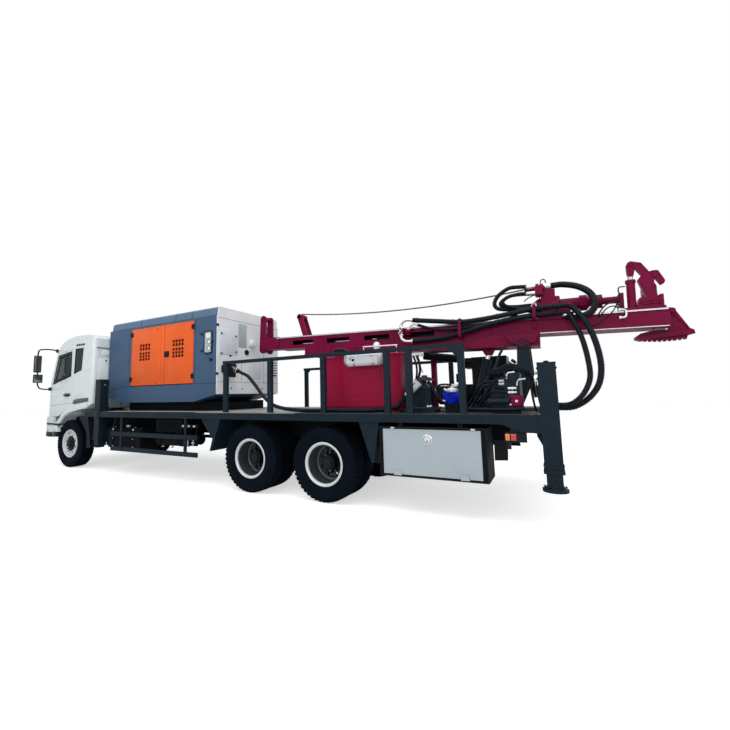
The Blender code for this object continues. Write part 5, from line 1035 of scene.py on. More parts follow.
grille = Shape()
for k in range(4):
    grille.block(7.53, 7.56, -0.745, 0.745, 1.303 + 0.085 * k, 1.341 + 0.085 * k)
put("front_grille_mesh", grille, "black")

wipers = Shape()
for y in (0.1, -0.78):
    foot = Vector((7.56, y, 1.83))
    tip = Vector((7.415, y + 0.62, 2.24))
    wipers.tube([foot, foot.lerp(tip, 0.5) + Vector((0.02, 0, 0.01)), tip], 0.008, 8)
    wipers.tube([foot.lerp(tip, 0.3) + Vector((0.022, 0, 0)), tip + Vector((-0.04, 0.1, 0.13))], 0.007, 6)
    wipers.disc("X", (0, y, 1.83), 0.022, 7.52, 7.57, 14)
put("wipers", wipers, "black")
tell()

# %% [markdown]
# A tall mirror and a wide-angle one hang on each side from bent tubes. Moulded cases have large soft edges,
# so they get a wide bevel. They stand for the CAD mirrors.

# %% Mirrors
mirror_case = Shape().prism([(7.462, 1.448), (7.462, 1.606), (7.492, 1.604), (7.53, 1.56), (7.534, 1.49),
    (7.5, 1.45)], 2.14, 2.53, "Z")
mirror_case.prism([(7.468, 1.408), (7.468, 1.602), (7.5, 1.6), (7.53, 1.55), (7.53, 1.45), (7.5, 1.41)],
    1.902, 2.095, "Z")
pair("mirror_cases", mirror_case, "black", chamfer=0.016, smooth=50)

mirror_glass = Shape().prism(rounded(1.462, 1.592, 2.158, 2.512, 0.03), 7.459, 7.4625, "X")
mirror_glass.prism(rounded(1.422, 1.588, 1.918, 2.079, 0.026), 7.465, 7.4685, "X")
pair("mirror_glass", mirror_glass, "mirror")

mirror_arms = Shape()
upper = smooth_line([(7.275, 1.232, 2.655), (7.33, 1.3, 2.675), (7.4, 1.43, 2.68), (7.47, 1.515, 2.65),
    (7.5, 1.525, 2.5)], 0.03)
lower = smooth_line([(7.5, 1.5, 1.93), (7.51, 1.49, 1.85), (7.515, 1.44, 1.775), (7.51, 1.33, 1.755),
    (7.5, 1.226, 1.76)], 0.03)
mirror_arms.tube(upper, 0.015, 10)
mirror_arms.tube(lower, 0.015, 10)
mirror_arms.tube([(7.5, 1.51, 2.16), (7.5, 1.51, 2.06)], 0.015, 10)
pair("mirror_arms", mirror_arms, "black", smooth=60)

mirror_feet = Shape().block(7.23, 7.31, 1.2205, 1.246, 2.61, 2.69).block(7.456, 7.52, 1.2205, 1.262, 1.72,
    1.8)
pair("mirror_feet", mirror_feet, "black", chamfer=0.006)
for suffix in ("_l", "_r"):
    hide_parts("mirror" + suffix)
tell()

# %% [markdown]
# Each orange door is one pressed sheet with a folded strip, slotted grilles and two hinges. The slots are
# really cut, because dark gauze shows through them. Each part rides on its door, so that it swings along.

# %% Compressor doors
SIDE_Y = 0.9
REAR_X = 2.41
for tag, x0, x1, strip, grille_x, high_rows, low_rows in (
        ("front", 4.028, 4.934, (3.964, 4.03), (4.313, 4.672), (2.487, 2.635), (2.272, 2.463)),
        ("rear", 3.034, 3.87, (3.868, 3.956), (3.3, 3.64), (2.502, 2.644), (2.278, 2.482))):
    node_name = "compressor_door_" + tag
    far = (strip[1], x1) if tag == "front" else (x0, strip[0])
    leaf = put(node_name + "_leaf", Shape().block(min(far[0], strip[0]), max(far[1], strip[1]), 0.872, 0.903,
        1.764, 2.964), "orange", node_name, chamfer=0.004, replaces=(node_name,))
    slots = Shape()
    wide = (grille_x[1] - grille_x[0]) / 4
    for (z0, z1), rows in ((high_rows, 2), (low_rows, 3)):
        tall = (z1 - z0) / rows
        for row in range(rows):
            for column in range(4):
                sx, sz = grille_x[0] + wide * column, z0 + tall * row
                slots.prism(rounded(sx + 0.008, sx + wide - 0.008, sz + 0.006, sz + tall - 0.006, 0.008, 2),
                    0.86, 0.915)
    cut_with(leaf, slots)
    put(node_name + "_strip", Shape().block(*strip, 0.9025, 0.9125, 1.766, 2.962), "orange", node_name,
        chamfer=0.003)
    rim_line = rounded(min(far) + 0.02, max(far) - 0.02, 1.786, 2.942, 0.02, 3)
    put(node_name + "_press", flat_ring(rim_line, offset(rim_line, -0.006), 0.902, 0.9048), "orange",
        node_name)
    put(node_name + "_gauze", Shape().block(grille_x[0] - 0.02, grille_x[1] + 0.02, 0.872, 0.88,
        low_rows[0] - 0.02, high_rows[1] + 0.02), "dark", node_name)
    hinges = Shape()
    hinge_x = 4.943 if tag == "front" else 3.027
    inward = -1 if tag == "front" else 1
    for z in (1.85, 2.8):
        for r, low, high in ((0.013, 0, 0.1), (0.016, 0.03, 0.036), (0.016, 0.064, 0.07)):
            hinges.disc("Z", (hinge_x, 0.9105, 0), r, z + low, z + high, 14)
        hinges.block(min(hinge_x, hinge_x + inward * 0.06), max(hinge_x, hinge_x + inward * 0.06), 0.9025,
            0.909, z + 0.006, z + 0.094)
        for dz in (0.025, 0.075):
            hinges.bolt("Y", (hinge_x + inward * 0.042, 0.909, z + dz), 0.012, 0.005)
    put(node_name + "_hinges", hinges, "black", node_name)
tell()

# %% [markdown]
# A black paddle latch closes both doors. The canopy is bolted together from sheets, whose joints show as dark
# lines. A thin dark bar laid half into the surface reads as a gap from any side and leaves the CAD mesh
# alone.

# %% Latch and canopy seams
latch = Shape().prism(rounded(3.722, 3.856, 2.306, 2.428, 0.02), 0.9025, 0.913)
latch.prism(rounded(3.742, 3.8, 2.322, 2.412, 0.012), 0.9125, 0.919)
latch.tube([(3.825, 0.913, 2.405), (3.828, 0.928, 2.385), (3.828, 0.93, 2.345), (3.825, 0.916, 2.33)], 0.009,
    8)
put("compressor_latch", latch, "black", "compressor_door_rear", chamfer=0.002)

buttons = Shape()
for spot in ((4.089, 0.903, 2.902), (4.109, 0.903, 1.805)):
    buttons.bolt("Y", spot, 0.018, 0.008)
put("compressor_door_bolts", buttons, "black", "compressor_door_front")

seams = Shape()
LID = [(0.901, 3.004), (0.8892, 3.01), (0.8705, 3.146), (0.8315, 3.1745)]
for x in (4.66, 3.57, 3.095):
    seams.tube([(x, y, z) for y, z in LID] + [(x, -y, z) for y, z in reversed(LID)], 0.003, 6)
for side in (1, -1):
    seams.tube([(5.725, side * 0.9005, 3.0), (2.415, side * 0.9005, 3.0)], 0.0035, 6)
    seams.tube([(5.725, side * 0.9, 1.69), (4.985, side * 0.9, 1.752), (2.415, side * 0.9, 1.752)], 0.0028, 6)
    seams.tube([(2.985, side * 0.9, 1.752), (2.985, side * 0.9, 3.0)], 0.0024, 6)
    seams.tube([(5.02, side * 0.9, 1.752), (5.02, side * 0.9, 3.0)], 0.0024, 6)
seams.tube([(REAR_X, -0.89, 1.772), (REAR_X, 0.89, 1.772)], 0.0028, 6)
seams.tube([(REAR_X, 0.258, 1.79), (REAR_X, 0.258, 2.215)], 0.0028, 6)
seams.tube([(REAR_X, -0.433, 1.946), (REAR_X, -0.88, 1.876)], 0.0028, 6)
seams.tube([(REAR_X, -0.41, 1.772), (REAR_X, -0.41, 2.96)], 0.0028, 6)
seams.tube([(REAR_X, -0.88, 2.962), (REAR_X, 0.89, 2.962)], 0.003, 6)
put("compressor_seams", seams, "dark")
tell()

# %% [markdown]
# A round-cornered window shows two dials and a display. Knobs, catches, buffers and a cable loop sit round
# the canopy. They share one piece, because they have one finish and never move.

# %% Gauge window, knobs and catches
window = rounded(2.537, 2.752, 2.302, 2.728, 0.045)
put("gauge_frame", flat_ring(window, offset(window, -0.02), 0.8985, 0.912), "black", chamfer=0.003)
put("gauge_glass", Shape().prism(offset(window, -0.018), 0.899, 0.9025), "box_grey")

dials = Shape()
for z in (2.4, 2.52):
    dials.disc("Y", (2.612, 0, z), 0.036, 0.9025, 0.906, 24)
dials.prism(rounded(2.59, 2.69, 2.595, 2.68, 0.01), 0.9025, 0.905)
put("gauge_dials", dials, "lit")

bezels = Shape()
for z in (2.4, 2.52):
    bezels.turned([(0.9024, 0.036), (0.908, 0.036), (0.908, 0.042), (0.9024, 0.042)], "Y", (2.612, 0, z), 24)
put("gauge_bezels", bezels, "black")

knobs = Shape()
knobs.turned([(0.9, 0), (0.9, 0.032), (0.908, 0.032), (0.908, 0.024), (0.93, 0.022), (0.934, 0.016),
    (0.934, 0)], "Y", (2.558, 0, 2.184), 20, False)
for x, z in ((2.806, 2.678), (2.798, 2.357), (2.521, 2.518)):
    knobs.block(x - 0.014, x + 0.014, 0.899, 0.916, z - 0.022, z + 0.022)
for z in (2.821, 1.92):
    knobs.block(2.398, 2.424, 0.868, 0.916, z - 0.02, z + 0.02)
for y, z in ((0.804, 2.67), (0.803, 2.299), (0.426, 2.656), (0.422, 2.349)):
    knobs.disc("X", (0, y, z), 0.017, REAR_X - 0.024, REAR_X - 0.009, 14)
for y, z in ((0.53, 1.652), (0.237, 1.642), (-0.359, 1.655)):
    knobs.bolt("X", (REAR_X, y, z), 0.022, -0.01)
knobs.turned([(REAR_X, 0.036), (REAR_X - 0.022, 0.036), (REAR_X - 0.022, 0.052), (REAR_X, 0.056)], "X",
    (0, 0.118, 2.368), 24)
knobs.disc("X", (0, 0.118, 2.368), 0.036, REAR_X - 0.006, REAR_X, 20)
knobs.tube([(REAR_X, -0.414, 2.948), (REAR_X - 0.04, -0.43, 2.948), (REAR_X - 0.045, -0.529, 2.93),
    (REAR_X - 0.045, -0.529, 2.83), (REAR_X, -0.529, 2.805)], 0.01, 8)
put("compressor_knobs", knobs, "black", chamfer=0.002)
tell()

# %% [markdown]
# The pale rear face has bolted covers, louvres, a round drum and the air valve, whose recess is a black plate
# of painted shade. A louvre is a thin wedge, wider below, as if pressed from sheet. The right side isn't
# seen, so it has the usual service door and louvres. Zinc bands lie square to the hose's direction.

# %% Rear covers, right side and air outlet
covers = Shape().prism(rounded(0.384, 0.856, 2.284, 2.756, 0.02), REAR_X - 0.01, REAR_X + 0.001, "X")
covers.prism(rounded(-0.33, 0.09, 1.84, 2.24, 0.02), REAR_X - 0.006, REAR_X + 0.001, "X")
for k in range(7):
    z = 1.955 + 0.055 * k
    covers.prism([(REAR_X, z + 0.03), (REAR_X - 0.022, z), (REAR_X - 0.018, z - 0.004), (REAR_X, z + 0.02)],
        -0.88, -0.64)
put("compressor_rear_covers", covers, "grey", chamfer=0.003)

# a black plate stands for the recess round the air valve: its black is painted shade
recess = Shape().prism(rounded(0.42, 0.735, 1.865, 2.15, 0.02), REAR_X - 0.012, REAR_X + 0.001, "X")
recess.prism(rounded(0.455, 0.6, 1.96, 2.105, 0.02), REAR_X - 0.06, REAR_X - 0.01, "X")
put("air_outlet_recess", recess, "black", chamfer=0.003)
put("compressor_rear_inset", Shape().prism(rounded(0.118, 0.352, 2.455, 2.925, 0.015), REAR_X - 0.005,
    REAR_X + 0.001, "X"), "box_grey", chamfer=0.002)
drum = [(REAR_X, 0.06), (REAR_X - 0.01, 0.078), (REAR_X - 0.055, 0.078), (REAR_X - 0.068, 0.066),
    (REAR_X - 0.072, 0), (REAR_X, 0)]
put("compressor_rear_drum", Shape().turned(drum, "X", (0, -0.03, 2.56), 28, False), "lit", smooth=45)

right_louvres = Shape()
for k in range(8):
    z = 1.965 + 0.07 * k
    right_louvres.prism([(-SIDE_Y, z + 0.034), (-SIDE_Y - 0.024, z - 0.004), (-SIDE_Y - 0.02, z - 0.008),
        (-SIDE_Y, z + 0.024)], 3.38, 4.62, "X")
right_door = rounded(3.04, 4.935, 1.775, 2.955, 0.02)
right_louvres.join(flat_ring(right_door, offset(right_door, -0.007), -SIDE_Y - 0.004, -SIDE_Y + 0.001))
put("compressor_right_louvres", right_louvres, "canopy_blue")

valve = Shape()
for spot in ((0.6, 2.055), (0.72, 2.055), (0.6, 1.975), (0.72, 1.975)):
    valve.bolt("X", (REAR_X - 0.13, spot[0], spot[1]), 0.02, -0.012)
valve.tube([(2.34, 0.66, 2.115), (2.34, 0.66, 2.15), (2.29, 0.62, 2.16), (2.235, 0.58, 2.15)], 0.009, 8)
valve.cap("X", (0, 0.74, 2.02), 2.225, 0.05, 2.25, 0.05, 20)
valve.cap("X", (0, 0.74, 2.02), 2.205, 0.03, 2.225, 0.034, 6)
put("air_outlet_fittings", valve, "black", chamfer=0.001)

clamps = Shape()
for step_along in (0.05, 0.1, 0.15):
    spot = AIR_MOUTH + AIR_FALL * step_along
    way = AIR_FALL * 0.01
    clamps.tube([spot - way, spot + way], 0.0455, 20)
put("air_hose_bands", clamps, "zinc")
tell()

# %% [markdown]
# The crimson tank is welded from sheet, with flanges at its seams, a pressed panel and bolted covers. The
# flanges are flat bars that stand a few millimetres proud, which gives the weld its shadow.

# %% Hydraulic tank
tank = Shape()
tank.join(flat_ring(rounded(-0.8, -0.17, 1.478, 1.86, 0.03), rounded(-0.788, -0.182, 1.49, 1.848, 0.03),
    0.9501, 0.9551))
tank.block(-1.1, 0.08, 0.9501, 0.958, 1.318, 1.334)
tank.block(-1.1, 0.08, 0.9501, 0.96, 2.03, 2.055)
tank.block(-1.108, -1.1001, 0.42, 0.958, 1.318, 1.334)
tank.block(-1.11, -1.1001, 0.42, 0.96, 2.03, 2.055)
tank.block(0.0801, 0.09, 0.42, 0.96, 2.03, 2.055)
tank.disc("Y", (-0.23, 0, 1.845), 0.014, 0.95, 0.958, 14)
put("tank_seams", tank, "tank_red", chamfer=0.002)

fill = Shape()
fill.turned([(2.0852, 0), (2.0852, 0.052), (2.094, 0.056), (2.108, 0.056), (2.116, 0.048), (2.116, 0)], "Z",
    (-0.2, 0.66, 0), 24, False)
for u, v in around(6, 0.072):
    fill.bolt("Z", (-0.2 + u, 0.66 + v, 2.0555), 0.012, 0.008)
for x in (-0.95, -0.55):
    fill.cap("Z", (x, 0.62, 0), 2.0552, 0.06, 2.075, 0.06, 20)
    for u, v in around(6, 0.045):
        fill.bolt("Z", (x + u, 0.62 + v, 2.075), 0.011, 0.007)
put("tank_caps", fill, "zinc", smooth=35)
tell()

# %% [markdown]
# A pale canister with domed ends is strapped to the tank, and a round lamp stands on top. The domes are
# turned from a short curve, because a flat end would look like plain pipe.

# %% Canister and work lamp
CANISTER = (0, 1.06, 1.99)
canister = Shape()
for x, out in ((-0.35, 1), (-0.86, -1)):
    canister.turned([(x, 0.099), (x + out * 0.012, 0.094), (x + out * 0.026, 0.074), (x + out * 0.034, 0.04),
        (x + out * 0.036, 0.0), (x, 0.0)], "X", CANISTER, 28, False)
for x in (-0.372, -0.838):
    canister.band("X", CANISTER, x - 0.006, x + 0.006, 0.1002, 0.1035, 32)
canister.turned([(1.155, 0.024), (1.155, 0.04), (1.168, 0.038), (1.168, 0.024)], "Y", (-0.482, 0, 1.972), 22)
put("canister_ends", canister, "silver", smooth=40)
put("canister_port", Shape().disc("Y", (-0.482, 0, 1.972), 0.03, 1.152, 1.164, 20), "black")

straps = Shape()
for x in (-0.47, -0.76):
    straps.band("X", CANISTER, x - 0.014, x + 0.014, 0.1003, 0.1045, 32)
    straps.block(x - 0.014, x + 0.014, 0.9505, 0.985, 1.93, 2.045)
    straps.bolt("Y", (x, 0.985, 2.03), 0.016, 0.01)
put("canister_straps", straps, "zinc", smooth=35)

lamp = Shape()
lamp.turned([(2.112, 0), (2.112, 0.034), (2.15, 0.05), (2.185, 0.054), (2.212, 0.044), (2.232, 0.022),
    (2.236, 0)], "Z", (-0.735, 0.9, 0), 24, False)
lamp.tube([(-0.52, 0.9, 2.178), (-1.045, 0.9, 2.166)], 0.0095, 10)
lamp.tube([(-0.735, 0.9, 2.056), (-0.735, 0.9, 2.12)], 0.018, 12)
for x in (-0.53, -1.03):
    lamp.tube([(x, 0.9, 2.056), (x, 0.9, 2.176)], 0.007, 8)
put("work_lamp", lamp, "silver", smooth=40)

black_line = Shape().tube(smooth_line([(-0.1, 1.0, 2.145), (-0.2, 1.01, 2.15), (-0.3, 1.02, 2.128),
    (-0.352, 1.045, 2.08), (-0.356, 1.06, 2.03)], 0.02), 0.024, 12)
put("canister_hose", black_line, "hose", smooth=60)
tell()

# %% [markdown]
# The separator cleans the air before it reaches the drill. Its arched lid is an outline pushed to its width.
# A bracket carries three valves, and thin hoses pass through points read from the photograph, with a loose
# bend between them.

# %% Separator
sleeve = Shape()
start, end = Vector((-1.195, 1.02, 1.462)), Vector((-1.372, 1.02, 1.628))
sleeve.tube([start, end], 0.04, 18)
sleeve.tube([start.lerp(end, 0.02), start.lerp(end, 0.12)], 0.045, 18)
sleeve.tube([start.lerp(end, 0.88), start.lerp(end, 0.98)], 0.045, 18)
put("air_hose_sleeve", sleeve, "silver", smooth=40)

vessel = Shape()
vessel.prism([(-1.505, 1.655), (-1.505, 1.672), (-1.47, 1.7), (-1.415, 1.712), (-1.34, 1.7), (-1.275, 1.672),
    (-1.235, 1.655)], 0.8, 0.96)
vessel.block(-1.515, -1.205, 0.77, 0.99, 1.29, 1.312)
vessel.block(-1.53, -1.19, 0.76, 1.0, 1.56, 1.574)
vessel.tube([(-1.4, 0.88, 1.7), (-1.4, 0.88, 1.73)], 0.038, 18)
put("separator_lid", vessel, "deck", chamfer=0.005)

white_part = Shape()
white_part.block(-1.402, -1.18, 0.872, 0.89, 1.985, 2.04)
for x in (-1.24, -1.33, -1.385):
    white_part.cap("Y", (x, 0, 2.012), 0.89, 0.014, 0.902, 0.012, 6)
white_part.beam((-1.19, 0.88, 2.03), (-1.175, 0.88, 1.76), 0.018, 0.018)
white_part.beam((-1.3, 0.88, 1.985), (-1.385, 0.88, 1.76), 0.016, 0.016)
white_part.tube(smooth_line([(-1.52, 0.98, 1.6), (-1.56, 1.0, 1.545), (-1.59, 1.01, 1.47), (-1.64, 1.01, 1.4),
    (-1.69, 1.0, 1.39)], 0.02), 0.011, 10)
white_part.cap("Y", (-1.3, 0, 1.64), 0.9805, 0.036, 0.998, 0.036, 22)
for x in (-1.505, -1.47):
    white_part.tube([(x, 0.985, 1.325), (x, 1.03, 1.325)], 0.014, 10)
put("separator_bracket", white_part, "silver")

hoses = Shape()
for run, r in (
        ([(-1.315, 0.895, 2.0), (-1.345, 0.9, 1.9), (-1.352, 0.9, 1.8), (-1.33, 0.89, 1.72),
            (-1.32, 0.88, 1.69)], 0.017),
        ([(-1.265, 0.895, 1.995), (-1.3, 0.905, 1.9), (-1.31, 0.905, 1.8), (-1.3, 0.9, 1.72),
            (-1.29, 0.89, 1.68)], 0.014),
        ([(-1.48, 1.0, 1.64), (-1.53, 1.01, 1.59), (-1.565, 1.01, 1.5), (-1.62, 1.005, 1.42),
            (-1.69, 0.99, 1.36)], 0.022),
        ([(-1.56, 0.93, 1.54), (-1.6, 0.93, 1.59), (-1.68, 0.93, 1.6), (-1.76, 0.925, 1.59)], 0.012),
        ([(-1.54, 0.88, 1.48), (-1.62, 0.88, 1.56), (-1.72, 0.88, 1.56)], 0.01)):
    hoses.tube(smooth_line(run, 0.02), r, 10)
put("separator_hoses", hoses, "hose", smooth=60)
tell()

# %% [markdown]
# A dark red post and a leaning pressure vessel stand behind the tank. Two arms carry the vessel, one from the
# post and one from the power pack, so that nothing floats.

# %% Post and accumulator
post = Shape()
post.block(-1.19, -1.11, -0.64, -0.56, 1.2405, 2.06)
post.block(-1.23, -1.07, -0.68, -0.52, 1.2405, 1.252)
for x in (-1.21, -1.09):
    for y in (-0.66, -0.54):
        post.bolt("Z", (x, y, 1.252), 0.02, 0.012)
post.prism([(-1.19, 1.95), (-1.11, 1.95), (-1.11, 2.06), (-1.26, 2.06)], -0.56, -0.545)
put("tank_post", post, "crimson", chamfer=0.004)

store = Shape()
store.tube([(-1.06, -0.345, 2.108), (-1.62, -0.345, 2.024)], 0.064, 24)
store.tube([(-1.052, -0.345, 2.109), (-1.06, -0.345, 2.108)], 0.05, 24)
for k in (0.1, 0.9):
    a, b = Vector((-1.06, -0.345, 2.108)), Vector((-1.62, -0.345, 2.024))
    store.tube([a.lerp(b, k), a.lerp(b, k + 0.03)], 0.0675, 24)
store.beam((-1.15, -0.41, 2.08), (-1.15, -0.56, 2.045), 0.06, 0.016)
store.beam((-1.61, -0.345, 2.0), (-1.79, -0.52, 1.98), 0.05, 0.03)
put("accumulator", store, "frame", smooth=40)
tell()

# %% [markdown]
# The pump is the bright blue part low on the deck, with a ring of bolts on its face and silver fittings
# above. They are turned round the CAD pump's own axes, so that they sit square on it.

# %% Mud pump
pump = Shape()
for r0, r1, y0, y1 in ((0.03, 0.062, 1.0202, 1.03), (0.0, 0.024, 1.0202, 1.036)):
    pump.turned([(y0, r0), (y0, r1), (y1, r1), (y1, r0)], "Y", (-1.76, 0, 1.42), 28, r0 > 0)
for u, v in around(6, 0.046, 0.5):
    pump.bolt("Y", (-1.76 + u, 1.03, 1.42 + v), 0.014, 0.008)
for x in (-1.855, -1.668):
    pump.band("X", (0, 0.9, 1.42), x - 0.007, x + 0.007, 0.0852, 0.1, 28)
for side in (-1, 1):
    for y in (0.835, 0.965):
        pump.bolt("Z", (-1.76 + side * 0.06, y, 1.3602), 0.016, 0.01)
put("pump_face", pump, "blue", smooth=35)

tops = Shape()
tops.turned([(1.496, 0.0), (1.496, 0.066), (1.506, 0.074), (1.536, 0.074), (1.549, 0.06), (1.549, 0.0)], "Z",
    (-1.76, 0.9, 0), 24, False)
tops.turned([(1.5502, 0), (1.5502, 0.034), (1.562, 0.034), (1.566, 0.022), (1.592, 0.022), (1.592, 0)], "Z",
    (-1.76, 0.9, 0), 20, False)
tops.tube([(-1.76, 0.9, 1.578), (-1.83, 0.92, 1.584)], 0.017, 12)
tops.tube([(-1.7, 0.9, 1.53), (-1.66, 0.92, 1.545)], 0.012, 10)
tops.cap("Z", (-1.76, 0.9, 0), 1.585, 0.016, 1.604, 0.014, 6)
for x in (-1.7, -1.735):
    tops.tube([(x, 0.985, 1.515), (x, 1.02, 1.53)], 0.01, 8)
put("pump_top", tops, "silver", smooth=35)
tell()

# %% [markdown]
# An oil cooler, pulleys and fittings lie in shadow behind the mast's cylinder. Rows of fins and round covers
# give the density that is seen there. A seeded generator scatters the small fittings in the same way each
# run.

# %% Cooler and power pack
cooler = Shape()
cooler.join(flat_ring(rounded(-2.29, -1.795, 1.655, 2.04, 0.012, 2), rounded(-2.262, -1.823, 1.683, 2.012,
    0.008, 2), -0.5198, -0.498))
for k in range(20):
    z = 1.69 + 0.0165 * k
    cooler.block(-2.262, -1.823, -0.5195, -0.506, z, z + 0.0045)
cooler.block(-1.79, -1.662, -0.9, -0.54, 1.88, 2.045)
for k in range(7):
    cooler.block(-1.775 + 0.016 * k, -1.77 + 0.016 * k, -0.5398, -0.528, 1.895, 2.03)
put("oil_cooler", cooler, "black")

engine = Shape()
for k in range(9):
    x = -2.24 + k * 0.072
    engine.block(x, x + 0.02, -0.4999, -0.488, 1.3, 1.6)
for x, z, r, out in ((-2.16, 1.52, 0.06, -0.445), (-1.9, 1.52, 0.052, -0.455), (-2.03, 1.4, 0.07, -0.43),
        (-1.7, 1.43, 0.09, -0.42)):
    engine.turned([(-0.499, 0), (-0.499, r), (out, r), (out + 0.008, r * 0.86), (out + 0.008, r * 0.35),
        (out + 0.02, r * 0.3), (out + 0.02, 0)], "Y", (x, 0, z), 22, False)
engine.block(-2.2, -1.65, -0.48, -0.3, 1.241, 1.3)
engine.tube([(-1.54, -0.7, 1.66), (-1.54, -0.7, 1.8)], 0.05, 18)
engine.tube([(-1.23, -0.7, 1.5), (-1.19, -0.7, 1.5)], 0.11, 22)
put("power_pack_parts", engine, "dark", smooth=35)
rng = random.Random(7)
pack_bits = Shape()
for k in range(14):
    x = -2.22 + rng.random() * 0.56
    z = 1.32 + rng.random() * 0.26
    pack_bits.tube([(x, -0.47, z), (x, -0.44, z)], 0.01 + 0.006 * rng.random(), 6)
put("power_pack_fittings", pack_bits, "zinc")
tell()

# %% [markdown]
# The driller works the rig from a lever bank at the rear left. Handles are bent rods, ribs and bolts break up
# the valve blocks, and a crimson disc with a silver hub sits below. The disc is turned as a ring, so that the
# hub shows through it.

# %% Levers and valves
levers = Shape()
for x, z in ((-2.426, 1.655), (-2.532, 1.572)):
    levers.tube([(x, 1.095, z - 0.015), (x - 0.006, 1.098, z + 0.03), (x - 0.022, 1.1, z + 0.054),
        (x - 0.092, 1.102, z + 0.06)], 0.0095, 8)
    levers.cap("Y", (x, 0, z - 0.01), 1.06, 0.02, 1.095, 0.018, 14)
for x, z, y in ((-2.35, 1.618, 1.052), (-2.35, 1.583, 1.052), (-2.45, 1.529, 1.102), (-2.45, 1.482, 1.102)):
    levers.tube([(x + 0.015, y, z), (x - 0.075, y, z)], 0.0125, 12)
    levers.tube([(x - 0.022, y, z), (x - 0.04, y, z)], 0.018, 6)
    levers.tube([(x + 0.004, y, z), (x - 0.006, y, z)], 0.0165, 12)
for k in range(5):
    y = 0.68 + 0.09 * k
    levers.tube([(-2.5, y, 1.7), (-2.5, y, 1.728)], 0.014, 10)
put("lever_handles", levers, "silver", smooth=40)

valve = Shape()
for x in (-2.275, -2.33, -2.385):
    valve.block(x - 0.004, x + 0.004, 1.0502, 1.057, 1.245, 1.585)
for z in (1.3, 1.44):
    for x in (-2.302, -2.358):
        valve.bolt("Y", (x, 1.0502, z), 0.018, 0.01)
for x in (-2.425, -2.535):
    valve.bolt("Y", (x, 1.1002, 1.66), 0.018, 0.01)
    valve.bolt("Y", (x, 1.1002, 1.27), 0.018, 0.01)
valve.block(-2.552, -2.408, 1.1002, 1.106, 1.605, 1.612)
valve.block(-2.552, -2.408, 1.1002, 1.106, 1.45, 1.456)
for k in range(5):
    valve.cap("Z", (-2.5, 0.68 + 0.09 * k, 0), 1.7202, 0.022, 1.742, 0.012, 16)
    valve.turned([(1.838, 0.0), (1.838, 0.014), (1.85, 0.019), (1.866, 0.015), (1.872, 0.0)], "Z",
        (-2.5, 0.68 + 0.09 * k, 0), 14, False)
put("valve_ribs", valve, "frame")

disc = Shape()
disc.band("Y", (-2.52, 0, 1.384), 1.13, 1.142, 0.016, 0.06, 32)
disc.block(-2.59, -2.45, 1.1, 1.13, 1.318, 1.45)
for u, v in around(4, 0.042, 0.5):
    disc.disc("Y", (-2.52 + u, 0, 1.384 + v), 0.007, 1.1422, 1.148, 10)
put("valve_disc", disc, "crimson", chamfer=0.002)
put("valve_disc_hub", Shape().disc("Y", (-2.52, 0, 1.384), 0.015, 1.13, 1.152,
    14).tube([(-2.455, 1.115, 1.345), (-2.455, 1.135, 1.345)], 0.01, 8), "silver")

small = Shape()
small.tube([(-2.215, 1.08, 1.378), (-2.448, 1.104, 1.384)], 0.032, 18)
small.tube([(-2.215, 1.08, 1.378), (-2.235, 1.082, 1.3785)], 0.037, 18)
small.tube([(-2.19, 1.078, 1.377), (-2.215, 1.08, 1.378)], 0.014, 12)
put("valve_cylinder", small, "frame", smooth=40)
tell()

# %% [markdown]
# Dozens of hoses run from the pumps to the valves. They can't be told apart in the photograph, so families of
# hoses share a start, an end and a lift that grows from hose to hose. Thin lines of weld show where the
# deck's sheets meet.

# %% Nest of hoses and deck joints
nest = Shape()
fine = Shape()
starts = [(-1.9, 0.7, 1.3), (-1.96, 0.76, 1.28), (-2.0, 0.62, 1.35), (-2.04, 0.84, 1.29), (-2.08, 0.9, 1.3),
    (-2.06, 0.56, 1.4)]
ends = [(-2.335, 1.052, 1.618), (-2.335, 1.052, 1.583), (-2.435, 1.1, 1.529), (-2.435, 1.1, 1.482),
    (-2.44, 1.08, 1.66), (-2.24, 0.98, 1.52)]
for k, (a, b) in enumerate(zip(starts, ends)):
    a, b = Vector(a), Vector(b)
    lift = 0.05 + 0.05 * rng.random()
    nest.tube(smooth_line([a, a.lerp(b, 0.3) + Vector((0.02, 0.05, lift * 0.4)),
        a.lerp(b, 0.65) + Vector((0.03, 0.08, lift)), b], 0.02), 0.0135, 10)
for k in range(6):
    y = 0.7 + 0.06 * k
    top = 1.72 + 0.025 * (k % 3)
    nest.tube(smooth_line([(-2.13 - 0.02 * k, y, 1.42), (-2.23, y + 0.02, 1.6 + 0.02 * k),
        (-2.36, y + 0.06, top), (-2.48, y + 0.1, top + 0.035), (-2.61, y + 0.1, top - 0.02),
        (-2.69, y + 0.06, top - 0.12), (-2.71, y + 0.03, 1.42)], 0.03), 0.0125, 10)
for k in range(7):
    x = -1.905 - 0.045 * k
    fine.tube(smooth_line([(x, -0.46 + 0.03 * k, 1.58 - 0.03 * k), (x - 0.05, -0.2 + 0.02 * k, 1.66),
        (x - 0.1, 0.2, 1.52 + 0.03 * k), (x - 0.06, 0.52, 1.36), (x, 0.66, 1.27)], 0.03), 0.0115, 8)
nest.tube(smooth_line([(-2.345, 0.36, 2.08), (-2.29, 0.42, 1.96), (-2.25, 0.5, 1.82), (-2.17, 0.58, 1.7),
    (-2.1, 0.62, 1.56), (-2.08, 0.66, 1.35)], 0.03), 0.017, 10)
nest.tube(smooth_line([(-1.9, 1.1, 1.285), (-2.05, 1.11, 1.29), (-2.2, 1.112, 1.288), (-2.4, 1.15, 1.29),
    (-2.6, 1.16, 1.3)], 0.03), 0.02, 10)
put("valve_hoses", nest, "hose", smooth=60)
put("pack_hoses", fine, "black", smooth=60)

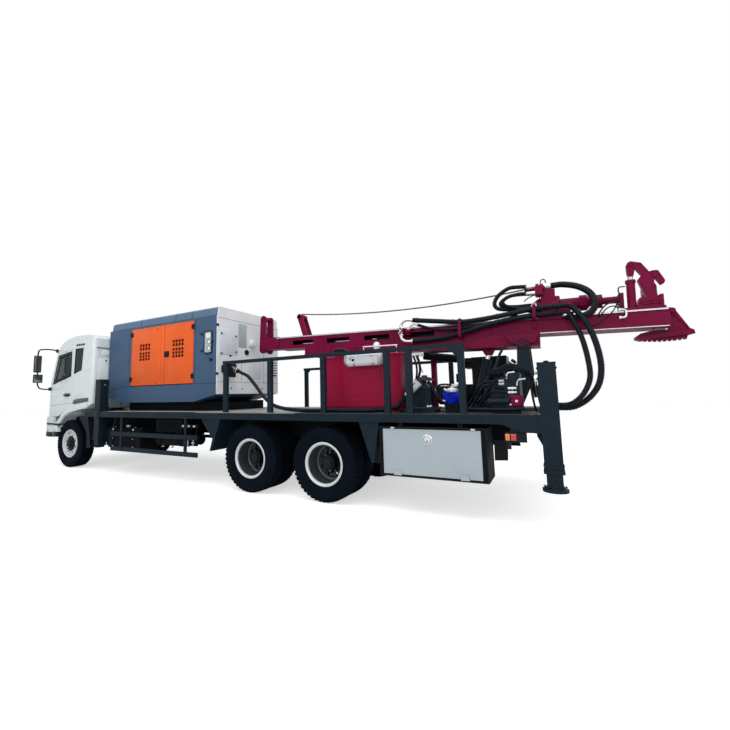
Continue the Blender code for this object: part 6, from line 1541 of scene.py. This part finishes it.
edge = Shape()
for side in (1, -1):
    edge.block(-2.7, 2.54, side * 1.2502, side * 1.253, 1.232, 1.2395)
for x in (-0.44, 0.6, 1.6):
    for y in (-0.9, 0.2, 0.9):
        edge.block(x - 0.003, x + 0.003, y - 0.3, y + 0.3, 1.2402, 1.242)
put("deck_weld_lines", edge, "deck")
tell()

# %% [markdown]
# Two wrapped hoses and a thin one run along the mast. They are drawn in the mast's frame and ride on it, so
# that they lift with it, and they end exactly where the two cords begin.

# %% Hoses along the mast
HOSE_Y = 0.3


def along_mast(points):
    return [MAST @ Vector(p) for p in points]


upper_run = [(1.51, HOSE_Y, 0.443), (1.13, HOSE_Y, 0.394), (0.79, HOSE_Y, 0.356), (0.47, HOSE_Y, 0.372),
    (0.16, 0.295, 0.412), (-0.1, 0.29, 0.452), (-0.25, 0.29, 0.463), (-0.35, 0.29, 0.465)]
lower_run = [(1.515, HOSE_Y, 0.117), (1.206, HOSE_Y, 0.127), (0.93, HOSE_Y, 0.163), (0.66, HOSE_Y, 0.228),
    (0.41, HOSE_Y, 0.288), (0.16, 0.295, 0.336), (-0.1, 0.29, 0.366), (-0.25, 0.29, 0.374),
    (-0.35, 0.29, 0.375)]
thin_run = [(1.43, 0.29, 0.366), (1.21, 0.29, 0.29), (0.93, 0.285, 0.262), (0.66, 0.275, 0.282),
    (0.45, 0.246, 0.298), (0.25, 0.238, 0.33), (0.05, 0.238, 0.4)]
bundle = Shape()
wraps = Shape()
for run, r, pitch in ((upper_run, 0.0345, 0.03), (lower_run, 0.0345, 0.03), (thin_run, 0.021, 0.0)):
    line = smooth_line(along_mast(run), 0.04)
    bundle.tube(line, r, 12)
    if pitch:
        coil = spiral([p - back for p in line], r + 0.0005, pitch, 0.01, 12)
        wraps.join(coil)
put("mast_hose_bundle", bundle, "hose", "mast", smooth=60, replaces=("mast_hoses",))
put("mast_hose_wraps", wraps, "hose", "mast", smooth=60)
tell()

# %% [markdown]
# Silver elbows turn the hoses into a manifold, and crimson straps hold them. An elbow is a short smooth line
# with a nut at each end: a six-sided tube slightly thicker than the pipe.

# %% Elbows and straps
elbows = Shape()
for line in (
        [(1.5, HOSE_Y, 0.442), (1.6, HOSE_Y, 0.453), (1.66, HOSE_Y, 0.432), (1.69, HOSE_Y, 0.385),
            (1.692, HOSE_Y, 0.33)],
        [(1.505, HOSE_Y, 0.117), (1.6, HOSE_Y, 0.118), (1.66, HOSE_Y, 0.14), (1.69, HOSE_Y, 0.185),
            (1.692, HOSE_Y, 0.24)],
        [(1.425, 0.29, 0.365), (1.5, 0.29, 0.378), (1.56, 0.29, 0.34), (1.575, 0.29, 0.29)]):
    smooth = smooth_line(along_mast(line), 0.02)
    thick = 0.024 if line[0][2] != 0.365 else 0.016
    elbows.tube(smooth, thick, 14)
    for first in (0, len(smooth) - 2):
        elbows.tube(smooth[first:first + 2], thick * 1.5, 6)
    elbows.tube([smooth[0], smooth[0].lerp(smooth[1], 0.3)], thick * 1.62, 14)
put("mast_hose_elbows", elbows, "zinc", "mast", smooth=35)

manifold = Shape(MAST)
manifold.block(1.65, 1.734, 0.255, 0.336, 0.238, 0.332)
manifold.block(1.545, 1.606, 0.252, 0.32, 0.255, 0.3)
manifold.block(1.56, 1.72, 0.2125, 0.256, 0.225, 0.32)
put("mast_manifold", manifold, "crimson", "mast", chamfer=0.006)

caps = Shape(MAST)
for a in (1.668, 1.716):
    for n in (0.256, 0.314):
        caps.bolt("Y", (a, 0.336, n), 0.016, 0.01)
caps.cap("Y", (1.692, 0, 0.285), 0.336, 0.018, 0.352, 0.016, 6)
put("mast_manifold_bolts", caps, "zinc", "mast")

straps = Shape(MAST)
for a, low, high in ((0.806, 0.12, 0.405), (-0.15, 0.312, 0.512)):
    strap = flat_ring(rounded(0.2125, 0.352, low, high, 0.03), rounded(0.2225, 0.344, low + 0.008,
        high - 0.008, 0.024), a - 0.02, a + 0.02, "X")
    straps.join(strap)
straps.block(-0.17, -0.13, 0.2125, 0.2225, 0.2, 0.33)
put("mast_hose_straps", straps, "crimson", "mast", chamfer=0.002)

bands = Shape()
for run in (upper_run, lower_run):
    line = smooth_line(along_mast(run), 0.01)
    for k in (6, 60, 120):
        bands.tube(line[k:k + 3], 0.0405, 16)
put("mast_hose_bands", bands, "black", "mast", smooth=50)
tell()

# %% [markdown]
# The head slides on bright strips, moved by a long cylinder that shows through the beam's slots. Gussets and
# bars stiffen the cradle. One list of stations places them on both sides, because the mast is symmetrical.

# %% Guides, feed and stiffeners
strips = Shape(MAST)
for side in (1, -1):
    strips.block(-1.545, 4.185, side * 0.2121, side * 0.2148, 0.33, 0.3485)
    strips.block(-1.545, -0.21, side * 0.2001, side * 0.203, 0.132, 0.142)
put("mast_guide_strips", strips, "steel", "mast")

feed = Shape(MAST)
feed.tube([(-1.3, 0, 0.232), (2.2, 0, 0.232)], 0.05, 20)
for a in (-1.3, 0.45, 2.17):
    feed.tube([(a, 0, 0.232), (a + 0.04, 0, 0.232)], 0.06, 20)
put("mast_feed_cylinder", feed, "frame", "mast", smooth=50)

feed_rod = Shape(MAST)
feed_rod.tube([(2.15, 0, 0.232), (4.12, 0, 0.232)], 0.03, 18)
put("mast_feed_rod", feed_rod, "chrome", "mast", smooth=50)

plates = Shape(MAST)
for side in (1, -1):
    for a in (0.75, 1.55, 2.3, 3.05):
        plates.prism([(a - 0.07, -0.028), (a + 0.07, -0.028), (a + 0.03, 0.12), (a - 0.03, 0.12)],
            side * 0.2301, side * 0.238)
    for a in (-1.1, -0.62, 0.4, 1.12, 1.84, 2.56, 3.28):
        plates.block(a - 0.006, a + 0.006, side * 0.2002, side * 0.2045, 0.14, 0.322)
    plates.block(3.46, 3.52, side * 0.2301, side * 0.24, -0.026, 0.125)
    plates.block(4.12, 4.195, side * 0.2002, side * 0.21, 0.14, 0.322)
put("mast_stiffeners", plates, "crimson", "mast", chamfer=0.002)

bolts = Shape(MAST)
for side in (1, -1):
    for a in (0.3, 0.95, 1.35, 1.75, 2.1, 2.5, 2.85, 3.25):
        bolts.bolt("Y", (a, side * 0.2301, 0.075), 0.02, side * 0.012)
    for n in (0.165, 0.23, 0.295):
        bolts.bolt("Y", (4.157, side * 0.21, n), 0.018, side * 0.01)
    for n in (0.01, 0.09):
        bolts.bolt("Y", (3.49, side * 0.24, n), 0.018, side * 0.01)
put("mast_bolts", bolts, "crimson", "mast")
tell()

# %% [markdown]
# Round caps close the big pivot pins and the pulleys' axles. They are turned parts, set just outside the
# solids they close, so that no two faces share a plane.

# %% Pivot caps and pulleys
caps = Shape(MAST)
for side in (1, -1):
    caps.band("Y", (0, 0, 0), side * 0.3745, side * 0.38, 0.044, 0.057, 32)
    caps.cap("Y", (0, 0, 0), side * 0.3745, 0.02, side * 0.384, 0.018, 20)
    for u, v in around(3, 0.034, 0.25):
        caps.bolt("Y", (u, side * 0.3748, v), 0.011, side * 0.006)
put("pivot_caps", caps, "black", "mast")

sheaves = Shape(MAST)
for a, n, r in ((4.585, 0.76, 0.05), (4.585, 0.15, 0.058)):
    for side in (1, -1):
        sheaves.cap("Y", (a, 0, n), side * 0.1252, r * 0.8, side * 0.136, r * 0.74, 24)
        sheaves.bolt("Y", (a, side * 0.136, n), 0.03, side * 0.014)
for side in (1, -1):
    sheaves.cap("Y", (3.745, 0, 0.73), side * 0.0902, 0.034, side * 0.1, 0.03, 20)
put("mast_sheave_caps", sheaves, "crimson", "mast", smooth=35)
tell()

# %% [markdown]
# A steel rope runs from the front pulley to the head with a slight sag. The CAD rope stays with the mast and
# is hidden, and this one takes its place on no body. Its ends are measured from the solid.

# %% Hoist rope
rope_node = nodes["hoist_rope"]
rope_spots = [rope_node.matrix_world @ v.co for v in rope_node.data.vertices]
front_x, rear_x = max(p.x for p in rope_spots), min(p.x for p in rope_spots)
ends = []
for x in (front_x, rear_x):
    near = [p for p in rope_spots if abs(p.x - x) < 0.02]
    ends.append(sum(near, Vector()) / len(near) + back)
SAG = 0.11
sagging = [ends[0].lerp(ends[1], k / 12) - Vector((0, 0, SAG * (1 - (2 * k / 12 - 1) ** 2)))
    for k in range(13)]
rope_line = smooth_line(sagging, 0.05)
rope = Shape().tube(rope_line, 0.0105, 8)
lay = spiral([p - back for p in rope_line], 0.0105, 0.05, 0.009, 8)
rope.join(lay)
rope_piece = put("hoist_rope_laid", rope, "rope", None, smooth=60, replaces=("hoist_rope",))
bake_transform(rope_piece)
tell()

# %% [markdown]
# Three wrapped hoses bow out in front of the rotary head and a thick one arches over behind it. They travel
# with the head. A fitting is a tube with a hexagon and a collar laid between two points, so that one rule
# makes them all.

# %% Hoses on the head
HEAD = "rotary_head"
head_hoses = Shape()
front_hoses = (
    ([(-0.11, 0.12, 0.8), (0.03, 0.125, 0.812), (0.162, 0.125, 0.808), (0.3, 0.125, 0.715),
        (0.352, 0.125, 0.605), (0.3, 0.125, 0.53), (0.113, 0.125, 0.503), (-0.06, 0.125, 0.509),
        (-0.165, 0.12, 0.512)], 0.027),
    ([(-0.11, 0.045, 0.715), (0.04, 0.05, 0.722), (0.166, 0.06, 0.705), (0.27, 0.07, 0.63),
        (0.255, 0.075, 0.575), (0.082, 0.075, 0.548), (-0.06, 0.07, 0.55), (-0.165, 0.06, 0.552)], 0.025),
    ([(-0.11, 0.185, 0.69), (0.02, 0.19, 0.7), (0.16, 0.185, 0.675), (0.235, 0.18, 0.615),
        (0.2, 0.175, 0.555), (0.06, 0.165, 0.505), (-0.08, 0.15, 0.455), (-0.17, 0.135, 0.44)], 0.021),
)
for run, r in front_hoses:
    line = smooth_line(along_mast(run), 0.03)
    head_hoses.tube(line, r, 12)
    coil = spiral([p - back for p in line], r + 0.0005, 0.024, 0.008, 10)
    head_hoses.join(coil)
put("head_front_hoses", head_hoses, "hose", HEAD, smooth=60)
arch_run = [(-0.345, 0.06, 0.795), (-0.43, 0.075, 0.795), (-0.507, 0.1, 0.786), (-0.652, 0.17, 0.728),
    (-0.765, 0.215, 0.64), (-0.822, 0.245, 0.535), (-0.828, 0.262, 0.44), (-0.79, 0.268, 0.365),
    (-0.7, 0.266, 0.318), (-0.6, 0.264, 0.3), (-0.54, 0.262, 0.318), (-0.505, 0.262, 0.35)]
arch_line = smooth_line(along_mast(arch_run), 0.03)
arch = Shape().tube(arch_line, 0.0385, 14)
coil = spiral([p - back for p in arch_line], 0.039, 0.028, 0.01, 12)
arch.join(coil)
put("head_arch_hose", arch, "hose", HEAD, smooth=60)

fittings = Shape()
for start, end, r in (
        ((-0.17, 0.12, 0.8), (-0.06, 0.12, 0.801), 0.03),
        ((-0.17, 0.045, 0.715), (-0.06, 0.046, 0.716), 0.028),
        ((-0.17, 0.185, 0.69), (-0.06, 0.186, 0.692), 0.024),
        ((-0.185, 0.12, 0.512), (-0.11, 0.121, 0.511), 0.03),
        ((-0.185, 0.06, 0.552), (-0.11, 0.062, 0.551), 0.028)):
    a, b = (MAST @ Vector(start), MAST @ Vector(end))
    fittings.tube([a, b], r, 14)
    fittings.tube([a.lerp(b, 0.1), a.lerp(b, 0.35)], r * 1.22, 6)
    fittings.tube([a.lerp(b, 0.62), a.lerp(b, 0.8)], r * 1.14, 14)
a, b = MAST @ Vector((-0.262, 0.052, 0.792)), MAST @ Vector((-0.362, 0.062, 0.795))
fittings.tube([a, b], 0.046, 18)
fittings.tube([a.lerp(b, 0.15), a.lerp(b, 0.4)], 0.054, 6)
a, b = MAST @ Vector((-0.5, 0.262, 0.366)), MAST @ Vector((-0.512, 0.262, 0.335))
fittings.tube([a, b], 0.043, 18)
put("head_fittings", fittings, "zinc", HEAD, smooth=35)
tell()

# %% [markdown]
# Hose blocks, an elbow and gussets are cast or welded on the head. They get a wide bevel like castings, and
# rings of bolts hold the flanges.

# %% Castings and bolts of the head
head_cast = Shape(MAST)
head_cast.block(-0.262, -0.17, 0.035, 0.215, 0.655, 0.745)
head_cast.block(-0.29, -0.165, -0.06, 0.16, 0.742, 0.79)
head_cast.tube([(-0.29, 0.052, 0.792), (-0.225, 0.045, 0.792)], 0.05, 16)
head_cast.block(-0.285, -0.185, 0.085, 0.15, 0.49, 0.565)
head_cast.block(-0.53, -0.47, 0.2452, 0.27, 0.34, 0.3855)
for a0, a1 in ((-0.395, -0.375), (-0.62, -0.6)):
    head_cast.prism([(0.12, 0.388), (0.214, 0.388), (0.12, 0.47)], a0, a1, "X")
    head_cast.prism([(-0.12, 0.388), (-0.214, 0.388), (-0.12, 0.47)], a0, a1, "X")
put("head_castings", head_cast, "crimson", HEAD, chamfer=0.006)

head_bolts = Shape(MAST)
for u, v in around(8, 0.104, 0.5):
    head_bolts.bolt("X", (-0.45, u, 0.533 + v), 0.018, -0.012)
for side in (1, -1):
    for a in (-0.545, -0.44, -0.335, -0.235):
        head_bolts.bolt("Y", (a, side * 0.2452, 0.362), 0.016, side * 0.01)
for y in (-0.085, 0.0, 0.085):
    for n in (0.6, 0.69):
        head_bolts.bolt("X", (-0.235, y, n), 0.018, 0.012)
put("head_bolts", head_bolts, "crimson", HEAD)

head_lines = Shape()
for run in (
        [(-0.3, 0.06, 0.845), (-0.295, 0.075, 0.88), (-0.265, 0.085, 0.892), (-0.24, 0.085, 0.87),
            (-0.238, 0.08, 0.838)],
        [(-0.225, 0.121, 0.612), (-0.205, 0.16, 0.65), (-0.15, 0.15, 0.665), (-0.06, 0.12, 0.63),
            (-0.03, 0.1, 0.6)],
        [(-0.42, 0.082, 0.52), (-0.43, 0.13, 0.48), (-0.44, 0.16, 0.43), (-0.445, 0.2, 0.392)]):
    head_lines.tube(smooth_line(along_mast(run), 0.015), 0.007, 8)
put("head_lines", head_lines, "black", HEAD, smooth=60)
tell()

# %% [markdown]
# The clamp grips the drill rods at the mast's foot, and thin black lines feed it. They are the only loose
# forms there, so their bends follow the photograph closely.

# %% Lines of the rod clamp
clamp_lines = Shape()
for run, r in (
        ([(-1.15, 0.214, 0.646), (-1.11, 0.216, 0.648), (-1.085, 0.218, 0.64), (-1.079, 0.22, 0.61),
            (-1.083, 0.222, 0.548), (-1.06, 0.228, 0.45), (-1.011, 0.232, 0.352), (-0.928, 0.234, 0.262),
            (-0.818, 0.23, 0.19), (-0.79, 0.214, 0.18)], 0.0075),
        ([(-0.86, 0.216, 0.31), (-0.881, 0.23, 0.358), (-0.937, 0.24, 0.43), (-1.006, 0.24, 0.461),
            (-1.062, 0.238, 0.436), (-1.089, 0.236, 0.392), (-1.096, 0.236, 0.365)], 0.009),
        ([(-0.87, 0.216, 0.29), (-0.905, 0.236, 0.34), (-0.965, 0.244, 0.4), (-1.03, 0.243, 0.41),
            (-1.075, 0.24, 0.375)], 0.0075)):
    clamp_lines.tube(smooth_line(along_mast(run), 0.02), r, 8)
put("clamp_lines", clamp_lines, "black", "mast", smooth=60)

clamp_elbow = Shape()
clamp_elbow.tube(smooth_line(along_mast([(-1.08, 0.236, 0.362), (-1.12, 0.236, 0.36), (-1.138, 0.236, 0.34),
    (-1.138, 0.236, 0.285), (-1.12, 0.236, 0.265), (-1.072, 0.236, 0.266)]), 0.01), 0.0125, 10)
for spot in ((-1.09, 0.236, 0.362), (-1.09, 0.236, 0.266)):
    centre = MAST @ Vector(spot)
    clamp_elbow.tube([centre, centre + Vector((0.022, 0, 0))], 0.02, 6)
put("clamp_elbow", clamp_elbow, "zinc", "mast", smooth=40)
tell()

# %% [markdown]
# Pins, bolts and a raised edge finish the clamp's arched arm. The toothed spade below has pin caps and two
# slanting ribs on each face, and the ribs ride on the spade.

# %% Clamp and foot spade
clamp_parts = Shape(MAST)
for a in (-1.3, -1.395, -1.47):
    clamp_parts.bolt("Y", (a, 0.1952, 0.43), 0.02, 0.012)
for a in (-1.505, -1.125):
    for y in (-0.17, 0.18):
        clamp_parts.bolt("Z", (a, y, 0.3813), 0.024, 0.014)
clamp_parts.cap("Y", (-1.222, 0, 0.915), 0.187, 0.024, 0.2, 0.022, 18)
clamp_parts.cap("Y", (-1.445, 0, 0.76), 0.187, 0.026, 0.202, 0.023, 18)
clamp_parts.cap("Y", (-1.505, 0, 0.675), 0.187, 0.022, 0.198, 0.02, 18)
clamp_parts.block(-1.47, -1.36, 0.1, 0.124, 0.5, 0.64)
put("clamp_bolts", clamp_parts, "crimson", "mast")

clamp_arms = Shape(MAST)
second = [(-1.192, 0.77), (-1.182, 0.81), (-1.178, 0.914), (-1.194, 0.948), (-1.224, 0.962), (-1.325, 0.93),
    (-1.397, 0.81), (-1.439, 0.818), (-1.482, 0.814), (-1.542, 0.683), (-1.532, 0.652), (-1.501, 0.636),
    (-1.446, 0.728), (-1.438, 0.69), (-1.45, 0.56), (-1.354, 0.56), (-1.28, 0.719), (-1.322, 0.774),
    (-1.263, 0.869), (-1.251, 0.8), (-1.242, 0.77)]
clamp_arms.join(flat_ring(offset(second, -0.004), offset(second, -0.016), 0.1865, 0.1905))
put("clamp_arm_edge", clamp_arms, "crimson", "mast")
put("clamp_rod", Shape(MAST).tube([(-1.214, 0.155, 0.728), (-1.214, 0.155, 0.8)], 0.0288, 18), "steel",
    "mast", smooth=50)

spade = Shape(MAST)
for side in (1, -1):
    spade.cap("Y", (-1.61, 0, 0.335), side * 0.0712, 0.026, side * 0.08, 0.024, 20)
put("spade_pin_caps", spade, "crimson", "mast")

spade_face = Shape(MAST)
for side in (1, -1):
    spade_face.prism([(-1.76, 0.11), (-1.745, 0.112), (-1.625, 0.29), (-1.64, 0.29)], side * 0.0301,
        side * 0.042)
    spade_face.prism([(-1.42, 0.118), (-1.435, 0.122), (-1.595, 0.29), (-1.58, 0.29)], side * 0.0301,
        side * 0.042)
put("spade_ribs", spade_face, "crimson", "foot_spade", chamfer=0.003)
tell()

# %% [markdown]
# Three lamps share a frame under the deck's rear end. Fine ribs on the lenses scatter light as moulded
# plastic does. A ribbed rubber flap hangs behind the wheels.

# %% Tail lamps and flaps
for name, x0, x1, key in (
        ("tail_lamp_amber", -2.429, -2.384, "amber"),
        ("tail_lamp_red", -2.496, -2.44, "red_lamp"),
        ("tail_lamp_dark", -2.59, -2.508, "black")):
    lens = Shape().prism([(x0, 0.948), (x1, 0.948), (x1, 1.022), (x0, 1.022)], 1.1998, 1.2085)
    for k in range(5):
        z = 0.958 + 0.012 * k
        lens.block(x0 + 0.004, x1 - 0.004, 1.2085, 1.21, z, z + 0.005)
    pair(name, lens, key, chamfer=0.002)
rims = Shape()
shell = flat_ring(rounded(-2.602, -2.376, 0.94, 1.03, 0.01, 2), rounded(-2.594, -2.384, 0.948, 1.022, 0.006,
    2), 1.2002, 1.2105)
rims.join(shell)
rims.block(-2.437, -2.431, 1.2002, 1.2105, 0.948, 1.022)
rims.block(-2.506, -2.498, 1.2002, 1.2105, 0.948, 1.022)
pair("tail_lamp_frames", rims, "black")

flap = Shape()
flap.prism([(-2.24, 0.914), (-2.236, 0.692), (-2.38, 0.7), (-2.39, 0.909)], 1.02, 1.032)
for k in range(9):
    z = 0.71 + 0.022 * k
    flap.block(-2.376, -2.244, 1.032, 1.036, z, z + 0.009)
flap.block(-2.392, -2.238, 1.014, 1.04, 0.902, 0.926)
pair("rear_flaps", flap, "rubber")
tell()

# %% [markdown]
# The locker's drop-down door has a round chrome latch and a folded edge. They ride on the door, and the
# catches above it stay on the locker.

# %% Tool locker
latch = Shape()
latch.turned([(1.2222, 0.05), (1.2222, 0.06), (1.23, 0.06), (1.2345, 0.052), (1.2345, 0.05)], "Y",
    (-1.5, 0, 0.925), 32)
latch.cap("Y", (-1.5, 0, 0.925), 1.2362, 0.04, 1.24, 0.036, 28)
latch.prism([(-1.53, 0.94), (-1.47, 0.94), (-1.47, 0.956), (-1.49, 0.962), (-1.51, 0.962), (-1.53, 0.956)],
    1.24, 1.248)
put("locker_latch", latch, "chrome", "toolbox_lid", smooth=40)
put("locker_keyhole", Shape().disc("Y", (-1.5, 0, 0.905), 0.009, 1.24, 1.244, 12), "black", "toolbox_lid")

lips = Shape()
lips.join(flat_ring(rounded(-2.123, -0.922, 0.487, 1.043, 0.008, 2), rounded(-2.113, -0.932, 0.497, 1.033,
    0.006, 2), 1.2221, 1.224))
put("locker_lid_edge", lips, "box_grey", "toolbox_lid")

catches = Shape()
for x in (-1.052, -2.041):
    catches.block(x - 0.024, x + 0.024, 1.2222, 1.229, 1.05, 1.068)
    catches.tube([(x - 0.018, 1.232, 1.06), (x + 0.018, 1.232, 1.06)], 0.005, 8)
    catches.bolt("Y", (x - 0.012, 1.229, 1.058), 0.008, 0.004)
put("locker_catches", catches, "silver")

ribs = Shape()
ribs.block(-2.19, -0.87, 1.2222, 1.226, 1.062, 1.074)
ribs.block(-2.19, -0.87, 1.2222, 1.226, 0.456, 0.468)
for x in (-2.185, -0.877):
    ribs.block(x - 0.005, x + 0.005, 1.2222, 1.226, 0.468, 1.062)
put("locker_frame_edge", ribs, "black")
tell()

# %% [markdown]
# Four jacks lift the truck for drilling. Each is a square tube with a collar, a cap, gussets and bolts. The
# trim is drawn once for the rear and once for the front, and mirrored.

# %% Jack housings
REAR = ("rear_jack_left", "rear_jack_right")
FRONT = ("front_jack_left", "front_jack_right")
JACK_REAR, JACK_FRONT, JACK_Y = -2.84, 5.507, 1.16
housing = Shape()
for z in (0.7, 1.74):
    for s in (-1, 1):
        for dy in (-0.055, 0.055):
            housing.bolt("X", (JACK_REAR + s * 0.0902, JACK_Y + dy, z), 0.018, s * 0.01)
housing.block(-2.934, -2.746, 1.066, 1.2505, 1.7902, 1.802)
housing.block(-2.932, -2.748, 1.068, 1.252, 0.668, 0.69)
housing.prism([(-2.748, 1.06), (-2.7, 1.06), (-2.7, 1.1), (-2.748, 1.2)], 1.14, 1.156)
housing.prism([(-2.748, 1.06), (-2.7, 1.06), (-2.7, 1.0), (-2.748, 0.9)], 1.14, 1.156)
housing.bolt("Z", (JACK_REAR, JACK_Y, 1.802), 0.045, 0.02)
pair("rear_jack_trim", housing, "frame", chamfer=0.002)

front_trim = Shape()
front_trim.block(5.413, 5.601, 1.066, 1.2505, 1.9052, 1.916)
for z in (0.76, 1.3, 1.84):
    for dx in (-0.055, 0.055):
        front_trim.bolt("Y", (JACK_FRONT + dx, 1.2502, z), 0.018, 0.006)
front_trim.block(5.415, 5.599, 1.2502, 1.254, 1.56, 1.572)
front_trim.block(5.415, 5.599, 1.2502, 1.254, 1.09, 1.24)
pair("front_jack_trim", front_trim, "frame", chamfer=0.001)
tell()

# %% [markdown]
# Thin hoses with zinc fittings feed each jack. A foot's webs are one web turned about the leg's axis, which
# keeps them even. They ride on the legs and go down with them.

# %% Jack hoses and feet
lines = Shape()
for run in (
        [(-2.75, 1.1, 1.69), (-2.7, 1.09, 1.7), (-2.672, 1.08, 1.64), (-2.68, 1.06, 1.45),
            (-2.7, 1.02, 1.29)],
        [(-2.75, 1.19, 1.6), (-2.712, 1.19, 1.606), (-2.69, 1.17, 1.56), (-2.69, 1.12, 1.4),
            (-2.71, 1.05, 1.26)]):
    lines.tube(smooth_line(run, 0.02), 0.011, 8)
for run in ([(5.412, 1.16, 1.8), (5.38, 1.15, 1.8), (5.365, 1.13, 1.72), (5.37, 1.1, 1.4),
        (5.375, 1.08, 1.25)],):
    lines.tube(smooth_line(run, 0.02), 0.011, 8)
pair("jack_hoses", lines, "black", smooth=60)

fits = Shape()
for x, y, z in ((-2.747, 1.1, 1.69), (-2.747, 1.19, 1.6)):
    fits.tube([(x, y, z), (x + 0.03, y, z + 0.004)], 0.016, 6)
fits.tube([(5.415, 1.16, 1.8), (5.392, 1.155, 1.8)], 0.016, 6)
pair("jack_fittings", fits, "zinc")

rear_foot = Shape()
for k in range(6):
    t = 2 * math.pi * k / 6
    rear_foot.bolt("Z", (JACK_REAR + 0.1 * math.cos(t), JACK_Y + 0.1 * math.sin(t), 0.4802), 0.018, 0.01)
    rear_foot.prism([(0.052, 0.481), (0.095, 0.481), (0.052, 0.54)], -0.004, 0.004, "Y",
        Matrix.Translation((JACK_REAR, JACK_Y, 0)) @ Matrix.Rotation(t + 0.5, 4, "Z"))
pair("rear_jack_feet", rear_foot, "frame", REAR)

front_foot = Shape()
for u, v in around(4, 0.07, 0.5):
    front_foot.bolt("Z", (JACK_FRONT + u, JACK_Y + v, 0.5502), 0.016, 0.008)
pair("front_jack_feet", front_foot, "frame", FRONT)
tell()

# %% [markdown]
# The handrail's posts stand on bolted feet. Silver straps hold the fuel tank under the deck's left side, and
# the air bottles beside it have domed ends and bands.

# %% Handrails, fuel tank and air bottles
rail = Shape()
for x in (1.86, 0.93, -0.03, -1.0, -1.3, -1.95):
    rail.block(x - 0.044, x + 0.044, 1.178, 1.25, 1.2402, 1.246)
    rail.bolt("Y", (x - 0.03, 1.2502, 1.2), 0.014, 0.006)
    rail.bolt("Y", (x + 0.03, 1.2502, 1.2), 0.014, 0.006)
for x, s in ((1.832, -1), (-1.922, 1)):
    rail.prism([(x, 2.038), (x, 1.95), (x + s * 0.088, 2.038)], 1.205, 1.213)
pair("handrail_feet", rail, "frame", chamfer=0.001)

guard = Shape()
for z in (0.505, 0.8):
    for x in (2.6, 3.2, 3.8, 4.4, 4.96):
        guard.bolt("Y", (x, 1.2202, z), 0.016, 0.008)
pair("guard_bolts", guard, "frame")

fuel = Shape()
for x in (4.42, 5.08):
    fuel.block(x - 0.02, x + 0.02, 1.1402, 1.145, 0.52, 0.9)
    fuel.bolt("Y", (x, 1.145, 0.7), 0.018, 0.008)
    fuel.block(x - 0.02, x + 0.02, 0.6, 1.1, 0.9202, 0.925)
fuel.turned([(0.9202, 0), (0.9202, 0.044), (0.955, 0.044), (0.962, 0.036), (0.962, 0)], "Z", (4.75, 1.02, 0),
    22, False)
put("fuel_straps", fuel, "silver", chamfer=0.001)

air = Shape()
for y in (0.7, 0.98):
    for x, out in ((3.0, -1), (3.86, 1)):
        air.turned([(x, 0.099), (x + out * 0.018, 0.09), (x + out * 0.034, 0.06), (x + out * 0.04, 0.0),
            (x, 0.0)], "X", (0, y, 0.7), 22, False)
    for x in (3.18, 3.68):
        air.band("X", (0, y, 0.7), x - 0.014, x + 0.014, 0.1003, 0.104, 26)
put("air_bottle_ends", air, "under", smooth=40)
tell()

# %% [markdown]
# A battery box with louvres, drain cocks and air lines hang between the guards. They are small and half
# hidden, but their bright dots break up the dark underside.

# %% Vents, cocks and lines
vent = Shape()
for k in range(6):
    z = 0.885 + 0.03 * k
    vent.prism([(1.1002, z), (1.112, z + 0.004), (1.112, z + 0.01), (1.1002, z + 0.02)], 3.14, 3.7, "X")
for z in (0.9, 1.06):
    for x in (3.1, 3.74):
        vent.bolt("Y", (x, 1.1002, z), 0.014, 0.006)
put("battery_box_louvres", vent, "under")

cocks = Shape()
for x, z in ((3.1, 0.575), (3.45, 0.57), (3.72, 0.575)):
    cocks.tube([(x, 0.98, z + 0.03), (x, 0.98, z - 0.01)], 0.012, 8)
    cocks.tube([(x, 1.01, z), (x, 0.95, z)], 0.008, 8)
for x, z in ((2.66, 0.99), (2.8, 0.99), (2.94, 0.99)):
    cocks.turned([(1.15, 0), (1.15, 0.018), (1.18, 0.02), (1.188, 0.012), (1.188, 0)], "Y", (x, 0, z), 16,
        False)
for x, z in ((2.72, 0.7), (2.86, 0.69)):
    cocks.cap("Y", (x, 0, z), 1.12, 0.022, 1.15, 0.022, 16)
    cocks.tube([(x, 1.13, z - 0.06), (x, 1.13, z + 0.05)], 0.008, 8)
put("air_cocks", cocks, "silver", smooth=40)

panel = Shape()
panel.block(2.58, 3.02, 1.11, 1.15, 0.96, 1.025)
panel.block(2.64, 2.94, 1.09, 1.12, 0.64, 0.74)
put("cock_panels", panel, "under", chamfer=0.003)

under_lines = Shape()
for run in (
        [(2.66, 1.1, 0.975), (2.7, 1.08, 0.9), (2.72, 1.09, 0.78), (2.72, 1.11, 0.74)],
        [(2.8, 1.1, 0.975), (2.86, 1.08, 0.88), (2.86, 1.1, 0.76), (2.86, 1.11, 0.735)],
        [(2.94, 1.1, 0.975), (3.02, 1.06, 0.9), (3.06, 1.03, 0.76), (3.1, 0.99, 0.62)],
        [(3.86, 0.98, 0.7), (3.96, 0.99, 0.72), (4.05, 0.95, 0.86), (4.16, 0.9, 0.96)]):
    under_lines.tube(smooth_line(run, 0.03), 0.008, 8)
put("air_lines", under_lines, "black", smooth=60)

mount = Shape()
for x in (2.53, 3.1, 3.9, 4.6):
    mount.bolt("Y", (x, 0.4302, 0.94), 0.022, 0.012)
    mount.bolt("Y", (x, 0.4302, 0.86), 0.022, 0.012)
pair("frame_bolts", mount, "under")
tell()

# %% [markdown] The last step measures what was made.

# %% Close
size = {"cad": [list(v) for v in box_at_load], "visual": [list(v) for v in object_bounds()]}
print("CAD box", size["cad"], "visual box", size["visual"])
